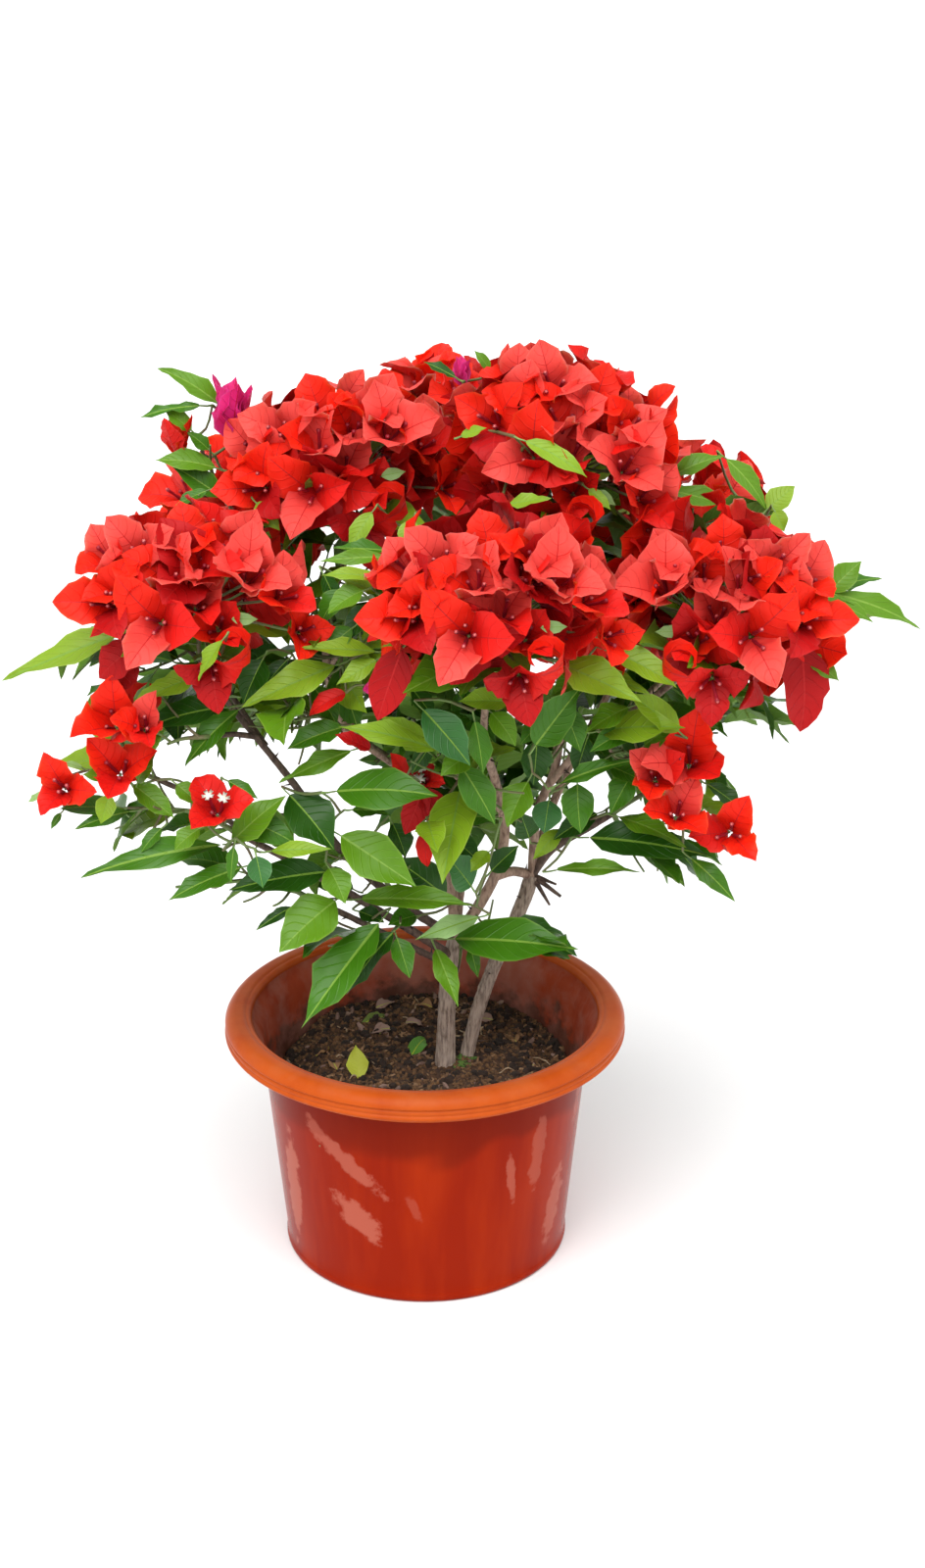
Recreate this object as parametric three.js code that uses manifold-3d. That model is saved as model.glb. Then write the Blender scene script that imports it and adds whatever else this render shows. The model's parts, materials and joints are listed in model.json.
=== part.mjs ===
// A flowering bougainvillea bush in a plastic pot, about 0.58 m tall. Millimetres, +Z up, seen from -Y.
// The origin is the centre of the pot's flat underside. Pot and soil are turned on a lathe, stems and boughs
// are tapered tubes, and each mass of the crown grows from one stem by a seeded rule inside its own space.
import * as THREE from "three";
import { mergeVertices } from "three/addons/utils/BufferGeometryUtils.js";
import Module from "manifold-3d";

const wasm = await Module();
wasm.setup();

// ---- driving sizes ----------------------------------------------------------------------------------
const GAP = 0.3; // space left between neighbouring pieces

const POT_HEIGHT = 159;
const RIM_RADIUS = 125;
const MOUTH_RADIUS = 108;
const LIP_HEIGHT = 12; // the rolled lip's outer face
const BEAD_RADIUS = 118; // the thin second bead under the lip
const BODY_TOP_RADIUS = 102.5;
const BODY_FOOT_RADIUS = 88.5;
const FOOT_LIP = 1.4; // the foot ring stands this far out of the body
const WALL = 3;
const POT_FACETS = 36;

const SOIL_TOP = 120;
const SOIL_EDGE_DROP = 1.5;
const SOIL_SINK = 13; // how far it falls away beside the wall

const LIMB_SIDES = 5;
const STEM_SIDES = 8;
const TWIG_RADIUS = 1.1;
const STEM_RADIUS = 1.7;

const BRACT_LENGTH = 39;
const BRACT_SHOULDER = 0.62; // where a bract is widest, as a share of its length
const BRACT_HALF_ANGLE = 36; // degrees from its midrib to the widest point
const BLOOM_HEART = 2.6; // a bloom's thickness at its centre
const LEAF_LENGTH = 62;
const LEAF_WIDTH = 0.52; // of its length
const LEAF_THICKNESS = 0.028; // of its length
const LEAF_PITCH = 13; // between the leaves of one stem
const GOLDEN = 137.5;

// ---- stems and boughs: name, parent limb, points to pass, radius at root and at tip -----------------
const TRUNK_BASE = [12.3, -4, SOIL_TOP - 8];
const FORK = [19, -2, 206];
const SECOND_BASE = [24, 5, SOIL_TOP - 8];
const KNUCKLE = [66.3, 12, 242];

const LIMBS = [
  {
    name: "trunk",
    path: [TRUNK_BASE, [13.5, -6, 150], [15, -4, 185], FORK],
    radii: [5.9, 4.6],
    flare: 2.6,
  },
  {
    name: "second_stem",
    path: [SECOND_BASE, [34, 3, 157], [43.5, 4, 185], [61, 10, 225], KNUCKLE],
    radii: [3.9, 4.5],
    flare: 1.2,
    stubs: [[80, 7, 233], [75, 2, 229]],
  },
  {
    name: "middle_bough",
    parent: "trunk",
    path: [FORK, [28, -2, 219], [43, 0, 246], [49, -5, 277], [44, -14, 310], [36, -42, 350], [37, -68, 390]],
    radii: [3.7, 1.9],
  },
  {
    name: "cross_bough",
    parent: "middle_bough",
    path: [[43, 0, 246], [54, 5, 247.5], KNUCKLE],
    radii: [3.0, 3.1],
  },
  {
    name: "top_right_bough",
    parent: "second_stem",
    path: [KNUCKLE, [69, 10, 284], [80, 10, 316], [81, 8, 380], [77, 5, 448]],
    radii: [3.0, 1.9],
  },
  {
    name: "low_right_bough",
    parent: "second_stem",
    path: [KNUCKLE, [77.5, 8, 260], [99.5, 0, 278], [114, -8, 291]],
    radii: [2.7, 1.9],
  },
  {
    name: "right_bough",
    parent: "top_right_bough",
    path: [[74, 10, 300], [98, 0, 334], [128, -18, 362], [148, -36, 386]],
    radii: [2.4, 1.8],
  },
  {
    name: "left_bough",
    parent: "trunk",
    path: [FORK, [-10, -14, 232], [-48, -20, 270], [-76, -25, 316], [-114, -36, 374], [-120, -40, 388]],
    radii: [2.9, 1.7],
  },
  {
    name: "low_left_bough",
    parent: "trunk",
    path: [[16, -4, 195], [-8, -26, 222], [-45, -42, 254], [-82, -58, 284], [-110, -64, 303]],
    radii: [2.8, 1.8],
  },
  {
    name: "side_left_bough",
    parent: "low_left_bough",
    path: [[-100, -62, 296], [-126, -52, 316], [-152, -54, 330]],
    radii: [1.8, 1.5],
  },
  {
    name: "top_left_bough",
    parent: "trunk",
    path: [FORK, [14, 8, 252], [-8, 18, 303], [-50, 22, 340], [-58, 22, 398], [-45, 20, 444]],
    radii: [3.4, 1.9],
  },
  {
    name: "back_bough",
    parent: "trunk",
    path: [FORK, [24, 28, 262], [26, 78, 345], [22, 112, 430]],
    radii: [3.3, 1.9],
  },
  {
    name: "back_left_bough",
    parent: "back_bough",
    path: [[25, 45, 290], [-22, 66, 330], [-68, 84, 365], [-96, 94, 394]],
    radii: [2.5, 1.8],
  },
  {
    name: "back_right_bough",
    parent: "second_stem",
    path: [KNUCKLE, [80, 34, 282], [112, 64, 338], [142, 84, 388]],
    radii: [2.8, 1.8],
  },
  {
    name: "upper_left_bough",
    parent: "top_left_bough",
    path: [[-57, 22, 385], [-84, 34, 424], [-108, 34, 458], [-116, 30, 474]],
    radii: [1.9, 1.5],
  },
  {
    name: "upper_right_bough",
    parent: "top_right_bough",
    path: [[81, 9, 360], [108, 30, 404], [134, 36, 436], [150, 34, 450]],
    radii: [1.9, 1.5],
  },
  {
    name: "far_right_bough",
    parent: "right_bough",
    path: [[118, -12, 353], [150, 12, 374], [186, 14, 392], [214, 8, 404]],
    radii: [1.9, 1.5],
  },
  {
    name: "far_left_bough",
    parent: "left_bough",
    path: [[-92, -29, 342], [-124, -2, 378], [-152, -2, 402], [-172, -12, 412]],
    radii: [1.8, 1.5],
  },
  {
    name: "foot_left_bough",
    parent: "trunk",
    path: [[15.5, -4, 188], [-12, -28, 214], [-40, -46, 238], [-66, -56, 256]],
    radii: [2.2, 1.7],
  },
  {
    name: "left_centre_bough",
    parent: "top_left_bough",
    path: [[-20, 19, 313], [-34, -8, 334], [-48, -30, 354]],
    radii: [1.9, 1.6],
  },
  {
    name: "mid_left_bough",
    parent: "left_bough",
    path: [[-60, -22, 289], [-76, -36, 300], [-88, -46, 305]],
    radii: [1.8, 1.5],
  },
  {
    name: "under_left_bough",
    parent: "left_bough",
    path: [[-96, -31, 348], [-108, -48, 356], [-118, -62, 360]],
    radii: [1.8, 1.5],
  },
  {
    name: "upper_centre_bough",
    parent: "top_left_bough",
    path: [[-57, 22, 362], [-56, 2, 378], [-50, -14, 392]],
    radii: [1.8, 1.5],
  },
  {
    name: "inner_right_bough",
    parent: "top_right_bough",
    path: [[80, 10, 326], [84, -6, 340], [86, -18, 352]],
    radii: [1.8, 1.5],
  },
  {
    name: "centre_bough",
    parent: "middle_bough",
    path: [[48, -8, 290], [40, -22, 306], [30, -34, 318]],
    radii: [1.8, 1.6],
  },
  {
    name: "right_centre_bough",
    parent: "right_bough",
    path: [[94, 2, 329], [104, -18, 336], [112, -36, 342]],
    radii: [1.8, 1.6],
  },
];

// ---- masses of the crown ----------------------------------------------------------------------------
// A head is a round cluster of blooms: where its stem starts, the centre of its space and its half sizes.
const HEADS = [
  {
    name: "top_right_flowers",
    seed: 3,
    on: "top_right_bough",
    centre: [82, 0, 512],
    half: [86, 68, 72],
    blooms: 15,
  },
  {
    name: "top_left_flowers",
    seed: 14,
    on: "top_left_bough",
    centre: [-49, 20, 499],
    half: [78, 64, 62],
    blooms: 14,
  },
  {
    name: "left_flowers",
    seed: 20,
    on: "left_bough",
    centre: [-128, -46, 440],
    half: [86, 68, 66],
    blooms: 15,
  },
  {
    name: "middle_flowers",
    seed: 20,
    on: "middle_bough",
    centre: [40, -95, 449],
    half: [87, 66, 70],
    blooms: 15,
  },
  {
    name: "right_flowers",
    seed: 23,
    on: "right_bough",
    centre: [168, -50, 434],
    half: [80, 68, 80],
    blooms: 16,
  },
  {
    name: "low_left_flowers",
    seed: 6,
    on: "side_left_bough",
    centre: [-180, -66, 368],
    half: [48, 46, 48],
    blooms: 9,
    claim: 1.8,
  },
  {
    name: "low_right_flowers",
    seed: 10,
    on: "low_right_bough",
    centre: [160, -64, 318],
    half: [56, 46, 50],
    blooms: 9,
    claim: 1.6,
  },
  {
    name: "back_flowers",
    seed: 13,
    on: "back_bough",
    centre: [18, 134, 486],
    half: [84, 70, 66],
    blooms: 13,
  },
  {
    name: "back_left_flowers",
    seed: 3,
    on: "back_left_bough",
    centre: [-118, 104, 446],
    half: [78, 72, 64],
    blooms: 13,
  },
  {
    name: "back_right_flowers",
    seed: 6,
    on: "back_right_bough",
    centre: [162, 98, 440],
    half: [78, 72, 66],
    blooms: 13,
  },
];

// A spray is a leafy shoot: the limb it starts from, at its tip or at a share of its length, its furthest
// leaf tip, and its half width and height.
const SPRAYS = [
  {
    name: "top_left_sprig",
    seed: 28,
    on: "upper_left_bough",
    tip: [-151, 22, 556],
    spread: 46,
    rise: 40,
    blooms: 2,
    bud: true,
  },
  {
    name: "upper_right_sprig",
    seed: 27,
    on: "upper_right_bough",
    tip: [222, 32, 482],
    spread: 34,
    rise: 30,
  },
  {
    name: "far_right_sprig",
    seed: 28,
    on: "far_right_bough",
    tip: [292, 0, 404],
    spread: 28,
    rise: 26,
  },
  {
    name: "far_left_sprig",
    seed: 12,
    on: "far_left_bough",
    tip: [-241, -40, 387],
    spread: 24,
    rise: 22,
  },
  {
    name: "left_spray",
    seed: 13,
    on: "low_left_bough",
    tip: [-222, -76, 334],
    spread: 54,
    rise: 50,
    blooms: 3,
  },
  {
    name: "low_left_leaves",
    seed: 30,
    on: "foot_left_bough",
    tip: [-197, -82, 280],
    spread: 50,
    rise: 34,
  },
  {
    name: "foot_left_leaves",
    seed: 23,
    on: "foot_left_bough",
    at: 0.45,
    tip: [-78, -84, 180],
    spread: 52,
    rise: 54,
    droop: 26,
    aside: [-0.5, -0.8, -0.1],
  },
  {
    name: "foot_right_leaves",
    seed: 27,
    on: "trunk",
    at: 0.95,
    tip: [95, -62, 218],
    spread: 44,
    rise: 40,
    droop: 16,
  },
  {
    name: "inner_left_leaves",
    seed: 8,
    on: "left_bough",
    at: 0.16,
    tip: [-66, -70, 322],
    spread: 54,
    rise: 46,
  },
  {
    name: "left_centre_leaves",
    seed: 5,
    on: "left_centre_bough",
    tip: [-124, -100, 382],
    spread: 62,
    rise: 56,
  },
  {
    name: "centre_leaves",
    seed: 14,
    on: "centre_bough",
    tip: [20, -122, 362],
    spread: 66,
    rise: 56,
    blooms: 1,
  },
  {
    name: "right_centre_leaves",
    seed: 9,
    on: "right_centre_bough",
    tip: [156, -108, 350],
    spread: 58,
    rise: 54,
  },
  {
    name: "low_right_leaves",
    seed: 2,
    on: "low_right_bough",
    tip: [192, -50, 250],
    spread: 54,
    rise: 38,
    aside: [0.5, 0.2, -0.9],
  },
  {
    name: "mid_left_leaves",
    seed: 19,
    on: "mid_left_bough",
    tip: [-172, -84, 306],
    spread: 46,
    rise: 38,
  },
  {
    name: "under_left_leaves",
    seed: 15,
    on: "under_left_bough",
    tip: [-196, -92, 356],
    spread: 46,
    rise: 40,
  },
  {
    name: "upper_centre_leaves",
    seed: 24,
    on: "upper_centre_bough",
    tip: [-26, -84, 420],
    spread: 50,
    rise: 48,
  },
  {
    name: "inner_right_leaves",
    seed: 13,
    on: "inner_right_bough",
    tip: [84, -108, 360],
    spread: 50,
    rise: 48,
  },
  {
    name: "inner_leaves",
    seed: 11,
    on: "back_bough",
    at: 0.4,
    tip: [-10, -2, 414],
    spread: 66,
    rise: 52,
  },
  {
    name: "back_left_leaves",
    seed: 3,
    pitch: 18,
    on: "back_left_bough",
    at: 0.6,
    tip: [-200, 86, 314],
    spread: 66,
    rise: 56,
  },
  {
    name: "back_right_leaves",
    seed: 16,
    pitch: 18,
    on: "back_right_bough",
    at: 0.5,
    tip: [240, 84, 318],
    spread: 66,
    rise: 56,
  },
  {
    name: "back_low_leaves",
    seed: 10,
    pitch: 18,
    on: "back_bough",
    at: 0.26,
    tip: [22, 176, 292],
    spread: 76,
    rise: 56,
  },
];

// ---- small helpers ----------------------------------------------------------------------------------
const rad = THREE.MathUtils.degToRad;
const lerp = THREE.MathUtils.lerp;
const vec = (p) => new THREE.Vector3(p[0], p[1], p[2]);
const UP = new THREE.Vector3(0, 0, 1);
const AXIS = new THREE.Vector3(20, 15, 0); // the crown's upright middle line

// An even, repeatable series of numbers from 0 to 1.
function drawsFrom(seed) {
  let s = seed >>> 0;
  return () => {
    s = (s + 0x6d2b79f5) >>> 0;
    let t = Math.imul(s ^ (s >>> 15), 1 | s);
    t = (t + Math.imul(t ^ (t >>> 7), 61 | t)) ^ t;
    return ((t ^ (t >>> 14)) >>> 0) / 4294967296;
  };
}

// A unit vector across `along`, turned by `degrees` round it.
function across(along, degrees) {
  const side = Math.abs(along.z) < 0.95 ? UP.clone() : new THREE.Vector3(1, 0, 0);
  side.addScaledVector(along, -side.dot(along)).normalize();
  return side.applyAxisAngle(along, rad(degrees));
}

function solidOf(geometry) {
  const bare = geometry.clone();
  for (const name of ["normal", "uv"]) bare.deleteAttribute(name);
  const merged = mergeVertices(bare, 1e-4);
  return new wasm.Manifold(
    new wasm.Mesh({
      numProp: 3,
      vertProperties: new Float32Array(merged.attributes.position.array),
      triVerts: new Uint32Array(merged.index.array),
    }),
  );
}

function geometryOf(solid) {
  const mesh = solid.getMesh();
  const points = new Float32Array(mesh.numVert * 3);
  for (let i = 0; i < mesh.numVert; i++) {
    points.set(mesh.vertProperties.subarray(i * mesh.numProp, i * mesh.numProp + 3), i * 3);
  }
  const geometry = new THREE.BufferGeometry();
  geometry.setAttribute("position", new THREE.BufferAttribute(points, 3));
  geometry.setIndex(new THREE.BufferAttribute(new Uint32Array(mesh.triVerts), 1));
  geometry.computeVertexNormals();
  return geometry;
}

// The largest closed body of a solid: loose scraps and sealed hollows are left behind.
function largestBody(solid) {
  return solid.decompose().reduce((best, body) => (body.volume() > best.volume() ? body : best));
}

// ---- tubes ------------------------------------------------------------------------------------------
// A cylinder bent along a curve, with the radius that `radiusAt` gives at each share of its length.
function bentTube(curve, radiusAt, sides, steps) {
  const tube = new THREE.CylinderGeometry(1, 1, 1, sides, steps, false);
  const frames = curve.computeFrenetFrames(steps, false);
  const at = tube.attributes.position;
  const p = new THREE.Vector3();
  for (let i = 0; i < at.count; i++) {
    const share = 0.5 - at.getY(i);
    const row = Math.round(share * steps);
    const reach = radiusAt(share);
    curve.getPointAt(share, p);
    p.addScaledVector(frames.normals[row], -at.getX(i) * reach);
    p.addScaledVector(frames.binormals[row], at.getZ(i) * reach);
    at.setXYZ(i, p.x, p.y, p.z);
  }
  return upright(tube);
}

// A closed shape as a solid whose faces point outwards.
function upright(geometry) {
  let solid = solidOf(geometry);
  if (solid.volume() < 0) {
    const turned = geometry.clone();
    const index = turned.index.array;
    for (let i = 0; i < index.length; i += 3) {
      [index[i + 1], index[i + 2]] = [index[i + 2], index[i + 1]];
    }
    solid = solidOf(turned);
  }
  return solid;
}

// ---- limbs ------------------------------------------------------------------------------------------
function limbRadius(limb, share) {
  const spread = limb.flare ? limb.flare * Math.exp(-share * 9) : 0;
  return lerp(limb.radii[0], limb.radii[1], share) + spread;
}

function limbTube(limb, extra = 0) {
  const length = limb.curve.getLength();
  const steps = Math.max(2, Math.min(9, Math.round(length / 30)));
  const sides = limb.parent ? LIMB_SIDES : STEM_SIDES;
  const grow = extra / Math.cos(Math.PI / sides);
  return bentTube(limb.curve, (share) => limbRadius(limb, share) + grow, sides, steps);
}

const limbs = new Map();
for (const limb of LIMBS) {
  limb.curve = new THREE.CatmullRomCurve3(limb.path.map(vec), false, "centripetal");
  limb.wide = limbTube(limb, GAP);
  let body = limbTube(limb);
  for (const [i, end] of (limb.stubs ?? []).entries()) {
    const stub = new THREE.LineCurve3(vec(limb.path.at(-1)), vec(end));
    body = body.add(bentTube(stub, (share) => lerp(2.6, 1.7 - 0.3 * i, share), 5, 1));
    limb.wide = limb.wide.add(bentTube(stub, (share) => lerp(3.1, 2.2 - 0.3 * i, share), 5, 1));
  }
  if (!limb.parent) body = body.trimByPlane([0, 0, 1], SOIL_TOP + GAP);
  for (const earlier of limbs.values()) body = body.subtract(earlier.wide);
  limb.solid = largestBody(body);
  limbs.set(limb.name, limb);
}

// ---- the space of each mass -------------------------------------------------------------------------
function roomOf(mass, foot) {
  if (mass.half) {
    const axes = [vec([1, 0, 0]), vec([0, 1, 0]), vec([0, 0, 1])];
    return { centre: vec(mass.centre), axes, half: mass.half };
  }
  const tip = vec(mass.tip);
  const along = tip.clone().sub(foot);
  const length = along.length();
  along.normalize();
  const level = across(along, 90);
  const high = across(along, 0);
  const centre = foot.clone().lerp(tip, 0.54);
  const halfLength = length * 0.54 + (mass.blooms ? 14 : 4);
  return { centre, axes: [along, level, high], half: [halfLength, mass.spread, mass.rise] };
}

// How far a room reaches along a direction.
function reachOf(room, n) {
  return Math.hypot(...room.axes.map((axis, k) => axis.dot(n) * room.half[k]));
}

// Flat borders, shared out by size and claim, between rooms that would run into each other.
function setBorders(rooms) {
  for (const room of rooms) room.borders = [];
  for (let i = 0; i < rooms.length; i++) {
    for (let j = i + 1; j < rooms.length; j++) {
      const n = rooms[j].centre.clone().sub(rooms[i].centre);
      const apart = n.length();
      n.normalize();
      const a = reachOf(rooms[i], n);
      const b = reachOf(rooms[j], n);
      if (a + b <= apart) continue;
      const share = (a * rooms[i].claim) / (a * rooms[i].claim + b * rooms[j].claim);
      const at = rooms[i].centre.dot(n) + apart * Math.min(Math.max(share, 1 - b / apart), a / apart);
      rooms[i].borders.push({ n, at: at - GAP / 2 });
      rooms[j].borders.push({ n: n.clone().negate(), at: -(at + GAP / 2) });
    }
  }
}

function isInside(room, points) {
  for (const p of points) {
    const q = p.clone().sub(room.centre);
    let sum = 0;
    for (let k = 0; k < 3; k++) sum += (q.dot(room.axes[k]) / room.half[k]) ** 2;
    if (sum > 1) return false;
    for (const border of room.borders) if (p.dot(border.n) > border.at) return false;
  }
  return true;
}

// ---- what a mass must stay clear of: limbs and the other masses' stems, as round bars ----------------
const bars = [];
function addBars(owner, curve, radiusAt, steps) {
  for (let i = 0; i < steps; i++) {
    const a = curve.getPointAt(i / steps);
    const b = curve.getPointAt((i + 1) / steps);
    bars.push({ owner, a, b, radius: Math.max(radiusAt(i / steps), radiusAt((i + 1) / steps)) });
  }
}

function isClear(owner, points, margin) {
  const line = new THREE.Line3();
  const near = new THREE.Vector3();
  for (const bar of bars) {
    if (bar.owner === owner) continue;
    line.set(bar.a, bar.b);
    for (const p of points) {
      line.closestPointToPoint(p, true, near);
      if (near.distanceTo(p) < bar.radius + margin) return false;
    }
  }
  return true;
}

// ---- twigs, leaves and blooms -----------------------------------------------------------------------
// A leaf: an octahedron drawn out into a thin blade with a folded, drooping outline.
function leafCorners(leaf) {
  const side = new THREE.Vector3().crossVectors(leaf.face, leaf.along).normalize();
  const face = new THREE.Vector3().crossVectors(leaf.along, side).normalize();
  const place = (l, w, h) =>
    leaf.root
      .clone()
      .addScaledVector(leaf.along, l * leaf.length)
      .addScaledVector(side, w * leaf.length)
      .addScaledVector(face, h * leaf.length);
  const t = LEAF_THICKNESS / 2;
  return [
    place(1, 0, -leaf.droop),
    place(0, 0, 0),
    place(0.42, LEAF_WIDTH / 2, 0.03),
    place(0.42, -LEAF_WIDTH / 2, 0.03),
    place(0.4, 0, t),
    place(0.4, 0, -t),
  ];
}

function leafSolid(leaf) {
  const corners = leafCorners(leaf);
  const blade = new THREE.OctahedronGeometry(1);
  const at = blade.attributes.position;
  for (let i = 0; i < at.count; i++) {
    const [x, y, z] = [at.getX(i), at.getY(i), at.getZ(i)];
    const which = x > 0.5 ? 0 : x < -0.5 ? 1 : y > 0.5 ? 2 : y < -0.5 ? 3 : z > 0.5 ? 4 : 5;
    at.setXYZ(i, corners[which].x, corners[which].y, corners[which].z);
  }
  blade.deleteAttribute("normal");
  blade.deleteAttribute("uv");
  return upright(mergeVertices(blade, 1e-4));
}

// Points spread over a leaf, close enough that no limb passes between them unseen.
function leafSamples(leaf) {
  const [tip, root, left, right] = leafCorners(leaf);
  const samples = [];
  for (let i = 1; i <= 8; i++) {
    const share = i / 8;
    const mid = root.clone().lerp(tip, share);
    const wide = share < 0.42 ? share / 0.42 : (1 - share) / 0.58;
    const half = left.clone().sub(right).multiplyScalar(0.5 * wide);
    for (const s of [-1, -0.5, 0, 0.5, 1]) samples.push(mid.clone().addScaledVector(half, s));
  }
  return samples;
}

// A bloom: three bracts in one star, a ball of twelve meridians drawn out into lobes.
function bloomCorners(bloom) {
  const u = across(bloom.axis, bloom.spin);
  const v = new THREE.Vector3().crossVectors(bloom.axis, u);
  const ring = [];
  for (let k = 0; k < 12; k++) {
    const lobe = Math.floor((k + 2) / 4) * 120;
    const part = (k + 2) % 4; // 0 valley, 1 shoulder, 2 tip, 3 shoulder
    const turn = part === 0 ? lobe - 60 : lobe + (part - 2) * BRACT_HALF_ANGLE;
    const length = bloom.size * [0.24, BRACT_SHOULDER, 1, BRACT_SHOULDER][part];
    const out = length * Math.sin(rad(bloom.open));
    const lift = length * Math.cos(rad(bloom.open)) + (part === 2 ? 0 : bloom.size * 0.03);
    ring.push(
      bloom.at
        .clone()
        .addScaledVector(u, out * Math.cos(rad(turn)))
        .addScaledVector(v, out * Math.sin(rad(turn)))
        .addScaledVector(bloom.axis, lift),
    );
  }
  const front = bloom.at.clone().addScaledVector(bloom.axis, BLOOM_HEART * 0.5);
  const back = bloom.at.clone().addScaledVector(bloom.axis, -BLOOM_HEART * 0.5);
  return { ring, front, back };
}

function bloomSolid(bloom) {
  const { ring, front, back } = bloomCorners(bloom);
  const ball = new THREE.SphereGeometry(1, 12, 2);
  const at = ball.attributes.position;
  for (let i = 0; i < at.count; i++) {
    const y = at.getY(i);
    let p = y > 0.5 ? front : back;
    if (Math.abs(y) < 0.5) {
      const turn = Math.atan2(at.getZ(i), at.getX(i));
      p = ring[((Math.round((turn / Math.PI) * 6) % 12) + 12) % 12];
    }
    at.setXYZ(i, p.x, p.y, p.z);
  }
  ball.deleteAttribute("normal");
  ball.deleteAttribute("uv");
  return upright(mergeVertices(ball, 1e-4));
}

function bloomSamples(bloom) {
  const { ring, front } = bloomCorners(bloom);
  return ring.flatMap((p) => [0.25, 0.5, 0.75, 1].map((s) => front.clone().lerp(p, s)));
}

function twigSamples(a, b) {
  const count = Math.max(2, Math.ceil(a.distanceTo(b) / 4));
  return Array.from({ length: count }, (_, i) => a.clone().lerp(b, (i + 1) / count));
}

// A growing mass: its stem, and each twig, leaf and bloom that fits its space and crosses nothing but the
// piece it is rooted in.
class Growth {
  constructor(mass, stem, seed) {
    this.mass = mass;
    this.room = mass.room;
    this.draw = drawsFrom(seed);
    this.pieces = [stem];
  }

  fits(corners, samples, margin) {
    return isInside(this.room, corners) && isClear(this.mass.name, samples, margin);
  }

  // Adds a piece rooted in piece number `host` and returns its own number, or 0 if it would cross another.
  add(solid, host) {
    const others = this.pieces.filter((_, i) => i !== host);
    const near = [...others, ...[...limbs.values()].map((limb) => limb.wide)];
    if (!near.every((other) => solid.intersect(other).isEmpty())) return 0;
    this.pieces.push(solid);
    return this.pieces.length - 1;
  }

  // A leaf at `spot` of the shoot `host`, turned round the shoot and leaning off its line by degrees.
  leaf(host, spot, shoot, turn, lean, length, droop) {
    const roll = (this.draw() - 0.5) * 50;
    const size = length * (0.86 + 0.28 * this.draw());
    const out = across(shoot, turn);
    const along = shoot.clone().multiplyScalar(Math.cos(rad(lean))).addScaledVector(out, Math.sin(rad(lean)));
    const outward = new THREE.Vector3(spot.x, spot.y, 0).sub(AXIS).normalize();
    const bend = Math.min(1, lean / 45);
    along.addScaledVector(outward, 0.35 * bend);
    along.z -= 0.2 * bend;
    along.normalize();
    const face = UP.clone().addScaledVector(outward, 0.75);
    face.addScaledVector(along, -face.dot(along)).normalize().applyAxisAngle(along, rad(roll));
    const root = spot.clone().addScaledVector(along, -TWIG_RADIUS * 0.6);
    for (const share of [1, 0.88, 0.76, 0.64]) {
      const leaf = { root, along, face, length: size * share, droop };
      if (!this.fits(leafCorners(leaf), leafSamples(leaf), 3.2)) continue;
      if (this.add(leafSolid(leaf), host)) return true;
    }
    return false;
  }

  bloom(host, bloom) {
    const { ring, front, back } = bloomCorners(bloom);
    if (!this.fits([...ring, front, back], bloomSamples(bloom), 3)) return false;
    return this.add(bloomSolid(bloom), host) > 0;
  }

  twig(host, a, b, radius = TWIG_RADIUS) {
    if (!this.fits([b], twigSamples(a, b).slice(1), radius + 0.5)) return 0;
    const tube = bentTube(new THREE.LineCurve3(a, b), (share) => radius * (1 - 0.25 * share), 3, 1);
    return this.add(tube, host);
  }

  body() {
    return largestBody(wasm.Manifold.union(this.pieces).simplify(0.12));
  }
}

// A head: twigs fan out from the upper stem to blooms that face outwards all round, over a collar of leaves.
function growHead(growth) {
  const { mass, draw, room } = growth;
  const bract = BRACT_LENGTH * Math.min(1, 0.45 + Math.min(...mass.half) / 120);
  for (let i = 0; i < mass.blooms; i++) {
    const cosine = 1 - ((i + 0.5) / mass.blooms) * 1.6;
    const turn = rad(i * GOLDEN + draw() * 26);
    const sine = Math.sqrt(1 - cosine * cosine);
    const out = new THREE.Vector3(sine * Math.cos(turn), sine * Math.sin(turn), cosine);
    const tilt = new THREE.Vector3(draw() - 0.5, draw() - 0.5, draw() - 0.5).multiplyScalar(0.6);
    const axis = out.clone().add(tilt).normalize();
    const spin = draw() * 120;
    const open = 62 + draw() * 16;
    const size = bract * (0.94 + 0.2 * draw());
    const start = mass.stem.getPointAt(0.66 + 0.2 * (cosine + 0.5));
    for (const reach of [0.74, 0.68, 0.62, 0.56, 0.5, 0.44]) {
      const at = room.centre.clone().add(out.clone().multiply(vec(mass.half)).multiplyScalar(reach));
      const shrink = reach > 0.5 ? 1 : 0.86;
      const twig = growth.twig(0, start, at, 0.9);
      if (!twig) continue;
      if (growth.bloom(twig, { at, axis, spin, open, size: size * shrink })) break;
      growth.pieces.pop();
    }
  }
  for (let i = 0; i < 7; i++) {
    const share = 0.08 + 0.1 * i;
    const shoot = mass.stem.getTangentAt(share);
    growth.leaf(0, mass.stem.getPointAt(share), shoot, i * GOLDEN, 74 - 4 * i, LEAF_LENGTH * 0.95, 0.06);
  }
}

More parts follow.
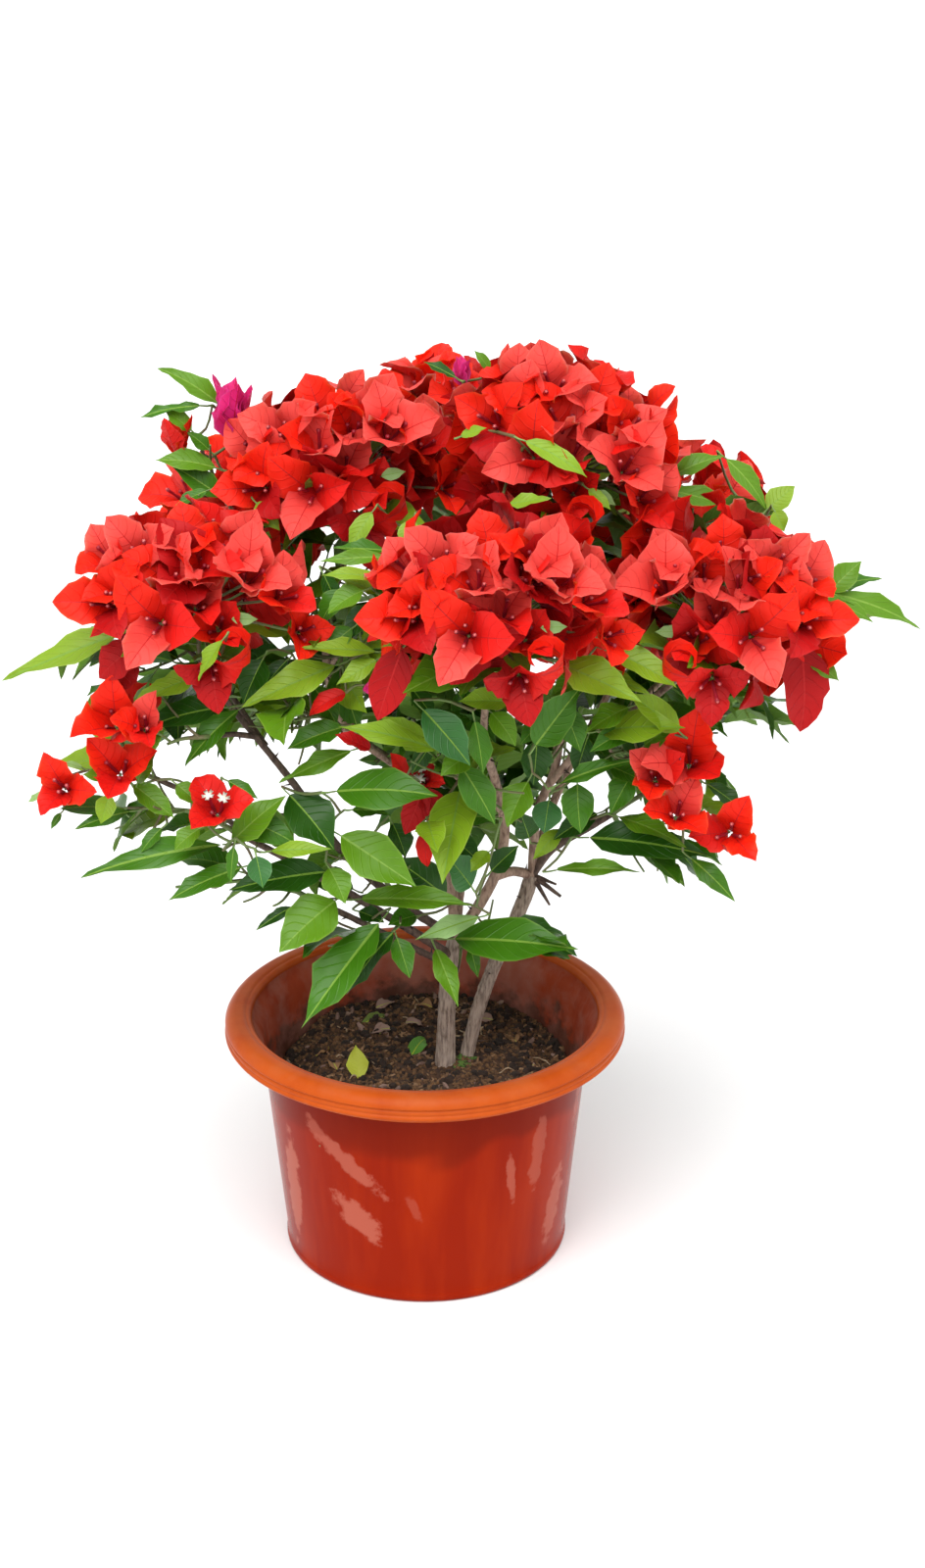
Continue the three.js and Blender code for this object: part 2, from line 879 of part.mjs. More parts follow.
// A spray: leaves alternate along the stem and its side shoots, with a leaf or a bloom at each end.
function growSpray(growth) {
  const { mass, draw } = growth;
  const nodes = Math.max(4, Math.round(mass.stem.getLength() / (mass.pitch ?? LEAF_PITCH)));
  let bloomsLeft = mass.blooms ?? 0;
  const end = (host, spot, along) => {
    if (bloomsLeft > 0) {
      const axis = along.clone().add(new THREE.Vector3(0.2 * (draw() - 0.5), -0.35, 0.25)).normalize();
      const size = BRACT_LENGTH * (mass.bud ? 0.72 : 0.84);
      if (growth.bloom(host, { at: spot, axis, spin: draw() * 120, open: mass.bud ? 28 : 52, size })) {
        bloomsLeft--;
        return;
      }
    }
    growth.leaf(host, spot, along, 0, 4, LEAF_LENGTH, 0.08);
  };
  end(0, mass.stem.getPointAt(1), mass.stem.getTangentAt(1));
  for (let k = nodes - 1; k >= 0; k--) {
    const share = 0.1 + (0.86 * k) / nodes;
    const spot = mass.stem.getPointAt(share);
    const shoot = mass.stem.getTangentAt(share);
    const turn = k * GOLDEN + 90 + 30 * draw();
    const lean = rad(50 + 18 * draw());
    const reach = lerp(mass.spread, mass.rise, 0.4) * (0.55 + 0.35 * draw()) * (1 - 0.25 * share);
    const side = across(shoot, turn);
    const along = shoot.clone().multiplyScalar(Math.cos(lean)).addScaledVector(side, Math.sin(lean));
    const tip = spot.clone().addScaledVector(along, reach);
    const twig = growth.twig(0, spot, tip);
    if (twig) {
      end(twig, tip, along);
      for (const at of [0.7, 0.4]) {
        growth.leaf(twig, spot.clone().lerp(tip, at), along, turn + at * 600, 62, LEAF_LENGTH * 0.9, 0.07);
      }
    }
    growth.leaf(0, spot, shoot, turn + 180, 58, LEAF_LENGTH * (1.05 - 0.2 * share), 0.09);
  }
}

// ---- growing the crown ------------------------------------------------------------------------------
const masses = [...HEADS, ...SPRAYS];
for (const mass of masses) {
  const limb = limbs.get(mass.on);
  mass.kind = mass.half ? "head" : "spray";
  const atTip = !mass.at;
  const foot = limb.curve.getPointAt(mass.at ?? 1);
  mass.room = roomOf(mass, foot);
  const onward = atTip ? limb.curve.getTangentAt(1) : vec(mass.tip).sub(foot).normalize();
  const goal = mass.kind === "head" ? mass.room.centre.clone() : vec(mass.tip);
  if (mass.kind === "spray") goal.addScaledVector(goal.clone().sub(foot).normalize(), -LEAF_LENGTH * 0.9);
  const start = foot.clone();
  if (atTip && !mass.aside) start.addScaledVector(onward, GAP + 0.05);
  const reach = start.distanceTo(goal);
  const lead = mass.aside ? vec(mass.aside).normalize() : onward;
  const first = start.clone().addScaledVector(lead, reach * 0.35);
  const second = start.clone().lerp(goal, 0.7);
  second.z += mass.droop ?? (mass.kind === "spray" ? reach * 0.06 : 0);
  mass.stem = new THREE.CatmullRomCurve3([start, first, second, goal], false, "centripetal");
}
for (const mass of masses) mass.room.claim = mass.claim ?? 1;
setBorders(masses.map((mass) => mass.room));

for (const limb of limbs.values()) addBars(limb.name, limb.curve, (share) => limbRadius(limb, share), 12);
for (const mass of masses) addBars(mass.name, mass.stem, () => STEM_RADIUS, 6);

function stemTube(mass, extra = 0) {
  const grow = extra / Math.cos(Math.PI / 4);
  return bentTube(mass.stem, (share) => lerp(STEM_RADIUS, TWIG_RADIUS, share) + grow, 4, 4);
}

// A mass's stem, cut clear of the limbs and of the stems before it.
function stemBody(mass, wideStems) {
  let stem = stemTube(mass);
  for (const limb of limbs.values()) stem = stem.subtract(limb.wide);
  for (const other of wideStems) stem = stem.subtract(other);
  return largestBody(stem);
}

// ---- the pot and its soil ---------------------------------------------------------------------------
function turned(profile, facets) {
  const points = profile.map(([r, z]) => new THREE.Vector2(r, z));
  return new THREE.LatheGeometry(points, facets).rotateX(Math.PI / 2);
}

// The soil lies banked up at the back and sinks beside the wall at both sides and in front.
function sunk(geometry) {
  const at = geometry.attributes.position;
  for (let i = 0; i < at.count; i++) {
    const [x, y, z] = [at.getX(i), at.getY(i), at.getZ(i)];
    const r = Math.hypot(x, y);
    if (z < SOIL_TOP / 2 || r < 50) continue;
    const edge = THREE.MathUtils.smoothstep(r, 50, 98);
    const side = 1 - THREE.MathUtils.smoothstep(y / r, 0.2, 0.9);
    const low = z - SOIL_SINK * edge * side;
    const shrink = soilRadius(low) / soilRadius(z);
    at.setXYZ(i, x * shrink, y * shrink, low);
  }
  return geometry;
}

const lipFoot = POT_HEIGHT - LIP_HEIGHT - 2;
const underLip = lipFoot - 5;
const bodyRadius = (z) => lerp(BODY_FOOT_RADIUS, BODY_TOP_RADIUS, z / underLip);
const POT_PROFILE = [
  [0, 0],
  [BODY_FOOT_RADIUS, 0],
  [BODY_FOOT_RADIUS + FOOT_LIP, 1.5],
  [BODY_FOOT_RADIUS + FOOT_LIP, 5],
  [bodyRadius(7), 7],
  [BODY_TOP_RADIUS, underLip],
  [BEAD_RADIUS - 2, underLip],
  [BEAD_RADIUS, underLip + 2.5],
  [BEAD_RADIUS - 0.5, lipFoot],
  [RIM_RADIUS - 1.5, lipFoot],
  [RIM_RADIUS, lipFoot + 3],
  [RIM_RADIUS - 0.6, POT_HEIGHT - 3.5],
  [RIM_RADIUS - 4, POT_HEIGHT - 0.4],
  [RIM_RADIUS - 9, POT_HEIGHT],
  [MOUTH_RADIUS + 1.5, POT_HEIGHT - 1.2],
  [MOUTH_RADIUS, POT_HEIGHT - 4],
  [BODY_TOP_RADIUS - WALL + 1.5, underLip + 2],
  [bodyRadius(WALL) - WALL, WALL],
  [0, WALL],
];
const soilShare = (z) => (z - WALL) / (underLip + 2 - WALL);
const soilRadius = (z) => lerp(bodyRadius(WALL) - WALL, BODY_TOP_RADIUS - WALL + 1.5, soilShare(z)) - 0.5;
const soilEdge = SOIL_TOP - SOIL_EDGE_DROP;
const SOIL_PROFILE = [
  [0, WALL + GAP],
  [soilRadius(WALL + GAP), WALL + GAP],
  [soilRadius(soilEdge), soilEdge],
  [80, SOIL_TOP - 0.8],
  [60, SOIL_TOP - 0.2],
  [42, SOIL_TOP],
  [0, SOIL_TOP],
];

// ---- the scene graph --------------------------------------------------------------------------------
const finish = (color, roughness) => new THREE.MeshStandardMaterial({ color, roughness, metalness: 0 });
const FINISH = {
  pot: finish(0xc2481c, 0.38),
  soil: finish(0x4a3021, 0.97),
  bark: finish(0x8a7460, 0.9),
  bough: finish(0x6d4f3c, 0.88),
  flowers: finish(0xe23328, 0.6),
  leaves: finish(0x4c9434, 0.55),
};

const plant = new THREE.Group();
const bush = new THREE.Group();
const planter = new THREE.Group();
plant.add(planter, bush);

function place(group, name, solid, material) {
  const mesh = new THREE.Mesh(geometryOf(solid), material);
  mesh.name = name;
  group.add(mesh);
}

place(planter, "pot", upright(turned(POT_PROFILE, POT_FACETS)), FINISH.pot);
place(planter, "soil", upright(sunk(turned(SOIL_PROFILE, POT_FACETS))), FINISH.soil);
for (const limb of limbs.values()) {
  place(bush, limb.name, limb.solid, limb.parent ? FINISH.bough : FINISH.bark);
}

const wideStems = [];
for (const mass of masses) {
  const growth = new Growth(mass, stemBody(mass, wideStems), mass.seed);
  if (mass.kind === "head") growHead(growth);
  else growSpray(growth);
  wideStems.push(stemTube(mass, GAP));
  place(bush, mass.name, growth.body(), mass.kind === "head" ? FINISH.flowers : FINISH.leaves);
}

export default plant;
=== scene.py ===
"""A flowering bougainvillea bush in its round plastic pot, dressed in its finest detail.

Tables of limbs and masses are in millimetres in the part's own frame: +Z up, seen from -Y, with the
origin at the centre of the pot's flat underside. Every mesh is built in metres.
"""

import json
import logging
import math
from dataclasses import dataclass, field
from enum import Enum
from pathlib import Path as FilePath
from typing import Any, Callable, Iterable, Sequence

import bpy
import numpy as np
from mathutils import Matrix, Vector, noise

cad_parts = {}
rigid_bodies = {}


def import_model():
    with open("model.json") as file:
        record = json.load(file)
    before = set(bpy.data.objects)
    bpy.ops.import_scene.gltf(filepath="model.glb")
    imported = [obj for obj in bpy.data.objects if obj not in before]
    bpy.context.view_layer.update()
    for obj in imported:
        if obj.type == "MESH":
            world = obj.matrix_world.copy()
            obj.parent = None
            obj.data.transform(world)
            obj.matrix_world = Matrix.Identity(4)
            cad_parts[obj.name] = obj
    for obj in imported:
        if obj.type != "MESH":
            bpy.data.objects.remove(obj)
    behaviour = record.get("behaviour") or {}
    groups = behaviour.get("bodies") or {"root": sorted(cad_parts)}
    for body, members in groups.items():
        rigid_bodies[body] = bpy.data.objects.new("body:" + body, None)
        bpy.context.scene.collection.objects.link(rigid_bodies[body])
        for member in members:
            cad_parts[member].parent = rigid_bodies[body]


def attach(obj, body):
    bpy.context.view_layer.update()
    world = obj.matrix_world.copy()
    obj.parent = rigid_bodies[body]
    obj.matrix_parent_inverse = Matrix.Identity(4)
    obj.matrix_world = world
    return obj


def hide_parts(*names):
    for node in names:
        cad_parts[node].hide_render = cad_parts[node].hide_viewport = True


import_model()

LOG = logging.getLogger("bougainvillea")
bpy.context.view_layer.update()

# Millimetres, but for MM, which turns them into metres, and GOLDEN, in degrees.
MM = 0.001
GOLDEN = 137.5
GAP = 0.3
TWIG_RADIUS = 1.1
STEM_RADIUS = 1.7
BRACT_LENGTH = 39.0
LEAF_LENGTH = 62.0
LEAF_PITCH = 13.0
AXIS = np.array([20.0, 15.0, 0.0])
UP = np.array([0.0, 0.0, 1.0])
ACROSS = np.array([1.0, 0.0, 0.0])
EYE = np.array([23.4, -1342.4, 824.3])
FRONT_UP = np.array([0.0, 0.36, 0.933])
TO_FRONT = np.array([0.0, -0.933, 0.36])

POT_HEIGHT = 159.0
RIM_RADIUS = 125.0
MOUTH_RADIUS = 108.0
BODY_TOP_RADIUS = 102.5
BODY_FOOT_RADIUS = 88.5
BEAD_RADIUS = 118.0
WALL = 3.0
LIP_FOOT = 145.0
UNDER_LIP = 140.0
SOIL_TOP = 120.0
SOIL_SINK = 13.0
POT_SIDE = 0.0955

# Twigs among the flower heads, above this height, bow back by at most so much.
TUCK_ABOVE = 430.0
TUCK_MOST = 18.0

# Blooms grown for each one in a head's row: on the round of a steered head, of any other, and inside.
STEERED_BLOOMS = 1.9
ROUND_BLOOMS = 2.7
INNER_BLOOMS = 0.7

# A spray's steps by share of the leaf pitch, and how far its leaves' middles stay apart.
DENSE_STEP, DENSE_GAP = 0.34, 4.6
LOOSE_STEP, LOOSE_GAP = 0.55, 6.5

# The pattern of blooms on a head's front: its half breadth, how far down it is set, how far forward
# by share of the head's depth, and how far bigger blooms stand before smaller ones.
PATTERN_HALF = 78
PATTERN_DROP = 6
PATTERN_REACH = 0.42
PATTERN_STAGGER = 35

STALK_GIRTHS = (0.75, 0.6, 0.5)

# Steps along a limb, in millimetres: between leaves on the boughs behind, between thorns, and between
# the rings of the stems' and the boughs' tubes.
BOUGH_LEAF_PITCH = 9
THORN_PITCH = 26
STEM_STEP = 0.9
BOUGH_STEP = 3.0

Rgb = tuple[float, float, float]
Point = Sequence[float]


# ---- numbers, directions and paths --------------------------------------------------------------------


class Draws:
    """An even, repeatable series of numbers from 0 to 1."""

    def __init__(self, seed: int) -> None:
        """Start the series at a seed."""
        self.state = seed & 0xFFFFFFFF

    def __call__(self) -> float:
        """Give the next number."""
        self.state = (self.state + 0x6D2B79F5) & 0xFFFFFFFF
        s = self.state
        t = ((s ^ (s >> 15)) * (1 | s)) & 0xFFFFFFFF
        t = ((t + (((t ^ (t >> 7)) * (61 | t)) & 0xFFFFFFFF)) & 0xFFFFFFFF) ^ t
        return ((t ^ (t >> 14)) & 0xFFFFFFFF) / 4294967296

    def between(self, low: float, high: float) -> float:
        """Give a number between two limits."""
        return low + (high - low) * self()


def unit(v: np.ndarray) -> np.ndarray:
    """Scale a vector to length one."""
    return v / max(float(np.linalg.norm(v)), 1e-9)


def spun(v: np.ndarray, axis: np.ndarray, degrees: float) -> np.ndarray:
    """Turn a vector round a unit axis.

    Args:
        v: The vector.
        axis: The unit axis it turns round.
        degrees: How far it turns.

    Returns:
        The turned vector.
    """
    a = math.radians(degrees)
    return v * math.cos(a) + np.cross(axis, v) * math.sin(a) + axis * float(axis @ v) * (1 - math.cos(a))


def across(along: np.ndarray, degrees: float) -> np.ndarray:
    """Give a unit vector across a direction, turned round it.

    Args:
        along: The unit direction.
        degrees: The turn round it, from the highest side.

    Returns:
        A unit vector at right angles to the direction.
    """
    side = UP if abs(along[2]) < 0.95 else ACROSS
    return spun(unit(side - along * float(side @ along)), along, degrees)


def lerp(a: Any, b: Any, share: float) -> Any:
    """Mix two values."""
    return a + (b - a) * share


def smooth_step(x: Any, low: float, high: float) -> Any:
    """Rise smoothly from 0 at one limit to 1 at the other."""
    t = np.clip((x - low) / (high - low), 0, 1)
    return t * t * (3 - 2 * t)


def tucked(start: np.ndarray, end: np.ndarray) -> np.ndarray:
    """Bow a twig among the flower heads towards the back, so that bracts cover it."""
    if min(start[2], end[2]) <= TUCK_ABOVE:
        return np.zeros(3)
    far = float(np.linalg.norm(end - start))
    return np.array([0.0, min(TUCK_MOST, 0.45 * far), -4.0])


def sagged(start: np.ndarray, end: np.ndarray, shares: Sequence[float], sag: float) -> np.ndarray:
    """Give points between two others, at shares of the way, on a shallow sag."""
    return np.array([lerp(start, end, s) - UP * sag * math.sin(math.pi * s) for s in shares])


class Line:
    """A smooth line through points, walked by its length."""

    STEPS = 14

    def __init__(self, points: Sequence[Point]) -> None:
        """Lay a centripetal curve through the points.

        Args:
            points: The points that the line passes, in millimetres.
        """
        p = np.asarray(points, float)
        ext = np.vstack([2 * p[0] - p[1], p, 2 * p[-1] - p[-2]])
        rows = [p[:1]]
        for i in range(len(p) - 1):
            rows.append(self._stretch(*ext[i : i + 4]))
        self.points = np.vstack(rows)
        steps = np.linalg.norm(np.diff(self.points, axis=0), axis=1)
        self.walked = np.concatenate([[0], np.cumsum(steps)])
        self.length = float(self.walked[-1])

    def _stretch(self, p0: np.ndarray, p1: np.ndarray, p2: np.ndarray, p3: np.ndarray) -> np.ndarray:
        """Sample one stretch between two of the points, given their neighbours."""
        hops = ((p0, p1), (p1, p2), (p2, p3))
        d0, d1, d2 = (max(float(np.linalg.norm(b - a)) ** 0.5, 1e-3) for a, b in hops)
        m1 = ((p1 - p0) / d0 - (p2 - p0) / (d0 + d1) + (p2 - p1) / d1) * d1
        m2 = ((p2 - p1) / d1 - (p3 - p1) / (d1 + d2) + (p3 - p2) / d2) * d1
        t = np.linspace(0, 1, self.STEPS + 1)[1:, None]
        return (
            p1 * (2 * t**3 - 3 * t**2 + 1)
            + m1 * (t**3 - 2 * t**2 + t)
            + p2 * (-2 * t**3 + 3 * t**2)
            + m2 * (t**3 - t**2)
        )

    def at(self, share: float) -> np.ndarray:
        """Give the point at a share of the length."""
        where = share * self.length
        return np.array([np.interp(where, self.walked, self.points[:, k]) for k in range(3)])

    def towards(self, share: float) -> np.ndarray:
        """Give the unit direction of travel at a share of the length."""
        return unit(self.at(min(share + 0.01, 1)) - self.at(max(share - 0.01, 0)))

    def stops(self, count: int) -> np.ndarray:
        """Give evenly spaced points from end to end."""
        return np.array([self.at(i / (count - 1)) for i in range(count)])


# ---- tables of the plant ------------------------------------------------------------------------------


@dataclass
class Limb:
    """A stem or bough: the limb it leaves, the points it passes and its radius at root and tip."""

    name: str
    parent: str
    path: list[Point]
    radii: tuple[float, float]
    flare: float = 0.0
    line: Line = field(init=False)

    def __post_init__(self) -> None:
        """Lay the limb's line."""
        self.line = Line(self.path)

    def radius(self, share: float) -> float:
        """Give the limb's radius at a share of its length."""
        return lerp(*self.radii, share) + self.flare * math.exp(-share * 9)


class Part(Enum):
    """What kind of mass a part of the crown is."""

    HEAD = "head"
    SPRAY = "spray"


@dataclass
class Mass:
    """A mass of the crown: a head of blooms with a round space, or a leafy spray with a furthest tip."""

    name: str
    seed: int
    on: str
    part: Part
    centre: Point = (0, 0, 0)
    half: Point = (0, 0, 0)
    tip: Point = (0, 0, 0)
    spread: float = 0.0
    rise: float = 0.0
    at: float = 1.0
    blooms: int = 0
    droop: float | None = None
    aside: Point | None = None
    claim: float = 1.0
    stem: Line = field(init=False)
    room: "Room" = field(init=False)


def head(name: str, seed: int, on: str, centre: Point, half: Point, blooms: int, claim: float = 1.0) -> Mass:
    """Describe a round head of blooms."""
    return Mass(name, seed, on, Part.HEAD, centre=centre, half=half, blooms=blooms, claim=claim)


def spray(name: str, seed: int, on: str, tip: Point, spread: float, rise: float, **more: Any) -> Mass:
    """Describe a leafy spray that ends at a tip."""
    return Mass(name, seed, on, Part.SPRAY, tip=tip, spread=spread, rise=rise, **more)


FORK = (19, -2, 206)
KNUCKLE = (66.3, 12, 242)
LIMBS = [
    Limb("trunk", "", [(12.3, -4, 112), (13.5, -6, 150), (15, -4, 185), FORK], (5.9, 4.6), 2.6),
    Limb(
        "second_stem",
        "",
        [(24, 5, 112), (34, 3, 157), (43.5, 4, 185), (61, 10, 225), KNUCKLE],
        (3.9, 4.5),
        1.2,
    ),
    Limb(
        "middle_bough",
        "trunk",
        [FORK, (28, -2, 219), (43, 0, 246), (49, -5, 277), (44, -14, 310), (36, -42, 350), (37, -68, 390)],
        (3.7, 1.9),
    ),
    Limb("cross_bough", "middle_bough", [(43, 0, 246), (54, 5, 247.5), KNUCKLE], (3.0, 3.1)),
    Limb(
        "top_right_bough",
        "second_stem",
        [KNUCKLE, (69, 10, 284), (80, 10, 316), (81, 8, 380), (77, 5, 448)],
        (3.0, 1.9),
    ),
    Limb(
        "low_right_bough",
        "second_stem",
        [KNUCKLE, (77.5, 8, 260), (99.5, 0, 278), (114, -8, 291)],
        (2.7, 1.9),
    ),
    Limb(
        "right_bough",
        "top_right_bough",
        [(74, 10, 300), (98, 0, 334), (128, -18, 362), (148, -36, 386)],
        (2.4, 1.8),
    ),
    Limb(
        "left_bough",
        "trunk",
        [FORK, (-10, -14, 232), (-48, -20, 270), (-76, -25, 316), (-114, -36, 374), (-120, -40, 388)],
        (2.9, 1.7),
    ),
    Limb(
        "low_left_bough",
        "trunk",
        [(16, -4, 195), (-8, -26, 222), (-45, -42, 254), (-82, -58, 284), (-110, -64, 303)],
        (2.8, 1.8),
    ),
    Limb(
        "side_left_bough",
        "low_left_bough",
        [(-100, -62, 296), (-126, -52, 316), (-152, -54, 330)],
        (1.8, 1.5),
    ),
    Limb(
        "top_left_bough",
        "trunk",
        [FORK, (14, 8, 252), (-8, 18, 303), (-50, 22, 340), (-58, 22, 398), (-45, 20, 444)],
        (3.4, 1.9),
    ),
    Limb("back_bough", "trunk", [FORK, (24, 28, 262), (26, 78, 345), (22, 112, 430)], (3.3, 1.9)),
    Limb(
        "back_left_bough",
        "back_bough",
        [(25, 45, 290), (-22, 66, 330), (-68, 84, 365), (-96, 94, 394)],
        (2.5, 1.8),
    ),
    Limb(
        "back_right_bough",
        "second_stem",
        [KNUCKLE, (80, 34, 282), (112, 64, 338), (142, 84, 388)],
        (2.8, 1.8),
    ),
    Limb(
        "upper_left_bough",
        "top_left_bough",
        [(-57, 22, 385), (-84, 34, 424), (-108, 34, 458), (-116, 30, 474)],
        (1.9, 1.5),
    ),
    Limb(
        "upper_right_bough",
        "top_right_bough",
        [(81, 9, 360), (108, 30, 404), (134, 36, 436), (150, 34, 450)],
        (1.9, 1.5),
    ),
    Limb(
        "far_right_bough",
        "right_bough",
        [(118, -12, 353), (150, 12, 374), (186, 14, 392), (214, 8, 404)],
        (1.9, 1.5),
    ),
    Limb(
        "far_left_bough",
        "left_bough",
        [(-92, -29, 342), (-124, -2, 378), (-152, -2, 402), (-172, -12, 412)],
        (1.8, 1.5),
    ),
    Limb(
        "foot_left_bough",
        "trunk",
        [(15.5, -4, 188), (-12, -28, 214), (-40, -46, 238), (-66, -56, 256)],
        (2.2, 1.7),
    ),
    Limb(
        "left_centre_bough",
        "top_left_bough",
        [(-20, 19, 313), (-34, -8, 334), (-48, -30, 354)],
        (1.9, 1.6),
    ),
    Limb("mid_left_bough", "left_bough", [(-60, -22, 289), (-76, -36, 300), (-88, -46, 305)], (1.8, 1.5)),
    Limb("under_left_bough", "left_bough", [(-96, -31, 348), (-108, -48, 356), (-118, -62, 360)], (1.8, 1.5)),
    Limb(
        "upper_centre_bough",
        "top_left_bough",
        [(-57, 22, 362), (-56, 2, 378), (-50, -14, 392)],
        (1.8, 1.5),
    ),
    Limb("inner_right_bough", "top_right_bough", [(80, 10, 326), (84, -6, 340), (86, -18, 352)], (1.8, 1.5)),
    Limb("centre_bough", "middle_bough", [(48, -8, 290), (40, -22, 306), (30, -34, 318)], (1.8, 1.6)),
    Limb("right_centre_bough", "right_bough", [(94, 2, 329), (104, -18, 336), (112, -36, 342)], (1.8, 1.6)),
]

MASSES = [
    head("top_right_flowers", 3, "top_right_bough", (82, 0, 512), (86, 68, 72), 15),
    head("top_left_flowers", 14, "top_left_bough", (-49, 20, 499), (78, 64, 62), 14),
    head("left_flowers", 20, "left_bough", (-128, -46, 440), (86, 68, 66), 15),
    head("middle_flowers", 20, "middle_bough", (40, -95, 449), (87, 66, 70), 15),
    head("right_flowers", 23, "right_bough", (168, -50, 434), (80, 68, 80), 16),
    head("low_left_flowers", 6, "side_left_bough", (-180, -66, 368), (48, 46, 48), 9, 1.8),
    head("low_right_flowers", 10, "low_right_bough", (160, -64, 318), (56, 46, 50), 9, 1.6),
    head("back_flowers", 13, "back_bough", (18, 134, 486), (84, 70, 66), 13),
    head("back_left_flowers", 3, "back_left_bough", (-118, 104, 446), (78, 72, 64), 13),
    head("back_right_flowers", 6, "back_right_bough", (162, 98, 440), (78, 72, 66), 13),
    spray("top_left_sprig", 28, "upper_left_bough", (-151, 22, 556), 46, 40),
    spray("upper_right_sprig", 27, "upper_right_bough", (222, 32, 482), 34, 30),
    spray("far_right_sprig", 28, "far_right_bough", (292, 0, 404), 28, 26),
    spray("far_left_sprig", 12, "far_left_bough", (-241, -40, 387), 24, 22),
    spray("left_spray", 13, "low_left_bough", (-222, -76, 334), 54, 50),
    spray("low_left_leaves", 30, "foot_left_bough", (-197, -82, 280), 50, 34),
    spray(
        "foot_left_leaves", 23, "foot_left_bough", (-78, -84, 180), 52, 54,
        at=0.45, droop=26, aside=(-0.5, -0.8, -0.1),
    ),
    spray("foot_right_leaves", 27, "trunk", (95, -62, 218), 44, 40, at=0.95, droop=16),
    spray("inner_left_leaves", 8, "left_bough", (-66, -70, 322), 54, 46, at=0.16),
    spray("left_centre_leaves", 5, "left_centre_bough", (-124, -100, 382), 62, 56),
    spray("centre_leaves", 14, "centre_bough", (20, -122, 362), 66, 56),
    spray("right_centre_leaves", 9, "right_centre_bough", (156, -108, 350), 58, 54),
    spray("low_right_leaves", 2, "low_right_bough", (192, -50, 250), 54, 38, aside=(0.5, 0.2, -0.9)),
    spray("mid_left_leaves", 19, "mid_left_bough", (-172, -84, 306), 46, 38),
    spray("under_left_leaves", 15, "under_left_bough", (-196, -92, 356), 46, 40),
    spray("upper_centre_leaves", 24, "upper_centre_bough", (-26, -84, 420), 50, 48),
    spray("inner_right_leaves", 13, "inner_right_bough", (84, -108, 360), 50, 48),
    spray("inner_leaves", 11, "back_bough", (-10, -2, 414), 66, 52, at=0.4),
    spray("back_left_leaves", 3, "back_left_bough", (-200, 86, 314), 66, 56, at=0.6),
    spray("back_right_leaves", 16, "back_right_bough", (240, 84, 318), 66, 56, at=0.5),
    spray("back_low_leaves", 10, "back_bough", (22, 176, 292), 76, 56, at=0.26),
]

# Gaps in the crown seen from the front eye point: x, z where the line of sight crosses y = 0, and radius.
OPENINGS = [
    (-140, 312, 14.2), (-153, 324, 8.3), (-117, 334, 7.7), (-86, 326, 7.1), (-202, 261, 9.0),
    (-172, 251, 4.8), (-183, 226, 22.0), (-223, 252, 15.3), (-144, 213, 18.0), (-222, 362, 15.1),
    (196, 329, 20.1), (203, 297, 9.4), (148, 233, 14.4), (183, 206, 18.3), (214, 242, 12.0),
    (-232, 341, 13.0), (-243, 319, 11.8), (244, 453, 8.0),
    (-71, 579, 27.5), (-42, 590, 29.2), (-13, 582, 23.1), (94, 596, 26.4), (127, 577, 23.1),
    (169, 546, 23.5), (201, 522, 21.3), (236, 489, 22.4), (262, 462, 17.1), (265, 389, 22.0),
    (-180, 522, 29.1), (-156, 505, 16.8), (-137, 522, 12.3), (-126, 522, 7.8), (-212, 456, 19.4),
    (-181, 485, 8.0), (-121, 494, 4.5),
    (13, 549, 8.2), (-100, 517, 4.5), (80, 458, 4.6), (103, 445, 5.1), (-62, 440, 3.4),
    (-65, 434, 3.5), (-107, 316, 16.5), (-128, 312, 10.6), (-154, 331, 4.7), (-92, 337, 5.3),
    (-65, 309, 8.8), (-59, 283, 4.8), (-29, 276, 6.6), (-80, 257, 5.4), (-96, 367, 3.5),
    (6, 312, 2.9), (14, 300, 4.1), (113, 223, 27.5), (162, 203, 27.0), (196, 242, 14.4),
    (52, 232, 5.4), (106, 294, 4.8), (126, 302, 4.1), (135, 275, 3.0), (-172, 203, 30.0),
    (-133, 195, 25.2), (-207, 216, 24.0), (-117, 219, 8.4), (-51, 156, 40.9), (-12, 156, 24.4),
    (22, 135, 24.4), (65, 156, 30.5), (96, 169, 20.7), (-82, 176, 18.3), (-218, 344, 15.1),
    (-237, 406, 17.4), (-235, 344, 17.7), (-210, 268, 4.7), (-188, 242, 8.4), (-241, 256, 18.0),
    (-182, 239, 9.6), (250, 344, 23.2), (272, 369, 17.7), (229, 307, 23.6), (212, 281, 8.4),
    (254, 471, 17.1), (236, 500, 16.8),
    (-88, 558, 10.9), (-66, 566, 12.0), (-47, 573, 12.0), (-28, 573, 12.0), (-12, 567, 12.0),
    (2, 556, 10.9), (86, 579, 6.6), (97, 575, 7.7), (112, 563, 7.7), (125, 549, 6.6),
    (-192, 462, 8.8), (-181, 479, 8.2), (-166, 492, 8.2), (-149, 493, 8.2), (-130, 495, 8.2),
    (152, 493, 6.6), (164, 494, 7.7), (186, 493, 8.8), (207, 490, 9.8), (231, 472, 8.8),
    (243, 453, 7.7), (249, 434, 7.7), (-152, 246, 8.8), (-169, 256, 8.8), (-137, 233, 7.7),
    (-170, 239, 10.9), (-126, 224, 6.6), (-174, 275, 5.5), (182, 219, 10.9), (161, 233, 6.6),
    (196, 239, 7.7), (174, 239, 5.5), (-211, 400, 7.7), (-223, 394, 5.5), (-195, 390, 4.4),
    (-108, 307, 6.6), (-95, 326, 5.5), (86, 186, 6.6), (102, 193, 4.9), (75, 176, 6.6),
    (-5, 563, 14.0), (-14, 571, 14.0), (4, 552, 8.0), (-3, 556, 12.0), (-10, 562, 12.0),
]

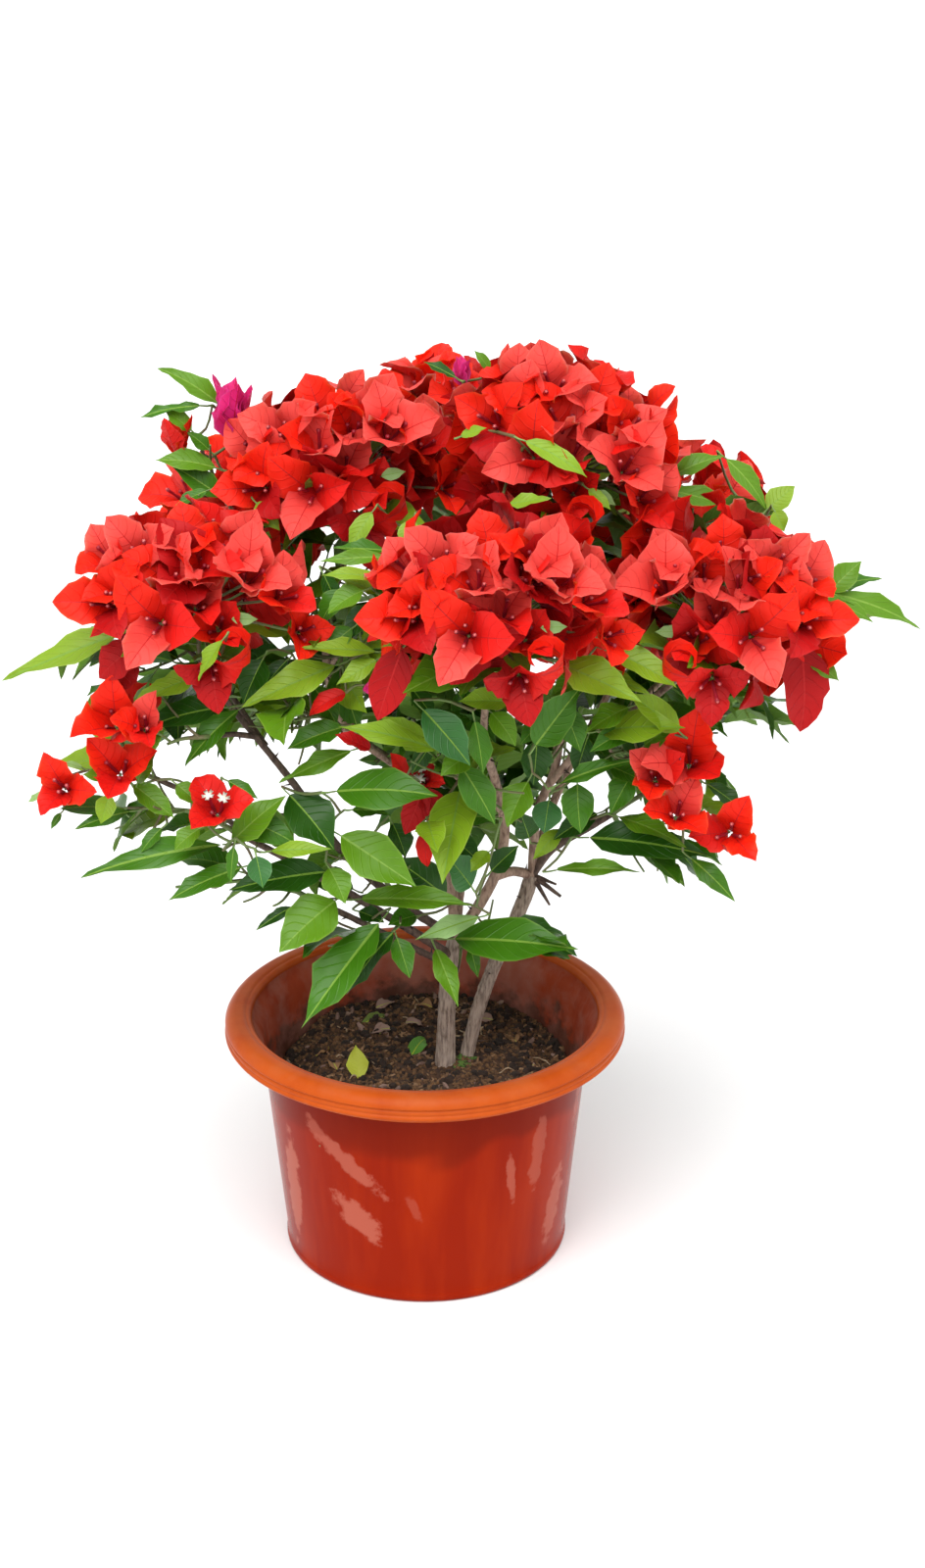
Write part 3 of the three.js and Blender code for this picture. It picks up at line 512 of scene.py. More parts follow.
# Leaves that stand out from the front: root, tip, width as a percentage of length, and tint.
SHOWN_LEAVES = [
    (-107, -70, 314, -72, -78, 300, 58, "M"), (-74, -62, 292, -103, -66, 321, 47, "F"),
    (103, -92, 421, 141, -104, 403, 44, "L"), (117, -80, 384, 92, -86, 370, 55, "F"),
    (146, -78, 368, 115, -84, 394, 45, "L"), (125, -72, 372, 95, -78, 356, 46, "M"),
    (-44, -56, 446, -57, -62, 425, 59, "M"), (-19, -50, 466, -49, -56, 469, 36, "M"),
    (-24, -66, 446, -45, -70, 456, 41, "L"), (-55, -50, 453, -47, -54, 434, 52, "D"),
    (-133, 20, 518, -149, 22, 530, 63, "F"), (-123, 18, 507, -136, 18, 518, 57, "M"),
    (-106, -50, 400, -89, -54, 384, 67, "M"), (40, -30, 262, 57, -34, 281, 58, "D"),
    (50, -84, 398, 63, -90, 380, 70, "F"), (72, -70, 375, 56, -74, 359, 61, "M"),
    (107, -56, 340, 130, -60, 330, 58, "M"), (94, -76, 401, 72, -82, 390, 57, "F"),
    (-164, -42, 418, -241, -44, 387, 23, "L"), (-103, -60, 376, -135, -70, 344, 34, "M"),
    (-124, -70, 399, -161, -80, 386, 38, "L"), (-113, -58, 376, -161, -70, 365, 40, "D"),
    (-47, -62, 403, -100, -84, 385, 35, "L"), (-107, -100, 430, -121, -104, 407, 39, "L"),
    (-89, -60, 406, -100, -72, 383, 71, "D"), (-76, -50, 402, -89, -56, 387, 53, "D"),
    (-24, -70, 413, -68, -80, 418, 29, "L"), (-24, -74, 410, -47, -84, 398, 47, "L"),
    (11, -86, 360, -46, -96, 378, 24, "L"), (-44, -66, 367, -76, -76, 357, 51, "M"),
    (-39, -60, 351, -82, -70, 334, 26, "F"), (-50, -72, 330, 10, -92, 335, 44, "M"),
    (-41, -60, 314, -18, -66, 313, 48, "M"), (-48, -66, 301, -3, -84, 276, 54, "F"),
    (-38, -52, 254, 30, -70, 258, 26, "F"), (-54, -70, 282, -44, -84, 265, 75, "F"),
    (-55, -62, 276, -112, -78, 271, 40, "D"), (-50, -66, 260, -83, -88, 236, 67, "F"),
    (-76, -60, 253, -98, -66, 240, 28, "D"), (-25, -52, 240, -71, -92, 189, 38, "M"),
    (-17, -46, 231, -46, -62, 196, 40, "D"), (-16, -46, 227, -8, -58, 205, 58, "M"),
    (-39, -40, 241, -23, -46, 236, 67, "D"), (7, -34, 214, 21, -60, 187, 36, "F"),
    (28, -20, 209, 33, -28, 191, 42, "M"), (17, -32, 219, 92, -62, 226, 38, "M"),
    (34, -44, 239, -5, -60, 231, 30, "P"), (29, -60, 265, 14, -66, 288, 86, "B"),
    (39, -60, 288, 28, -70, 279, 64, "L"), (14, -40, 250, -18, -50, 280, 55, "D"),
    (-4, -40, 238, -21, -50, 236, 75, "M"), (-113, -76, 299, -196, -86, 282, 20, "M"),
    (-103, -76, 285, -146, -86, 268, 33, "M"), (-94, -90, 298, -90, -98, 281, 80, "B"),
    (-106, -92, 305, -108, -98, 284, 35, "M"), (-109, -84, 303, -77, -76, 329, 48, "F"),
    (-77, -60, 324, -50, -76, 295, 69, "D"), (-87, -84, 298, -51, -90, 302, 28, "L"),
    (-125, -90, 315, -140, -96, 303, 67, "F"), (-148, -80, 311, -160, -86, 298, 48, "M"),
    (-164, -78, 337, -140, -86, 319, 51, "F"), (-139, -80, 338, -125, -86, 327, 67, "F"),
    (-129, -70, 332, -118, -70, 336, 50, "M"), (-111, -70, 336, -93, -76, 327, 43, "M"),
    (-176, -86, 334, -181, -92, 318, 70, "L"), (-166, -72, 318, -199, -76, 308, 29, "M"),
    (-206, -74, 318, -212, -78, 309, 39, "M"), (-213, -72, 330, -225, -74, 324, 41, "P"),
    (-161, -80, 338, -148, -84, 360, 52, "F"), (-176, -80, 341, -191, -84, 345, 63, "F"),
    (-192, -74, 345, -204, -76, 349, 34, "P"), (97, -34, 286, 167, -52, 282, 35, "D"),
    (78, -30, 263, 130, -40, 266, 20, "F"), (114, -40, 302, 154, -60, 290, 32, "F"),
    (156, -60, 284, 182, -72, 261, 34, "M"), (164, -60, 330, 185, -66, 315, 48, "D"),
    (158, -60, 389, 190, -70, 388, 37, "M"), (152, -60, 382, 168, -70, 369, 54, "M"),
    (73, -96, 416, 121, -116, 399, 44, "L"), (100, -70, 366, 148, -90, 375, 44, "L"),
    (93, -86, 404, 127, -96, 397, 36, "L"), (64, -80, 360, 90, -86, 399, 48, "M"),
    (50, -92, 391, 21, -100, 394, 54, "L"), (1, -100, 390, 28, -108, 359, 54, "B"),
    (30, -96, 382, 35, -104, 352, 48, "M"), (39, -88, 384, 53, -96, 366, 65, "F"),
    (29, -84, 357, 11, -92, 347, 76, "F"), (22, -76, 348, 42, -86, 315, 50, "M"),
    (61, -70, 336, 49, -80, 311, 68, "F"), (66, -60, 357, 64, -66, 331, 76, "D"),
    (42, -60, 309, 14, -66, 311, 43, "M"), (74, -44, 314, 71, -50, 295, 95, "B"),
    (63, -36, 286, 57, -40, 305, 82, "D"), (82, -30, 290, 65, -40, 274, 45, "L"),
    (78, -66, 332, 125, -70, 349, 20, "M"), (90, -50, 327, 92, -60, 299, 69, "M"),
    (95, -60, 359, 88, -66, 337, 62, "D"), (122, -50, 333, 109, -58, 310, 61, "M"),
    (126, -66, 355, 145, -72, 371, 67, "F"), (80, -78, 383, 90, -84, 358, 65, "M"),
    (118, -56, 367, 126, -62, 344, 65, "D"), (216, -60, 408, 236, -66, 394, 49, "F"),
    (235, -12, 430, 255, -4, 447, 63, "F"), (235, -14, 431, 292, -6, 406, 23, "F"),
    (237, -20, 426, 261, -22, 415, 43, "F"), (238, 4, 428, 270, 8, 433, 32, "M"),
    (144, 22, 490, 177, 30, 501, 38, "F"), (177, 30, 500, 202, 24, 470, 38, "F"),
    (136, 14, 486, 183, 22, 472, 29, "F"), (202, 24, 470, 219, 30, 483, 72, "L"),
    (206, 20, 471, 212, 16, 459, 79, "L"), (-116, 26, 531, -153, 28, 553, 32, "F"),
    (-127, 24, 532, -164, 22, 525, 20, "M"), (-119, 16, 497, -155, 14, 502, 41, "F"),
    (-115, 12, 480, -146, 14, 500, 43, "M"), (-123, 0, 488, -142, -4, 480, 42, "M"),
    (20, 0, 553, 1, 2, 562, 37, "D"), (39, 6, 556, 30, 8, 567, 49, "F"),
    (51, 8, 556, 51, 10, 564, 32, "M"), (-94, -20, 486, -80, -30, 472, 62, "L"),
    (-27, -36, 485, -41, -44, 464, 46, "L"), (-4, -50, 484, -9, -58, 468, 69, "L"),
    (22, -30, 526, 37, -34, 532, 47, "L"), (57, -52, 529, 92, -60, 510, 32, "L"),
    (48, -64, 496, 72, -70, 501, 39, "L"), (93, -44, 500, 106, -50, 489, 41, "L"),
    (-18, -60, 465, -56, -66, 464, 26, "F"), (-20, -70, 455, -55, -76, 459, 27, "L"),
    (-31, -74, 450, -51, -80, 438, 67, "F"), (-27, -60, 437, -42, -66, 418, 65, "D"),
    (2, -108, 439, -21, -110, 428, 49, "L"), (-38, -66, 426, -52, -70, 414, 68, "M"),
    (-62, -50, 386, -48, -60, 365, 61, "M"), (-6, -60, 389, 8, -66, 371, 56, "D"),
    (5, -56, 352, -6, -60, 336, 55, "D"), (-18, -40, 298, -10, -46, 278, 78, "D"),
    (14, -36, 290, 34, -44, 274, 64, "D"), (104, -30, 300, 77, -36, 285, 49, "D"),
]

# Single bracts that stand out: root, tip, width as a percentage of length, and tint.
SHOWN_BRACTS = [
    (-9, -112, 429, -23, -115, 388, 51, "D"), (-160, -66, 415, -181, -69, 397, 80, "D"),
    (-166, -64, 409, -170, -67, 388, 86, "D"), (213, -64, 416, 215, -67, 364, 56, "D"),
    (222, -60, 412, 223, -63, 425, 63, "R"), (218, -52, 453, 216, -55, 475, 37, "S"),
    (-169, -50, 457, -175, -53, 482, 42, "S"), (-13, -90, 434, -29, -93, 426, 47, "R"),
    (-166, -60, 429, -186, -63, 419, 39, "R"), (49, -104, 424, 37, -107, 402, 63, "D"),
    (141, -74, 416, 149, -77, 397, 73, "D"), (-42, -70, 389, -63, -73, 376, 49, "R"),
    (-28, -84, 360, -48, -87, 370, 45, "D"), (-9, -60, 335, -18, -63, 350, 56, "R"),
    (1, -56, 327, -10, -59, 298, 50, "D"), (0, -54, 325, 14, -57, 298, 55, "D"),
    (2, -50, 297, 3, -53, 275, 48, "R"), (-31, -84, 398, -24, -87, 394, 108, "M"),
    (46, 2, 554, 49, -1, 573, 40, "C"), (86, 4, 548, 92, 1, 564, 66, "R"),
    (130, 0, 536, 144, -3, 549, 75, "S"), (128, 0, 534, 131, -3, 516, 75, "S"),
    (134, 2, 505, 146, -1, 514, 56, "S"), (-45, 18, 536, -33, 15, 555, 73, "C"),
    (-26, 18, 530, -22, 15, 546, 98, "C"), (0, 14, 525, 1, 11, 542, 113, "C"),
    (118, 6, 527, 117, 3, 549, 76, "C"),
]


class Pose(Enum):
    """How a bloom is held, and how far it opens in degrees: flat, on its tubes, starred, in bud or a cup."""

    OPEN = 64
    TUBES = 50
    STAR = 72
    BUD = 16
    CUP = 15


# Blooms that stand out: centre, angle of the first bract, size, the three bracts' tints, and pose.
SHOWN_BLOOMS = [
    (-172, -70, 368, 95, 0.86, "SSR", Pose.TUBES),
    (-154, -84, 371, 60, 0.66, "CSR", Pose.TUBES),
    (-170, -80, 343, 25, 0.78, "SSR", Pose.TUBES),
    (-203, -72, 331, 115, 0.7, "SRS", Pose.OPEN),
    (-115, -92, 323, 0, 0.68, "RRR", Pose.STAR),
    (1, -50, 326, 90, 0.4, "DDR", Pose.STAR),
    (153, -66, 343, 80, 0.95, "SCR", Pose.TUBES),
    (133, -74, 337, 140, 0.66, "CSR", Pose.TUBES),
    (145, -78, 316, 70, 0.72, "CSS", Pose.TUBES),
    (178, -66, 302, 65, 0.74, "SRS", Pose.OPEN),
    (-110, 10, 514, 85, 0.95, "MMM", Pose.BUD),
    (-109, 13, 513, 25, 0.84, "MMM", Pose.CUP),
    (-141, 20, 503, 100, 0.68, "SRS", Pose.CUP),
    (23, 3, 547, 90, 0.45, "MMM", Pose.BUD),
]

# The blooms on the front of a head: across and up from its centre, angle of the first bract, size,
# tints, pose, and how far the bloom looks up.
HEAD_FRONT = [
    (-15, -13, -122, 0.94, "CRS", Pose.OPEN, 0.0),
    (-27, 22, 142, 0.78, "CSC", Pose.OPEN, 0.1),
    (-8, 8, 160, 0.84, "SCC", Pose.TUBES, 0.5),
    (32, 9, 90, 0.92, "CCC", Pose.TUBES, 0.4),
    (24, 23, 60, 0.78, "CSC", Pose.TUBES, 0.35),
    (4, -6, 170, 0.76, "CRC", Pose.TUBES, 0.5),
    (60, -18, 10, 0.64, "SSS", Pose.TUBES, 0.1),
    (-42, -6, 180, 0.84, "SDS", Pose.OPEN, 0.1),
    (15, -18, 60, 0.66, "RSR", Pose.TUBES, 0.25),
    (9, -36, -90, 0.72, "DRD", Pose.OPEN, -0.35),
    (-34, 6, 215, 0.78, "SRC", Pose.TUBES, 0.3),
    (0, 28, 95, 0.72, "SCS", Pose.TUBES, 0.35),
    (49, 3, 330, 0.78, "RCS", Pose.TUBES, 0.3),
    (-44, 17, 120, 0.7, "CSR", Pose.TUBES, 0.3),
    (12, 15, 250, 0.74, "CRS", Pose.TUBES, 0.3),
]

# Where a curled bract and a small pale leaf stand on a head's front: across, up, and forward by share
# of the head's depth.
LOOP_PLACE = (20, -37, 0.76)
HEART_PLACE = (31, -11, 0.5)

# How far off the bloom's axis its bracts start, in degrees, and their width by share of length: from
# and to. Other poses take the last of each.
BRACT_STARTS = {Pose.CUP: 27, Pose.BUD: 10}
OTHER_START = 30
BRACT_WIDTHS = {Pose.CUP: (0.56, 0.68), Pose.BUD: (0.56, 0.68), Pose.OPEN: (0.68, 0.8)}
OTHER_WIDTHS = (0.76, 0.92)

# How each front head's pattern is turned, and whether it is mirrored.
FRONT_HEADS = {
    "top_right_flowers": (-32, 1),
    "top_left_flowers": (12, 1),
    "left_flowers": (0, 1),
    "middle_flowers": (3, 1),
    "right_flowers": (0, -1),
}
LOW_HEADS = ("low_left_flowers", "low_right_flowers")
CENTRE_SPRAYS = (
    "centre_leaves",
    "inner_right_leaves",
    "right_centre_leaves",
    "left_centre_leaves",
    "upper_centre_leaves",
)
BACK_SPRAYS = ("inner_leaves", "back_left_leaves", "back_right_leaves", "back_low_leaves")

# Boughs behind that carry leaves along their own length: the limb, and the stretch of it by share of length.
LEAFY_BOUGHS = [
    ("back_bough", 0.3, 0.97),
    ("back_left_bough", 0.25, 0.97),
    ("back_right_bough", 0.3, 0.97),
    ("upper_left_bough", 0.2, 0.9),
    ("upper_right_bough", 0.2, 0.9),
    ("top_left_bough", 0.62, 0.95),
    ("top_right_bough", 0.6, 0.95),
    ("far_left_bough", 0.3, 0.9),
    ("far_right_bough", 0.3, 0.9),
]

# Boughs that stay in view from the front: the limb, and the stretch of it by share of length.
SHOWN_BOUGHS = [
    ("trunk", 0.0, 1.0),
    ("second_stem", 0.0, 1.0),
    ("middle_bough", 0.0, 0.62),
    ("cross_bough", 0.0, 1.0),
    ("top_right_bough", 0.0, 0.55),
    ("low_right_bough", 0.0, 0.8),
    ("left_bough", 0.25, 0.9),
    ("low_left_bough", 0.3, 0.8),
]
# Boughs that lie in the crown's shade; their bark is darker, a painted shade.
SHADED_BOUGHS = (
    "left_bough",
    "low_left_bough",
    "side_left_bough",
    "far_left_bough",
    "foot_left_bough",
    "mid_left_bough",
    "under_left_bough",
    "low_right_bough",
)


# ---- node helpers and shader groups -------------------------------------------------------------------


class Wiring:
    """Adds nodes to a tree and joins them up."""

    def __init__(self, tree: bpy.types.NodeTree) -> None:
        """Take the tree to work in."""
        self.tree = tree

    def add(self, kind: str, inputs: dict[Any, Any] | None = None, **settings: Any) -> bpy.types.Node:
        """Add a node with its settings, values and links.

        Args:
            kind: The node's type.
            inputs: A socket to link, or a value to set, for each input by name or number.
            **settings: The node's own properties.

        Returns:
            The new node.
        """
        node = self.tree.nodes.new(kind)
        for key, value in settings.items():
            setattr(node, key, value)
        for key, value in (inputs or {}).items():
            if isinstance(value, bpy.types.NodeSocket):
                self.tree.links.new(value, node.inputs[key])
            else:
                node.inputs[key].default_value = value
        return node

    def math(self, operation: str, a: Any, b: Any = 0.0, clamp: bool = False) -> bpy.types.NodeSocket:
        """Add a sum on two numbers and give its result."""
        return self.add("ShaderNodeMath", {0: a, 1: b}, operation=operation, use_clamp=clamp).outputs[0]

    def ramp(self, value: Any, low: float, high: float) -> bpy.types.NodeSocket:
        """Spread a value smoothly from 0 at one limit to 1 at the other."""
        made = self.add("ShaderNodeMapRange", {0: value, 1: low, 2: high}, interpolation_type="SMOOTHSTEP")
        return made.outputs[0]

    def mix(self, share: Any, a: Any, b: Any) -> bpy.types.NodeSocket:
        """Mix two colours and give the result."""
        made = self.add("ShaderNodeMix", {0: share, 6: a, 7: b}, data_type="RGBA")
        return made.outputs[2]

    def noise(
        self, vector: Any, scale: Any, detail: float = 3.0, rough: float = 0.55
    ) -> bpy.types.NodeSocket:
        """Add a cloud of noise and give its strength."""
        values = {"Vector": vector, "Scale": scale, "Detail": detail, "Roughness": rough}
        return self.add("ShaderNodeTexNoise", values).outputs[0]


def rgba(colour: Rgb) -> tuple[float, float, float, float]:
    """Give a colour its full opacity."""
    return (*colour, 1.0)


def new_group(
    name: str, kind: str, inputs: Sequence[tuple[str, str, Any]], outputs: Sequence[tuple[str, str]]
) -> Wiring:
    """Start a node group with named sockets.

    Args:
        name: The group's name.
        kind: The tree's type.
        inputs: Name, socket type and default of each input.
        outputs: Name and socket type of each output.

    Returns:
        The wiring of the new group, with its sockets declared.
    """
    tree = bpy.data.node_groups.new(name, kind)
    for label, socket, value in inputs:
        made = tree.interface.new_socket(label, in_out="INPUT", socket_type=socket)
        if value is not None:
            made.default_value = value
    for label, socket in outputs:
        tree.interface.new_socket(label, in_out="OUTPUT", socket_type=socket)
    return Wiring(tree)


class Effects:
    """The effects that several materials share, each one node group."""

    def __init__(self) -> None:
        """Build each group once."""
        self.mottle = self._mottle()
        self.veins = self._veins()
        self.dust = self._dust()
        self.rub = self._rub()

    def _mottle(self) -> bpy.types.NodeTree:
        """Build soft patches of a second colour, with a height to match."""
        w = new_group(
            "soft_patches",
            "ShaderNodeTree",
            [
                ("Base", "NodeSocketColor", rgba((0.5, 0.5, 0.5))),
                ("Patch", "NodeSocketColor", rgba((0.2, 0.2, 0.2))),
                ("Scale", "NodeSocketFloat", 40.0),
                ("Low", "NodeSocketFloat", 0.4),
                ("High", "NodeSocketFloat", 0.7),
                ("Stretch", "NodeSocketFloat", 1.0),
            ],
            [("Color", "NodeSocketColor"), ("Height", "NodeSocketFloat")],
        )
        i = w.add("NodeGroupInput").outputs
        place = w.add("ShaderNodeTexCoord").outputs["Object"]
        parts = w.add("ShaderNodeSeparateXYZ", {0: place}).outputs
        tall = w.math("MULTIPLY", parts[2], i["Stretch"])
        spot = w.add("ShaderNodeCombineXYZ", {0: parts[0], 1: parts[1], 2: tall}).outputs[0]
        cloud = w.noise(spot, i["Scale"], 4.0, 0.6)
        mask = w.add("ShaderNodeMapRange", {0: cloud, 1: i["Low"], 2: i["High"]}).outputs[0]
        colour = w.mix(mask, i["Base"], i["Patch"])
        w.add("NodeGroupOutput", {0: colour, 1: cloud})
        return w.tree

    def _veins(self) -> bpy.types.NodeTree:
        """Build side veins that leave a blade's midrib, a thin edge and a painted shade at its root, from its
        own UV map.
        """
        w = new_group(
            "blade_veins",
            "ShaderNodeTree",
            [
                ("Blade", "NodeSocketColor", rgba((0.1, 0.3, 0.05))),
                ("Vein", "NodeSocketColor", rgba((0.2, 0.4, 0.1))),
                ("Edge", "NodeSocketColor", rgba((0.2, 0.4, 0.1))),
                ("Count", "NodeSocketFloat", 7.0),
                ("Amount", "NodeSocketFloat", 0.4),
                ("Edge Amount", "NodeSocketFloat", 0.4),
                ("Throat", "NodeSocketColor", rgba((0.1, 0.3, 0.05))),
                ("Throat Amount", "NodeSocketFloat", 0.0),
            ],
            [("Color", "NodeSocketColor"), ("Height", "NodeSocketFloat")],
        )
        i = w.add("NodeGroupInput").outputs
        uv = w.add("ShaderNodeTexCoord").outputs["UV"]
        parts = w.add("ShaderNodeSeparateXYZ", {0: uv}).outputs
        out = w.math("ABSOLUTE", w.math("MULTIPLY", w.math("SUBTRACT", parts[0], 0.5), 2.0))
        slope = w.math("MULTIPLY", w.math("POWER", out, 1.25), 0.26)
        ladder = w.math("MULTIPLY", w.math("SUBTRACT", parts[1], slope), i["Count"])
        near = w.math("ABSOLUTE", w.math("SUBTRACT", w.math("FRACT", ladder), 0.5))
        line = w.ramp(near, 0.40, 0.5)
        fade = w.math("SUBTRACT", 1.0, w.ramp(out, 0.72, 1.0))
        vein = w.math("MULTIPLY", line, fade)
        # Painted shade: the blade darkens towards its root, where a cupped bract shades its own throat.
        deep = w.math("MULTIPLY", w.math("SUBTRACT", 1.0, w.ramp(parts[1], 0.06, 0.74)), i["Throat Amount"])
        blade = w.mix(deep, i["Blade"], i["Throat"])
        colour = w.mix(w.math("MULTIPLY", vein, i["Amount"]), blade, i["Vein"])
        edge = w.math("MULTIPLY", w.ramp(out, 0.90, 0.99), i["Edge Amount"])
        w.add("NodeGroupOutput", {0: w.mix(edge, colour, i["Edge"]), 1: vein})
        return w.tree

    def _dust(self) -> bpy.types.NodeTree:
        """Build dust that lies on upward faces and in patches."""
        w = new_group(
            "settled_dust",
            "ShaderNodeTree",
            [
                ("Base", "NodeSocketColor", rgba((0.5, 0.5, 0.5))),
                ("Dust", "NodeSocketColor", rgba((0.6, 0.5, 0.4))),
                ("Amount", "NodeSocketFloat", 0.3),
                ("Scale", "NodeSocketFloat", 30.0),
                ("Everywhere", "NodeSocketFloat", 0.2),
            ],
            [("Color", "NodeSocketColor"), ("Mask", "NodeSocketFloat")],
        )
        i = w.add("NodeGroupInput").outputs
        place = w.add("ShaderNodeTexCoord").outputs["Object"]
        facing = w.add("ShaderNodeNewGeometry").outputs["Normal"]
        high = w.add("ShaderNodeSeparateXYZ", {0: facing}).outputs[2]
        lying = w.math("MAXIMUM", w.ramp(high, 0.1, 0.9), i["Everywhere"])
        cloud = w.ramp(w.noise(place, i["Scale"], 5.0, 0.62), 0.38, 0.68)
        mask = w.math("MULTIPLY", w.math("MULTIPLY", lying, cloud), i["Amount"], True)
        w.add("NodeGroupOutput", {0: w.mix(mask, i["Base"], i["Dust"]), 1: mask})
        return w.tree

    def _rub(self) -> bpy.types.NodeTree:
        """Build one long pale mark with a ragged edge, at its own place on the pot's side."""
        floats = ("Around", "Height", "Ragged", "Middle", "Level")
        floats += ("Half Length", "Half Width", "Lean", "Strength")
        w = new_group(
            "rubbed_mark",
            "ShaderNodeTree",
            [(name, "NodeSocketFloat", 0.1) for name in floats],
            [("Mask", "NodeSocketFloat")],
        )
        i = w.add("NodeGroupInput").outputs
        side = w.math("MULTIPLY", w.math("SUBTRACT", i["Around"], i["Middle"]), POT_SIDE)
        high = w.math("SUBTRACT", i["Height"], i["Level"])
        c, s = w.math("COSINE", i["Lean"]), w.math("SINE", i["Lean"])
        along = w.math("ADD", w.math("MULTIPLY", side, c), w.math("MULTIPLY", high, s))
        aside = w.math("SUBTRACT", w.math("MULTIPLY", high, c), w.math("MULTIPLY", side, s))
        u, v = w.math("DIVIDE", along, i["Half Length"]), w.math("DIVIDE", aside, i["Half Width"])
        far = w.math("SQRT", w.math("ADD", w.math("MULTIPLY", u, u), w.math("MULTIPLY", v, v)))
        edge = w.math("ADD", far, w.math("MULTIPLY", i["Ragged"], 2.4))
        inside = w.math("SUBTRACT", 1.0, w.ramp(edge, 0.72, 1.1))
        w.add("NodeGroupOutput", {0: w.math("MULTIPLY", inside, i["Strength"])})
        return w.tree


EFFECTS = Effects()


class Sheet:
    """One material being wired: its Principled shader and the group nodes that feed it."""

    def __init__(self, name: str, roughness: float, **plain: Any) -> None:
        """Start a material.

        Args:
            name: The material's name.
            roughness: Its roughness.
            **plain: Other uniform values, by the Principled socket's name with _ for spaces.
        """
        self.material = bpy.data.materials.new(name)
        self.material.use_nodes = True
        self.tree = self.material.node_tree
        self.wiring = Wiring(self.tree)
        self.shader = self.tree.nodes["Principled BSDF"]
        self.shader.inputs["Roughness"].default_value = roughness
        for key, value in plain.items():
            self.shader.inputs[key.replace("_", " ")].default_value = value

    def group(self, tree: bpy.types.NodeTree, values: dict[str, Any]) -> bpy.types.Node:
        """Place a shared effect with this material's own values."""
        return self.wiring.add("ShaderNodeGroup", values, node_tree=tree)

    def colour(self, source: Any) -> None:
        """Feed the base colour from a socket or a plain colour."""
        if isinstance(source, bpy.types.NodeSocket):
            self.tree.links.new(source, self.shader.inputs["Base Color"])
        else:
            self.shader.inputs["Base Color"].default_value = rgba(source)

    def relief(self, height: bpy.types.NodeSocket, depth: float, strength: float) -> None:
        """Feed the normal from a height, in metres of depth."""
        values = {"Height": height, "Distance": depth, "Strength": strength}
        bump = self.wiring.add("ShaderNodeBump", values)
        self.tree.links.new(bump.outputs[0], self.shader.inputs["Normal"])


@dataclass(frozen=True)
class BladeFinish:
    """The skin of a leaf or bract: its colour, its veins and edge, its gloss, and a painted shade at its
    root.
    """

    name: str
    blade: Rgb
    vein: Rgb
    edge: Rgb
    roughness: float
    veins: float = 8.0
    amount: float = 0.35
    edge_amount: float = 0.3
    glow: float = 0.0
    patch: float = 0.82
    # How much painted shade darkens the blade towards its root.
    throat: float = 0.0

    def material(self) -> bpy.types.Material:
        """Wire the finish as a material."""
        sheet = Sheet(self.name, self.roughness, Specular_IOR_Level=0.15 if self.glow else 0.26)
        if self.glow:
            sheet.shader.inputs["Subsurface Weight"].default_value = self.glow
            sheet.shader.inputs["Subsurface Radius"].default_value = (0.6, 0.25, 0.15)
            sheet.shader.inputs["Subsurface Scale"].default_value = 0.004
        veins = {
            "Blade": rgba(self.blade),
            "Vein": rgba(self.vein),
            "Edge": rgba(self.edge),
            "Count": self.veins,
            "Amount": self.amount,
            "Edge Amount": self.edge_amount,
            "Throat": rgba(self.vein),
            "Throat Amount": self.throat,
        }
        blade = sheet.group(EFFECTS.veins, veins)
        dark = tuple(c * self.patch for c in self.blade)
        patches = {"Base": blade.outputs[0], "Patch": rgba(dark), "Scale": 55.0, "Low": 0.52, "High": 0.78}
        skin = sheet.group(EFFECTS.mottle, patches)
        sheet.colour(skin.outputs[0])
        sheet.relief(blade.outputs[1], 0.0006, 0.5)
        return sheet.material


@dataclass(frozen=True)
class BarkFinish:
    """Bark: two tones in long patches, with dust on top."""

    name: str
    base: Rgb
    patch: Rgb
    dust: Rgb
    roughness: float = 0.85
    scale: float = 160.0
    stretch: float = 0.22
    amount: float = 0.4

    def material(self) -> bpy.types.Material:
        """Wire the finish as a material."""
        sheet = Sheet(self.name, self.roughness)
        patches = {
            "Base": rgba(self.base),
            "Patch": rgba(self.patch),
            "Scale": self.scale,
            "Low": 0.42,
            "High": 0.66,
            "Stretch": self.stretch,
        }
        grain = sheet.group(EFFECTS.mottle, patches)
        dust = {
            "Base": grain.outputs[0],
            "Dust": rgba(self.dust),
            "Amount": self.amount,
            "Scale": 90.0,
            "Everywhere": 0.6,
        }
        sheet.colour(sheet.group(EFFECTS.dust, dust).outputs[0])
        sheet.relief(grain.outputs[1], 0.0012, 0.7)
        return sheet.material


@dataclass(frozen=True)
class PlainFinish:
    """A small piece's finish: one colour with faint patches."""

    name: str
    base: Rgb
    patch: Rgb
    roughness: float = 0.6
    scale: float = 120.0

    def material(self) -> bpy.types.Material:
        """Wire the finish as a material."""
        sheet = Sheet(self.name, self.roughness)
        patches = {
            "Base": rgba(self.base),
            "Patch": rgba(self.patch),
            "Scale": self.scale,
            "Low": 0.4,
            "High": 0.65,
        }
        grain = sheet.group(EFFECTS.mottle, patches)
        sheet.colour(grain.outputs[0])
        sheet.relief(grain.outputs[1], 0.0008, 0.5)
        return sheet.material


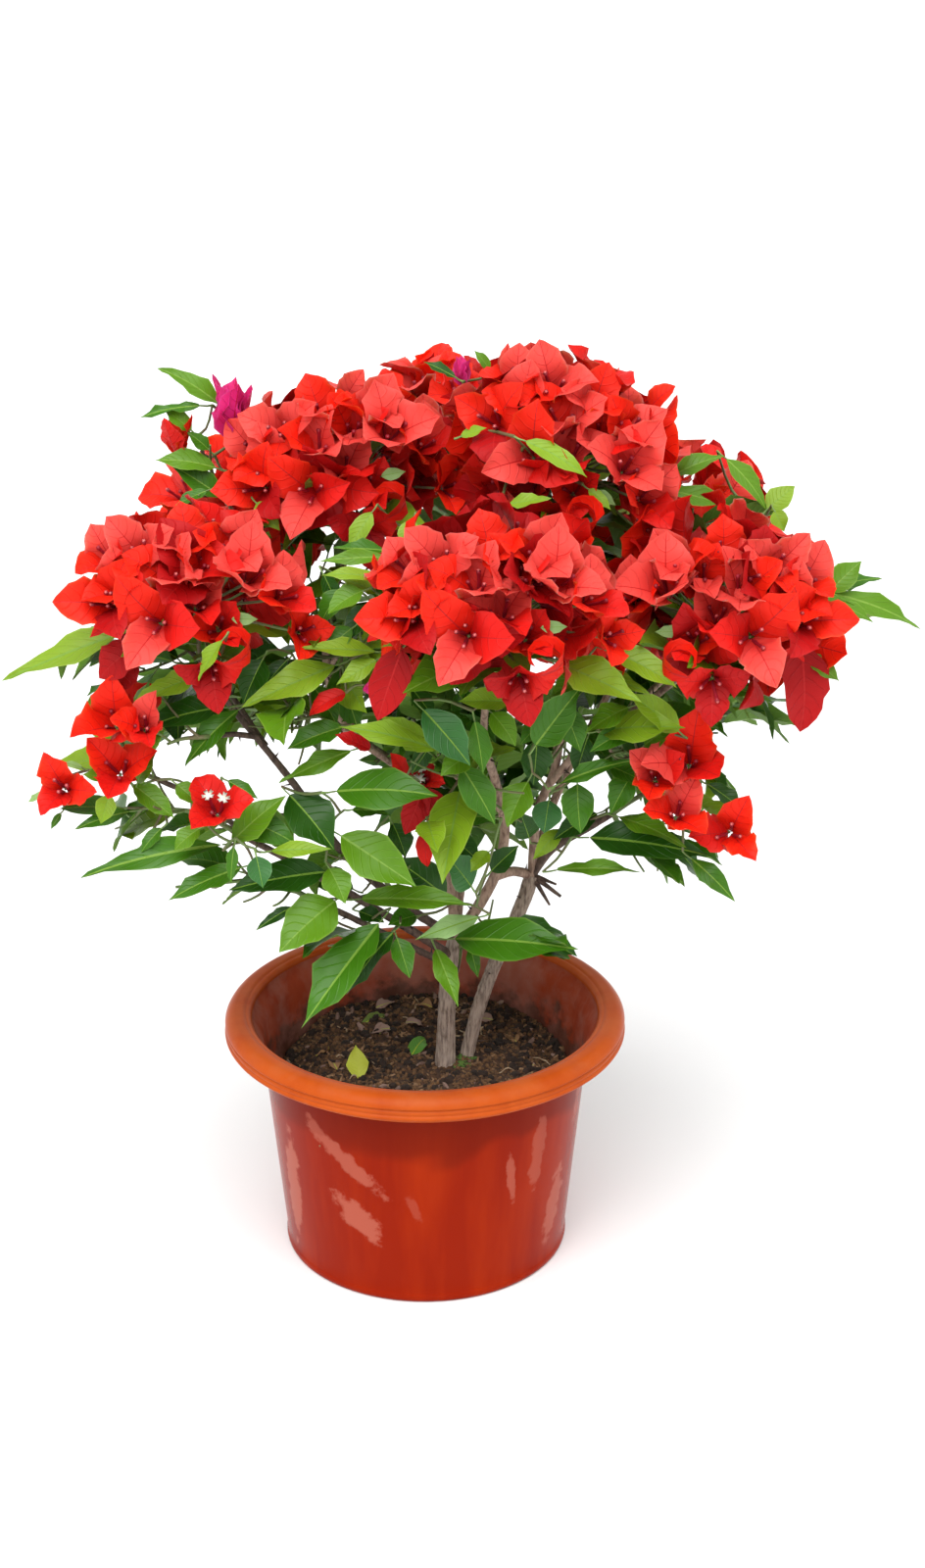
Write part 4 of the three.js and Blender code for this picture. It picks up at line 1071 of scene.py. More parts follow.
@dataclass(frozen=True)
class PlasticFinish:
    """Pot plastic: a clear colour with pale pinkish marks, fine upright streaks, dust, splashed soil and,
    where set, a painted shadow under the rim.
    """

    name: str
    base: Rgb
    pale_tint: Rgb
    streak: Rgb
    dust: Rgb
    roughness: float = 0.3
    pale_low: float = 0.56
    pale_high: float = 0.62
    dust_amount: float = 0.2
    everywhere: float = 0.2
    pale_marks: Sequence[tuple[float, ...]] = ()
    shade: Rgb | None = None
    splash: Rgb | None = None

    def material(self) -> bpy.types.Material:
        """Wire the finish as a material."""
        sheet = Sheet(self.name, self.roughness, Specular_IOR_Level=0.06)
        wiring = sheet.wiring
        streaks = {
            "Base": rgba(self.base),
            "Patch": rgba(self.streak),
            "Scale": 34.0,
            "Low": 0.46,
            "High": 0.74,
            "Stretch": 0.10,
        }
        streaked = sheet.group(EFFECTS.mottle, streaks)
        place = wiring.add("ShaderNodeTexCoord").outputs["Object"]
        parts = wiring.add("ShaderNodeSeparateXYZ", {0: place}).outputs
        ragged = wiring.math("SUBTRACT", wiring.noise(place, 70.0, 5.0, 0.65), 0.5)
        colour = streaked.outputs[0]
        # Painted shadow: a darker band with a wavy lower edge just under the rim.
        if self.shade:
            wavy = wiring.math("ADD", parts[2], wiring.math("MULTIPLY", wiring.noise(place, 16.0, 2.0), 0.05))
            under = wiring.math("MULTIPLY", wiring.ramp(wavy, 0.128, 0.14), 0.75)
            colour = wiring.mix(under, colour, rgba(self.shade))
        # Long pale pinkish marks on the body; the rim and the inside get pale patches instead.
        if self.pale_marks:
            colour = wiring.mix(self._rubbed(sheet, parts, ragged), colour, rgba(self.pale_tint))
        else:
            pale_spots = {
                "Base": colour,
                "Patch": rgba(self.pale_tint),
                "Scale": 15.0,
                "Low": self.pale_low,
                "High": self.pale_high,
                "Stretch": 0.5,
            }
            colour = sheet.group(EFFECTS.mottle, pale_spots).outputs[0]
        if self.splash:
            edge = wiring.math("ADD", parts[2], wiring.math("MULTIPLY", ragged, 0.07))
            low = wiring.math("SUBTRACT", 1.0, wiring.ramp(edge, 0.116, 0.134))
            colour = wiring.mix(wiring.math("MULTIPLY", low, 0.85), colour, rgba(self.splash))
        dust = {
            "Base": colour,
            "Dust": rgba(self.dust),
            "Amount": self.dust_amount,
            "Scale": 45.0,
            "Everywhere": self.everywhere,
        }
        dusty = sheet.group(EFFECTS.dust, dust)
        sheet.colour(dusty.outputs[0])
        dull = wiring.math("ADD", wiring.math("MULTIPLY", dusty.outputs[1], 0.5), self.roughness, True)
        sheet.tree.links.new(dull, sheet.shader.inputs["Roughness"])
        sheet.relief(streaked.outputs[1], 0.0005, 0.25)
        return sheet.material

    def _rubbed(self, sheet: Sheet, parts: Any, ragged: bpy.types.NodeSocket) -> bpy.types.NodeSocket:
        """Join the masks of the long pale marks on the pot's side.

        Args:
            sheet: The material being wired.
            parts: X, Y and Z of the place on the pot.
            ragged: Noise that breaks the marks' edges.

        Returns:
            The joined mask.
        """
        wiring = sheet.wiring
        turn = wiring.math("ARCTAN2", parts[0], wiring.math("MULTIPLY", parts[1], -1.0))
        joined: Any = 0.0
        for degrees, height, half_long, half_wide, lean, strength in self.pale_marks:
            values = {
                "Around": turn,
                "Height": parts[2],
                "Ragged": ragged,
                "Middle": math.radians(degrees),
                "Level": height * MM,
                "Half Length": half_long * MM,
                "Half Width": half_wide * MM,
                "Lean": math.radians(lean),
                "Strength": strength,
            }
            joined = wiring.math("MAXIMUM", sheet.group(EFFECTS.rub, values).outputs[0], joined)
        return joined


# ---- mesh building ------------------------------------------------------------------------------------


def link_object(name: str, mesh: bpy.types.Mesh) -> bpy.types.Object:
    """Put a mesh in the scene as an object at the origin."""
    piece = bpy.data.objects.new(name, mesh)
    bpy.context.scene.collection.objects.link(piece)
    return piece


def mesh_of(
    name: str,
    points: np.ndarray,
    corners: np.ndarray,
    sizes: np.ndarray,
    slots: np.ndarray | None = None,
    uv: np.ndarray | None = None,
) -> bpy.types.Mesh:
    """Make a mesh from whole arrays.

    Args:
        name: The mesh's name.
        points: Vertex places in millimetres.
        corners: Vertex number at each corner of each face, face after face.
        sizes: How many corners each face has.
        slots: Material number of each face.
        uv: UV place of each vertex.

    Returns:
        The mesh, smooth shaded, in metres.
    """
    mesh = bpy.data.meshes.new(name)
    mesh.vertices.add(len(points))
    mesh.vertices.foreach_set("co", (points * MM).astype(np.float32).ravel())
    mesh.loops.add(len(corners))
    mesh.loops.foreach_set("vertex_index", corners.astype(np.int32))
    mesh.polygons.add(len(sizes))
    starts = np.concatenate([[0], np.cumsum(sizes)[:-1]]).astype(np.int32)
    mesh.polygons.foreach_set("loop_start", starts)
    if slots is not None:
        mesh.polygons.foreach_set("material_index", slots.astype(np.int32))
    mesh.update(calc_edges=True)
    mesh.polygons.foreach_set("use_smooth", np.ones(len(sizes), dtype=bool))
    if uv is not None:
        layer = mesh.uv_layers.new(name="blade")
        layer.data.foreach_set("uv", uv[corners].astype(np.float32).ravel())
    mesh.validate()
    return mesh


@dataclass(frozen=True)
class Outline:
    """A blade's outline and section: half width along its length, and where its columns stand."""

    shares: tuple[float, ...]
    widths: tuple[float, ...]
    rows: tuple[float, ...]
    columns: tuple[float, ...]
    rib: float
    thickness: float
    waves: float


LEAF_OUTLINE = Outline(
    shares=(0, 0.05, 0.15, 0.28, 0.4, 0.55, 0.7, 0.84, 0.93, 1),
    widths=(0, 0.26, 0.66, 0.93, 1, 0.9, 0.66, 0.32, 0.12, 0),
    rows=(0.04, 0.12, 0.22, 0.33, 0.44, 0.56, 0.68, 0.8, 0.92),
    columns=(-1, -0.55, -0.1, 0.1, 0.55, 1),
    rib=0.013,
    thickness=0.006,
    waves=1.6,
)
BRACT_OUTLINE = Outline(
    shares=(0, 0.04, 0.14, 0.3, 0.46, 0.62, 0.76, 0.88, 0.95, 1),
    widths=(0, 0.4, 0.78, 0.97, 1, 0.9, 0.68, 0.36, 0.15, 0),
    rows=(0.05, 0.16, 0.28, 0.4, 0.51, 0.62, 0.72, 0.82, 0.92),
    columns=(-1, -0.72, -0.36, -0.1, 0.1, 0.36, 0.72, 1),
    rib=0.013,
    thickness=0.008,
    waves=1.9,
)


# The kind of a blade's midrib faces (0 is its front, 1 its back), how its bend gathers towards the tip,
# and into how many steps its spine is cut.
RIB_KIND = 2
BEND_POWER = 1.25
SPINE_STEPS = 41


@dataclass
class Blade:
    """One leaf or bract: where it is rooted, how it lies, and how it bends, folds, waves and twists."""

    root: np.ndarray
    along: np.ndarray
    face: np.ndarray
    length: float
    width: float
    bend: float
    fold: float
    wave: float
    phase: float
    twist: float
    tint: int


class BladeBatch:
    """Blades of one outline, gathered one by one and built as joined meshes."""

    def __init__(self, outline: Outline, tints: int) -> None:
        """Start an empty batch.

        Args:
            outline: The blades' outline.
            tints: How many tints there are; each has a front and a back material, and ribs come last.
        """
        self.outline = outline
        self.tints = tints
        self.blades: list[Blade] = []
        self._template()

    def _template(self) -> None:
        """Work out the corners, sizes and kinds of one blade's faces, front and back closed at the edge."""
        rows, cols = len(self.outline.rows), len(self.outline.columns)
        inner = cols - 2

        def front(r: int, c: int) -> int:
            """Number a vertex of the front."""
            return 2 + r * cols + c

        def back(r: int, c: int) -> int:
            """Number a vertex of the back, which shares the front's edge."""
            if c in (0, cols - 1):
                return front(r, c)
            return 2 + rows * cols + r * inner + c - 1

        corners: list[int] = []
        sizes: list[int] = []
        kinds: list[int] = []
        middle = cols // 2 - 1
        for side, spot in ((0, front), (1, back)):
            for c in range(cols - 1):
                kind = RIB_KIND if c == middle else side
                faces = [[0, spot(0, c), spot(0, c + 1)]]
                for r in range(rows - 1):
                    faces.append([spot(r, c), spot(r + 1, c), spot(r + 1, c + 1), spot(r, c + 1)])
                faces.append([spot(rows - 1, c), 1, spot(rows - 1, c + 1)])
                for f in faces:
                    corners += f if side == 0 else f[:1] + f[:0:-1]
                    sizes.append(len(f))
                    kinds.append(kind)
        self.corners, self.sizes, self.kinds = np.array(corners), np.array(sizes), np.array(kinds)
        self.count = 2 + rows * cols + rows * inner
        edge = np.zeros(self.count, bool)
        edge[:2] = True
        for r in range(rows):
            edge[[front(r, 0), front(r, cols - 1)]] = True
        self.edge = edge

    def add(self, blade: Blade) -> None:
        """Take in one more blade."""
        self.blades.append(blade)

    def _points(self, blades: list[Blade]) -> tuple[np.ndarray, np.ndarray]:
        """Work out every vertex of some blades and its UV place.

        Args:
            blades: The blades.

        Returns:
            Vertex places, blade by blade, and the UV places of one blade.
        """
        o = self.outline

        def every(name: str) -> np.ndarray:
            """Gather one value of all the blades."""
            return np.array([getattr(b, name) for b in blades], float)

        root, along, face = every("root"), every("along"), every("face")
        length, width = every("length")[:, None], every("width")[:, None]
        bend, fold = np.radians(every("bend"))[:, None], np.radians(every("fold"))[:, None]
        wave, phase = every("wave")[:, None, None], every("phase")[:, None, None]
        twist = np.radians(every("twist"))[:, None]
        side = np.cross(face, along)
        side /= np.linalg.norm(side, axis=1, keepdims=True)
        face = np.cross(along, side)
        rows = np.array([0, *o.rows, 1])
        fine = np.linspace(0, 1, SPINE_STEPS)
        angle = bend * fine[None, :] ** BEND_POWER
        run = np.cumsum(np.cos(angle), axis=1) / SPINE_STEPS
        fall = np.cumsum(np.sin(angle), axis=1) / SPINE_STEPS
        reach = np.array([np.interp(rows, fine, r) for r in run]) * length
        drop = np.array([np.interp(rows, fine, r) for r in fall]) * length
        bent = bend * rows[None, :] ** BEND_POWER
        spine = root[:, None] + reach[..., None] * along[:, None] - drop[..., None] * face[:, None]
        normal = face[:, None] * np.cos(bent)[..., None] + along[:, None] * np.sin(bent)[..., None]
        turn = twist * rows[None, :]
        sideways = side[:, None] * np.cos(turn)[..., None] + normal * np.sin(turn)[..., None]
        normal = normal * np.cos(turn)[..., None] - side[:, None] * np.sin(turn)[..., None]
        ripple = 2 * np.pi * o.waves * 1.9 * rows[None, :] + 1.7 * phase[..., 0]
        uneven = 1 + 1.2 * wave[..., 0] * np.sin(ripple)
        half = 0.5 * width * length * np.interp(rows, o.shares, o.widths)[None, :] * uneven
        cols = np.array(o.columns)
        u = np.broadcast_to(cols[None, None, :], (len(blades), len(rows), len(cols))).copy()
        rib = np.minimum(o.rib * length * (1 - 0.6 * rows[None, :]) / np.maximum(half, 1e-3), 0.3)
        middle = len(cols) // 2
        u[..., middle - 1] = -rib
        u[..., middle] = rib
        flat = np.cos(fold)[..., None]
        lift = np.sin(fold)[..., None]
        out = np.abs(u)
        swing = np.sin(2 * np.pi * o.waves * rows[None, :, None] + phase + np.where(u > 0, 2.2, 0))
        short = 2 * np.pi * o.waves * 2.7 * rows[None, :, None] + 2.1 * phase
        crinkle = np.sin(short + np.where(u > 0, 1.1, 0))
        ends = np.sin(np.pi * rows)[None, :, None] ** 0.5
        ruffle = wave * length[..., None] * (out**2 * swing + 0.4 * out**3 * crinkle) * ends
        across_by = u * half[..., None] * flat
        high = out * half[..., None] * lift + ruffle
        high[..., middle - 1 : middle + 1] -= 0.004 * length[..., None]
        level = spine[:, :, None] + across_by[..., None] * sideways[:, :, None]
        grid = level + high[..., None] * normal[:, :, None]
        thick = o.thickness * length[..., None] * np.ones_like(u)
        thick[..., middle - 1 : middle + 1] *= 2.6
        under = grid - thick[..., None] * normal[:, :, None]
        n = len(blades)
        inside = slice(1, len(rows) - 1)
        tips = np.stack([spine[:, 0], spine[:, -1]], axis=1)
        top = grid[:, inside].reshape(n, -1, 3)
        low = under[:, inside, 1:-1].reshape(n, -1, 3)
        points = np.concatenate([tips, top, low], axis=1)
        flat_u, flat_v = np.meshgrid(cols * 0.5 + 0.5, rows[inside])
        uv_top = np.stack([flat_u.ravel(), flat_v.ravel()], axis=1)
        uv_low = np.stack([flat_u[:, 1:-1].ravel(), flat_v[:, 1:-1].ravel()], axis=1)
        uv = np.concatenate([[[0.5, 0], [0.5, 1]], uv_top, uv_low])
        return points, uv

    def build(
        self, name: str, materials: Sequence[bpy.types.Material], keep: Callable[[Blade], bool]
    ) -> bpy.types.Object:
        """Build the joined mesh of the blades that a test keeps.

        Args:
            name: The piece's name.
            materials: Fronts of each tint, backs of each tint, then the rib.
            keep: Whether a blade belongs in this piece.

        Returns:
            The piece.
        """
        blades = [b for b in self.blades if keep(b)]
        points, uv = self._points(blades)
        n = len(blades)
        shift = np.arange(n)[:, None] * self.count
        corners = (self.corners[None, :] + shift).ravel()
        sizes = np.tile(self.sizes, n)
        tint = np.array([b.tint for b in blades])[:, None]
        kinds = self.kinds[None, :]
        slots = np.where(kinds == RIB_KIND, 2 * self.tints, tint + kinds * self.tints).ravel()
        mesh = mesh_of(name, points.reshape(-1, 3), corners, sizes, slots, np.tile(uv, (n, 1)))
        for material in materials:
            mesh.materials.append(material)
        edge = np.tile(self.edge, n)
        ends = np.empty(len(mesh.edges) * 2, np.int32)
        mesh.edges.foreach_get("vertices", ends)
        sharp = edge[ends.reshape(-1, 2)].all(axis=1)
        layer = mesh.attributes.get("sharp_edge") or mesh.attributes.new("sharp_edge", "BOOLEAN", "EDGE")
        layer.data.foreach_set("value", sharp)
        LOG.info("%s: %d blades, %d faces", name, n, len(mesh.polygons))
        return link_object(name, mesh)


class TubeTree:
    """A Geometry Nodes tree that draws a round tube with bark relief along each path of a piece."""

    def __init__(self) -> None:
        """Build the tree with its named inputs."""
        w = new_group(
            "tube_along_path",
            "GeometryNodeTree",
            [
                ("Paths", "NodeSocketGeometry", None),
                ("Sides", "NodeSocketInt", 6),
                ("Relief", "NodeSocketFloat", 0.0),
                ("Ridge Scale", "NodeSocketFloat", 1.6),
                ("Finish", "NodeSocketMaterial", None),
            ],
            [("Tubes", "NodeSocketGeometry")],
        )
        i = w.add("NodeGroupInput").outputs
        curve = w.add("GeometryNodeMeshToCurve", {0: i["Paths"]}).outputs[0]
        walked = w.add("GeometryNodeSplineParameter").outputs["Length"]
        marked = w.add("GeometryNodeCaptureAttribute")
        marked.capture_items.new("FLOAT", "walked")
        w.tree.links.new(curve, marked.inputs[0])
        w.tree.links.new(walked, marked.inputs[1])
        ring = w.add("GeometryNodeCurvePrimitiveCircle", {"Resolution": i["Sides"], "Radius": 1.0}).outputs[0]
        turn = w.add("GeometryNodeSplineParameter").outputs["Factor"]
        rounded = w.add("GeometryNodeCaptureAttribute")
        rounded.capture_items.new("FLOAT", "turn")
        w.tree.links.new(ring, rounded.inputs[0])
        w.tree.links.new(turn, rounded.inputs[1])
        girth = w.add("GeometryNodeInputNamedAttribute", {"Name": "girth"}, data_type="FLOAT").outputs[0]
        drawn = {"Curve": marked.outputs[0], "Profile Curve": rounded.outputs[0]}
        tube = w.add("GeometryNodeCurveToMesh", {**drawn, "Scale": girth, "Fill Caps": True}).outputs[0]
        angle = w.math("MULTIPLY", rounded.outputs[1], 2 * math.pi)
        spot = w.add(
            "ShaderNodeCombineXYZ",
            {
                0: w.math("MULTIPLY", w.math("COSINE", angle), i["Ridge Scale"]),
                1: w.math("MULTIPLY", w.math("SINE", angle), i["Ridge Scale"]),
                2: w.math("MULTIPLY", marked.outputs[1], 52.0),
            },
        ).outputs[0]
        ridges = w.math("SUBTRACT", w.noise(spot, 1.7, 4.0, 0.62), 0.5)
        amount = w.math("MULTIPLY", ridges, i["Relief"])
        normal = w.add("GeometryNodeInputNormal").outputs[0]
        push = w.add("ShaderNodeVectorMath", {0: normal, "Scale": amount}, operation="SCALE").outputs[0]
        moved = w.add("GeometryNodeSetPosition", {"Geometry": tube, "Offset": push}).outputs[0]
        smooth = w.add("GeometryNodeSetShadeSmooth", {0: moved}).outputs[0]
        real = w.add("GeometryNodeRealizeInstances", {0: smooth}).outputs[0]
        done = w.add("GeometryNodeSetMaterial", {"Geometry": real, "Material": i["Finish"]}).outputs[0]
        w.add("NodeGroupOutput", {0: done})
        self.tree = w.tree


class ScatterTree:
    """A Geometry Nodes tree that strews small rough grains over the upward faces of a piece."""

    def __init__(self) -> None:
        """Build the tree with its named inputs."""
        w = new_group(
            "grains_on_surface",
            "GeometryNodeTree",
            [
                ("Surface", "NodeSocketGeometry", None),
                ("Density", "NodeSocketFloat", 100000.0),
                ("Smallest", "NodeSocketFloat", 0.0006),
                ("Largest", "NodeSocketFloat", 0.002),
                ("Stretch", "NodeSocketFloat", 1.0),
                ("Seed", "NodeSocketInt", 1),
                ("Finish", "NodeSocketMaterial", None),
            ],
            [("Grains", "NodeSocketGeometry")],
        )
        i = w.add("NodeGroupInput").outputs
        normal = w.add("GeometryNodeInputNormal").outputs[0]
        high = w.add("ShaderNodeSeparateXYZ", {0: normal}).outputs[2]
        facing = w.add("GeometryNodeFieldOnDomain", {0: high}, domain="FACE", data_type="FLOAT").outputs[0]
        more = {"data_type": "FLOAT", "operation": "GREATER_THAN"}
        upward = w.add("FunctionNodeCompare", {0: facing, 1: 0.35}, **more).outputs[0]
        scatter = w.add(
            "GeometryNodeDistributePointsOnFaces",
            {"Mesh": i["Surface"], "Selection": upward, "Density": i["Density"], "Seed": i["Seed"]},
        )
        grain = w.add("GeometryNodeMeshIcoSphere", {"Radius": 1.0, "Subdivisions": 1}).outputs[0]
        place = w.add("GeometryNodeInputPosition").outputs[0]
        rough = w.add("ShaderNodeTexNoise", {"Vector": place, "Scale": 1.4, "Detail": 1.0}).outputs[1]
        half = (0.5, 0.5, 0.5)
        centred = w.add("ShaderNodeVectorMath", {0: rough, 1: half}, operation="SUBTRACT").outputs[0]
        knobbly = w.add("GeometryNodeSetPosition", {"Geometry": grain, "Offset": centred}).outputs[0]
        limits = {2: i["Smallest"], 3: i["Largest"], 8: i["Seed"]}
        size = w.add("FunctionNodeRandomValue", limits, data_type="FLOAT").outputs[1]
        long = w.math("MULTIPLY", size, i["Stretch"])
        scale = w.add("ShaderNodeCombineXYZ", {0: long, 1: size, 2: size}).outputs[0]
        spin = w.add(
            "FunctionNodeRandomValue",
            {0: (0.0, 0.0, 0.0), 1: (6.283, 0.9, 6.283), 8: 9},
            data_type="FLOAT_VECTOR",
        ).outputs[0]
        turned = w.add("FunctionNodeEulerToRotation", {0: spin}).outputs[0]
        placed = w.add(
            "GeometryNodeInstanceOnPoints",
            {"Points": scatter.outputs[0], "Instance": knobbly, "Rotation": turned, "Scale": scale},
        ).outputs[0]
        real = w.add("GeometryNodeRealizeInstances", {0: placed}).outputs[0]
        done = w.add("GeometryNodeSetMaterial", {"Geometry": real, "Material": i["Finish"]}).outputs[0]
        w.add("NodeGroupOutput", {0: done})
        self.tree = w.tree


def grown(
    name: str, host: bpy.types.Mesh, tree: bpy.types.NodeTree, values: dict[str, Any]
) -> bpy.types.Object:
    """Run a Geometry Nodes tree on a mesh and keep its result as a plain piece.

    Args:
        name: The new piece's name.
        host: The mesh that the tree starts from.
        tree: The tree.
        values: Its inputs, by name.

    Returns:
        The piece, with no modifier on it.
    """
    carrier = link_object(name + "_host", host)
    modifier = carrier.modifiers.new("make", "NODES")
    modifier.node_group = tree
    for item in tree.interface.items_tree:
        if item.item_type == "SOCKET" and item.in_out == "INPUT" and item.name in values:
            modifier[item.identifier] = values[item.name]
    graph = bpy.context.evaluated_depsgraph_get()
    mesh = bpy.data.meshes.new_from_object(carrier.evaluated_get(graph), depsgraph=graph)
    mesh.name = name
    carrier.modifiers.remove(modifier)
    bpy.data.objects.remove(carrier)
    bpy.data.meshes.remove(host)
    LOG.info("%s: %d faces", name, len(mesh.polygons))
    return link_object(name, mesh)


class PathBundle:
    """Paths with a radius at each point, drawn as tubes by the tube tree."""

    def __init__(self) -> None:
        """Start with no paths."""
        self.points: list[np.ndarray] = []
        self.girths: list[np.ndarray] = []

    def add(self, points: np.ndarray, girths: Sequence[float]) -> None:
        """Take in a path with its radii, in millimetres."""
        self.points.append(np.asarray(points, float))
        self.girths.append(np.asarray(girths, float))

    def build(
        self,
        name: str,
        tree: TubeTree,
        sides: int,
        relief: float,
        finish: bpy.types.Material,
        ridges: float = 1.6,
    ) -> bpy.types.Object:
        """Draw every path as a closed tube.

        Args:
            name: The piece's name.
            tree: The tube tree.
            sides: How many sides a tube has.
            relief: Depth of the bark's ridges, in millimetres.
            finish: The tubes' material.
            ridges: How many ridges run round a tube, roughly halved.

        Returns:
            The piece.
        """
        mesh = bpy.data.meshes.new(name + "_paths")
        points = np.vstack(self.points) * MM
        edges: list[tuple[int, int]] = []
        start = 0
        for path in self.points:
            edges += [(start + k, start + k + 1) for k in range(len(path) - 1)]
            start += len(path)
        mesh.from_pydata(points.tolist(), edges, [])
        layer = mesh.attributes.new("girth", "FLOAT", "POINT")
        layer.data.foreach_set("value", (np.concatenate(self.girths) * MM).astype(np.float32))
        values = {"Sides": sides, "Relief": relief * MM, "Ridge Scale": ridges, "Finish": finish}
        return grown(name, mesh, tree.tree, values)


# ---- the space of each mass, and what it stays clear of -------------------------------------------------


@dataclass
class Room:
    """The space of one mass: an ellipsoid with flat borders to its neighbours."""

    centre: np.ndarray
    axes: np.ndarray
    half: np.ndarray
    borders: list[tuple[np.ndarray, float]] = field(default_factory=list)

    def reach(self, n: np.ndarray) -> float:
        """Give how far the space reaches along a direction."""
        return float(np.linalg.norm((self.axes @ n) * self.half))

    def holds(self, points: np.ndarray, slack: float = 0.0, share: float = 1.0) -> bool:
        """Say whether every point lies inside the space.

        Args:
            points: The points.
            slack: How far past the borders a point may stand.
            share: What share of the ellipsoid's size may be used.

        Returns:
            Whether they all lie inside.
        """
        q = (points - self.centre) @ self.axes.T / self.half
        if float((q * q).sum(axis=1).max()) > share * share:
            return False
        return all(float((points @ n).max()) <= at + slack for n, at in self.borders)


def room_of(mass: Mass, foot: np.ndarray) -> Room:
    """Work out the space of a mass whose stem starts at a foot."""
    if mass.part is Part.HEAD:
        return Room(np.array(mass.centre, float), np.eye(3), np.array(mass.half, float))
    tip = np.array(mass.tip, float)
    along = unit(tip - foot)
    length = float(np.linalg.norm(tip - foot))
    axes = np.array([along, across(along, 90), across(along, 0)])
    half_length = length * 0.54 + 4
    return Room(lerp(foot, tip, 0.54), axes, np.array([half_length, mass.spread, mass.rise]))


def set_borders(masses: Sequence[Mass]) -> None:
    """Share out the ground between spaces that would run into each other, by size and claim."""
    for i, one in enumerate(masses):
        for other in masses[i + 1 :]:
            n = other.room.centre - one.room.centre
            apart = float(np.linalg.norm(n))
            n = n / apart
            a, b = one.room.reach(n), other.room.reach(n)
            if a + b <= apart:
                continue
            share = a * one.claim / (a * one.claim + b * other.claim)
            at = float(one.room.centre @ n) + apart * min(max(share, 1 - b / apart), a / apart)
            one.room.borders.append((n, at - GAP / 2))
            other.room.borders.append((-n, -(at + GAP / 2)))


class Obstacles:
    """The limbs and stems as round bars that nothing may run through."""

    def __init__(self) -> None:
        """Start with none."""
        self.a: list[np.ndarray] = []
        self.b: list[np.ndarray] = []
        self.radius: list[float] = []
        self.owner: list[str] = []

    def add(self, owner: str, line: Line, radius: Callable[[float], float], steps: int) -> None:
        """Take in a line as a chain of bars."""
        for i in range(steps):
            self.a.append(line.at(i / steps))
            self.b.append(line.at((i + 1) / steps))
            self.radius.append(max(radius(i / steps), radius((i + 1) / steps)))
            self.owner.append(owner)

    def settle(self) -> None:
        """Turn the lists into arrays, once all bars are in."""
        self.start, self.span = np.array(self.a), np.array(self.b) - np.array(self.a)
        self.thick = np.array(self.radius)
        self.names = np.array(self.owner)

    def clear(self, owner: str, points: np.ndarray, margin: float) -> bool:
        """Say whether points keep a margin from every bar but the owner's own."""
        use = self.names != owner
        a, d = self.start[use][:, None], self.span[use][:, None]
        t = ((points[None] - a) * d).sum(-1) / np.maximum((d * d).sum(-1), 1e-9)
        near = a + np.clip(t, 0, 1)[..., None] * d
        gap = np.linalg.norm(points[None] - near, axis=-1) - self.thick[use][:, None]
        return float(gap.min()) >= margin


# ---- the crown ----------------------------------------------------------------------------------------


class LeafTint(Enum):
    """The leaf colours, dealt out by spray."""

    MID = 0
    FRESH = 1
    LIME = 2
    DEEP = 3
    BLUE = 4
    PALE = 5


LEAF_KEYS = {tint.name[0]: tint for tint in LeafTint}

# The leaf colours dealt out to sprays, by the first letters of the tints.
SPRAY_KEYS = (
    (("top_left_sprig", "upper_right_sprig", "far_right_sprig"), "LFLFM"),
    (CENTRE_SPRAYS, "FLFMLM"),
    (("foot_left_leaves", "foot_right_leaves", "low_left_leaves", "low_right_leaves"), "MMDMF"),
    (("inner_leaves", "inner_left_leaves"), "MFMDB"),
)
OTHER_SPRAY_KEYS = "MFMDL"
BOUGH_KEYS = "MFMDL"


class BractTint(Enum):
    """The bract colours, dealt out by bloom: coral is the red in painted light, deep the red in painted
    shade.
    """

    CORAL = 0
    SCARLET = 1
    RED = 2
    DEEP = 3
    MAGENTA = 4


BRACT_KEYS = {tint.name[0]: tint for tint in BractTint} | {"R": BractTint.RED}


LEAF_FINISHES = [
    BladeFinish("leaf_mid_green", (0.043, 0.15, 0.004), (0.08, 0.22, 0.014), (0.24, 0.38, 0.06), 0.36),
    BladeFinish("leaf_fresh_green", (0.092, 0.22, 0.006), (0.15, 0.3, 0.02), (0.33, 0.48, 0.08), 0.38),
    BladeFinish("leaf_lime_green", (0.19, 0.32, 0.012), (0.28, 0.41, 0.04), (0.42, 0.55, 0.12), 0.4),
    BladeFinish("leaf_deep_green", (0.016, 0.072, 0.003), (0.035, 0.14, 0.012), (0.1, 0.25, 0.03), 0.34),
    BladeFinish("leaf_blue_green", (0.034, 0.135, 0.028), (0.07, 0.21, 0.07), (0.2, 0.38, 0.16), 0.34),
    BladeFinish("leaf_pale_green", (0.24, 0.4, 0.13), (0.33, 0.49, 0.2), (0.42, 0.58, 0.3), 0.45),
]
LEAF_BACKS = [
    BladeFinish("leaf_back_pale", (0.12, 0.24, 0.03), (0.2, 0.38, 0.1), (0.25, 0.42, 0.12), 0.6),
    BladeFinish("leaf_back_dark", (0.05, 0.15, 0.018), (0.1, 0.24, 0.06), (0.12, 0.26, 0.06), 0.6),
]
RIB_FINISH = BladeFinish(
    "leaf_midrib", (0.17, 0.31, 0.035), (0.3, 0.5, 0.15), (0.3, 0.5, 0.15), 0.5, amount=0.0
)
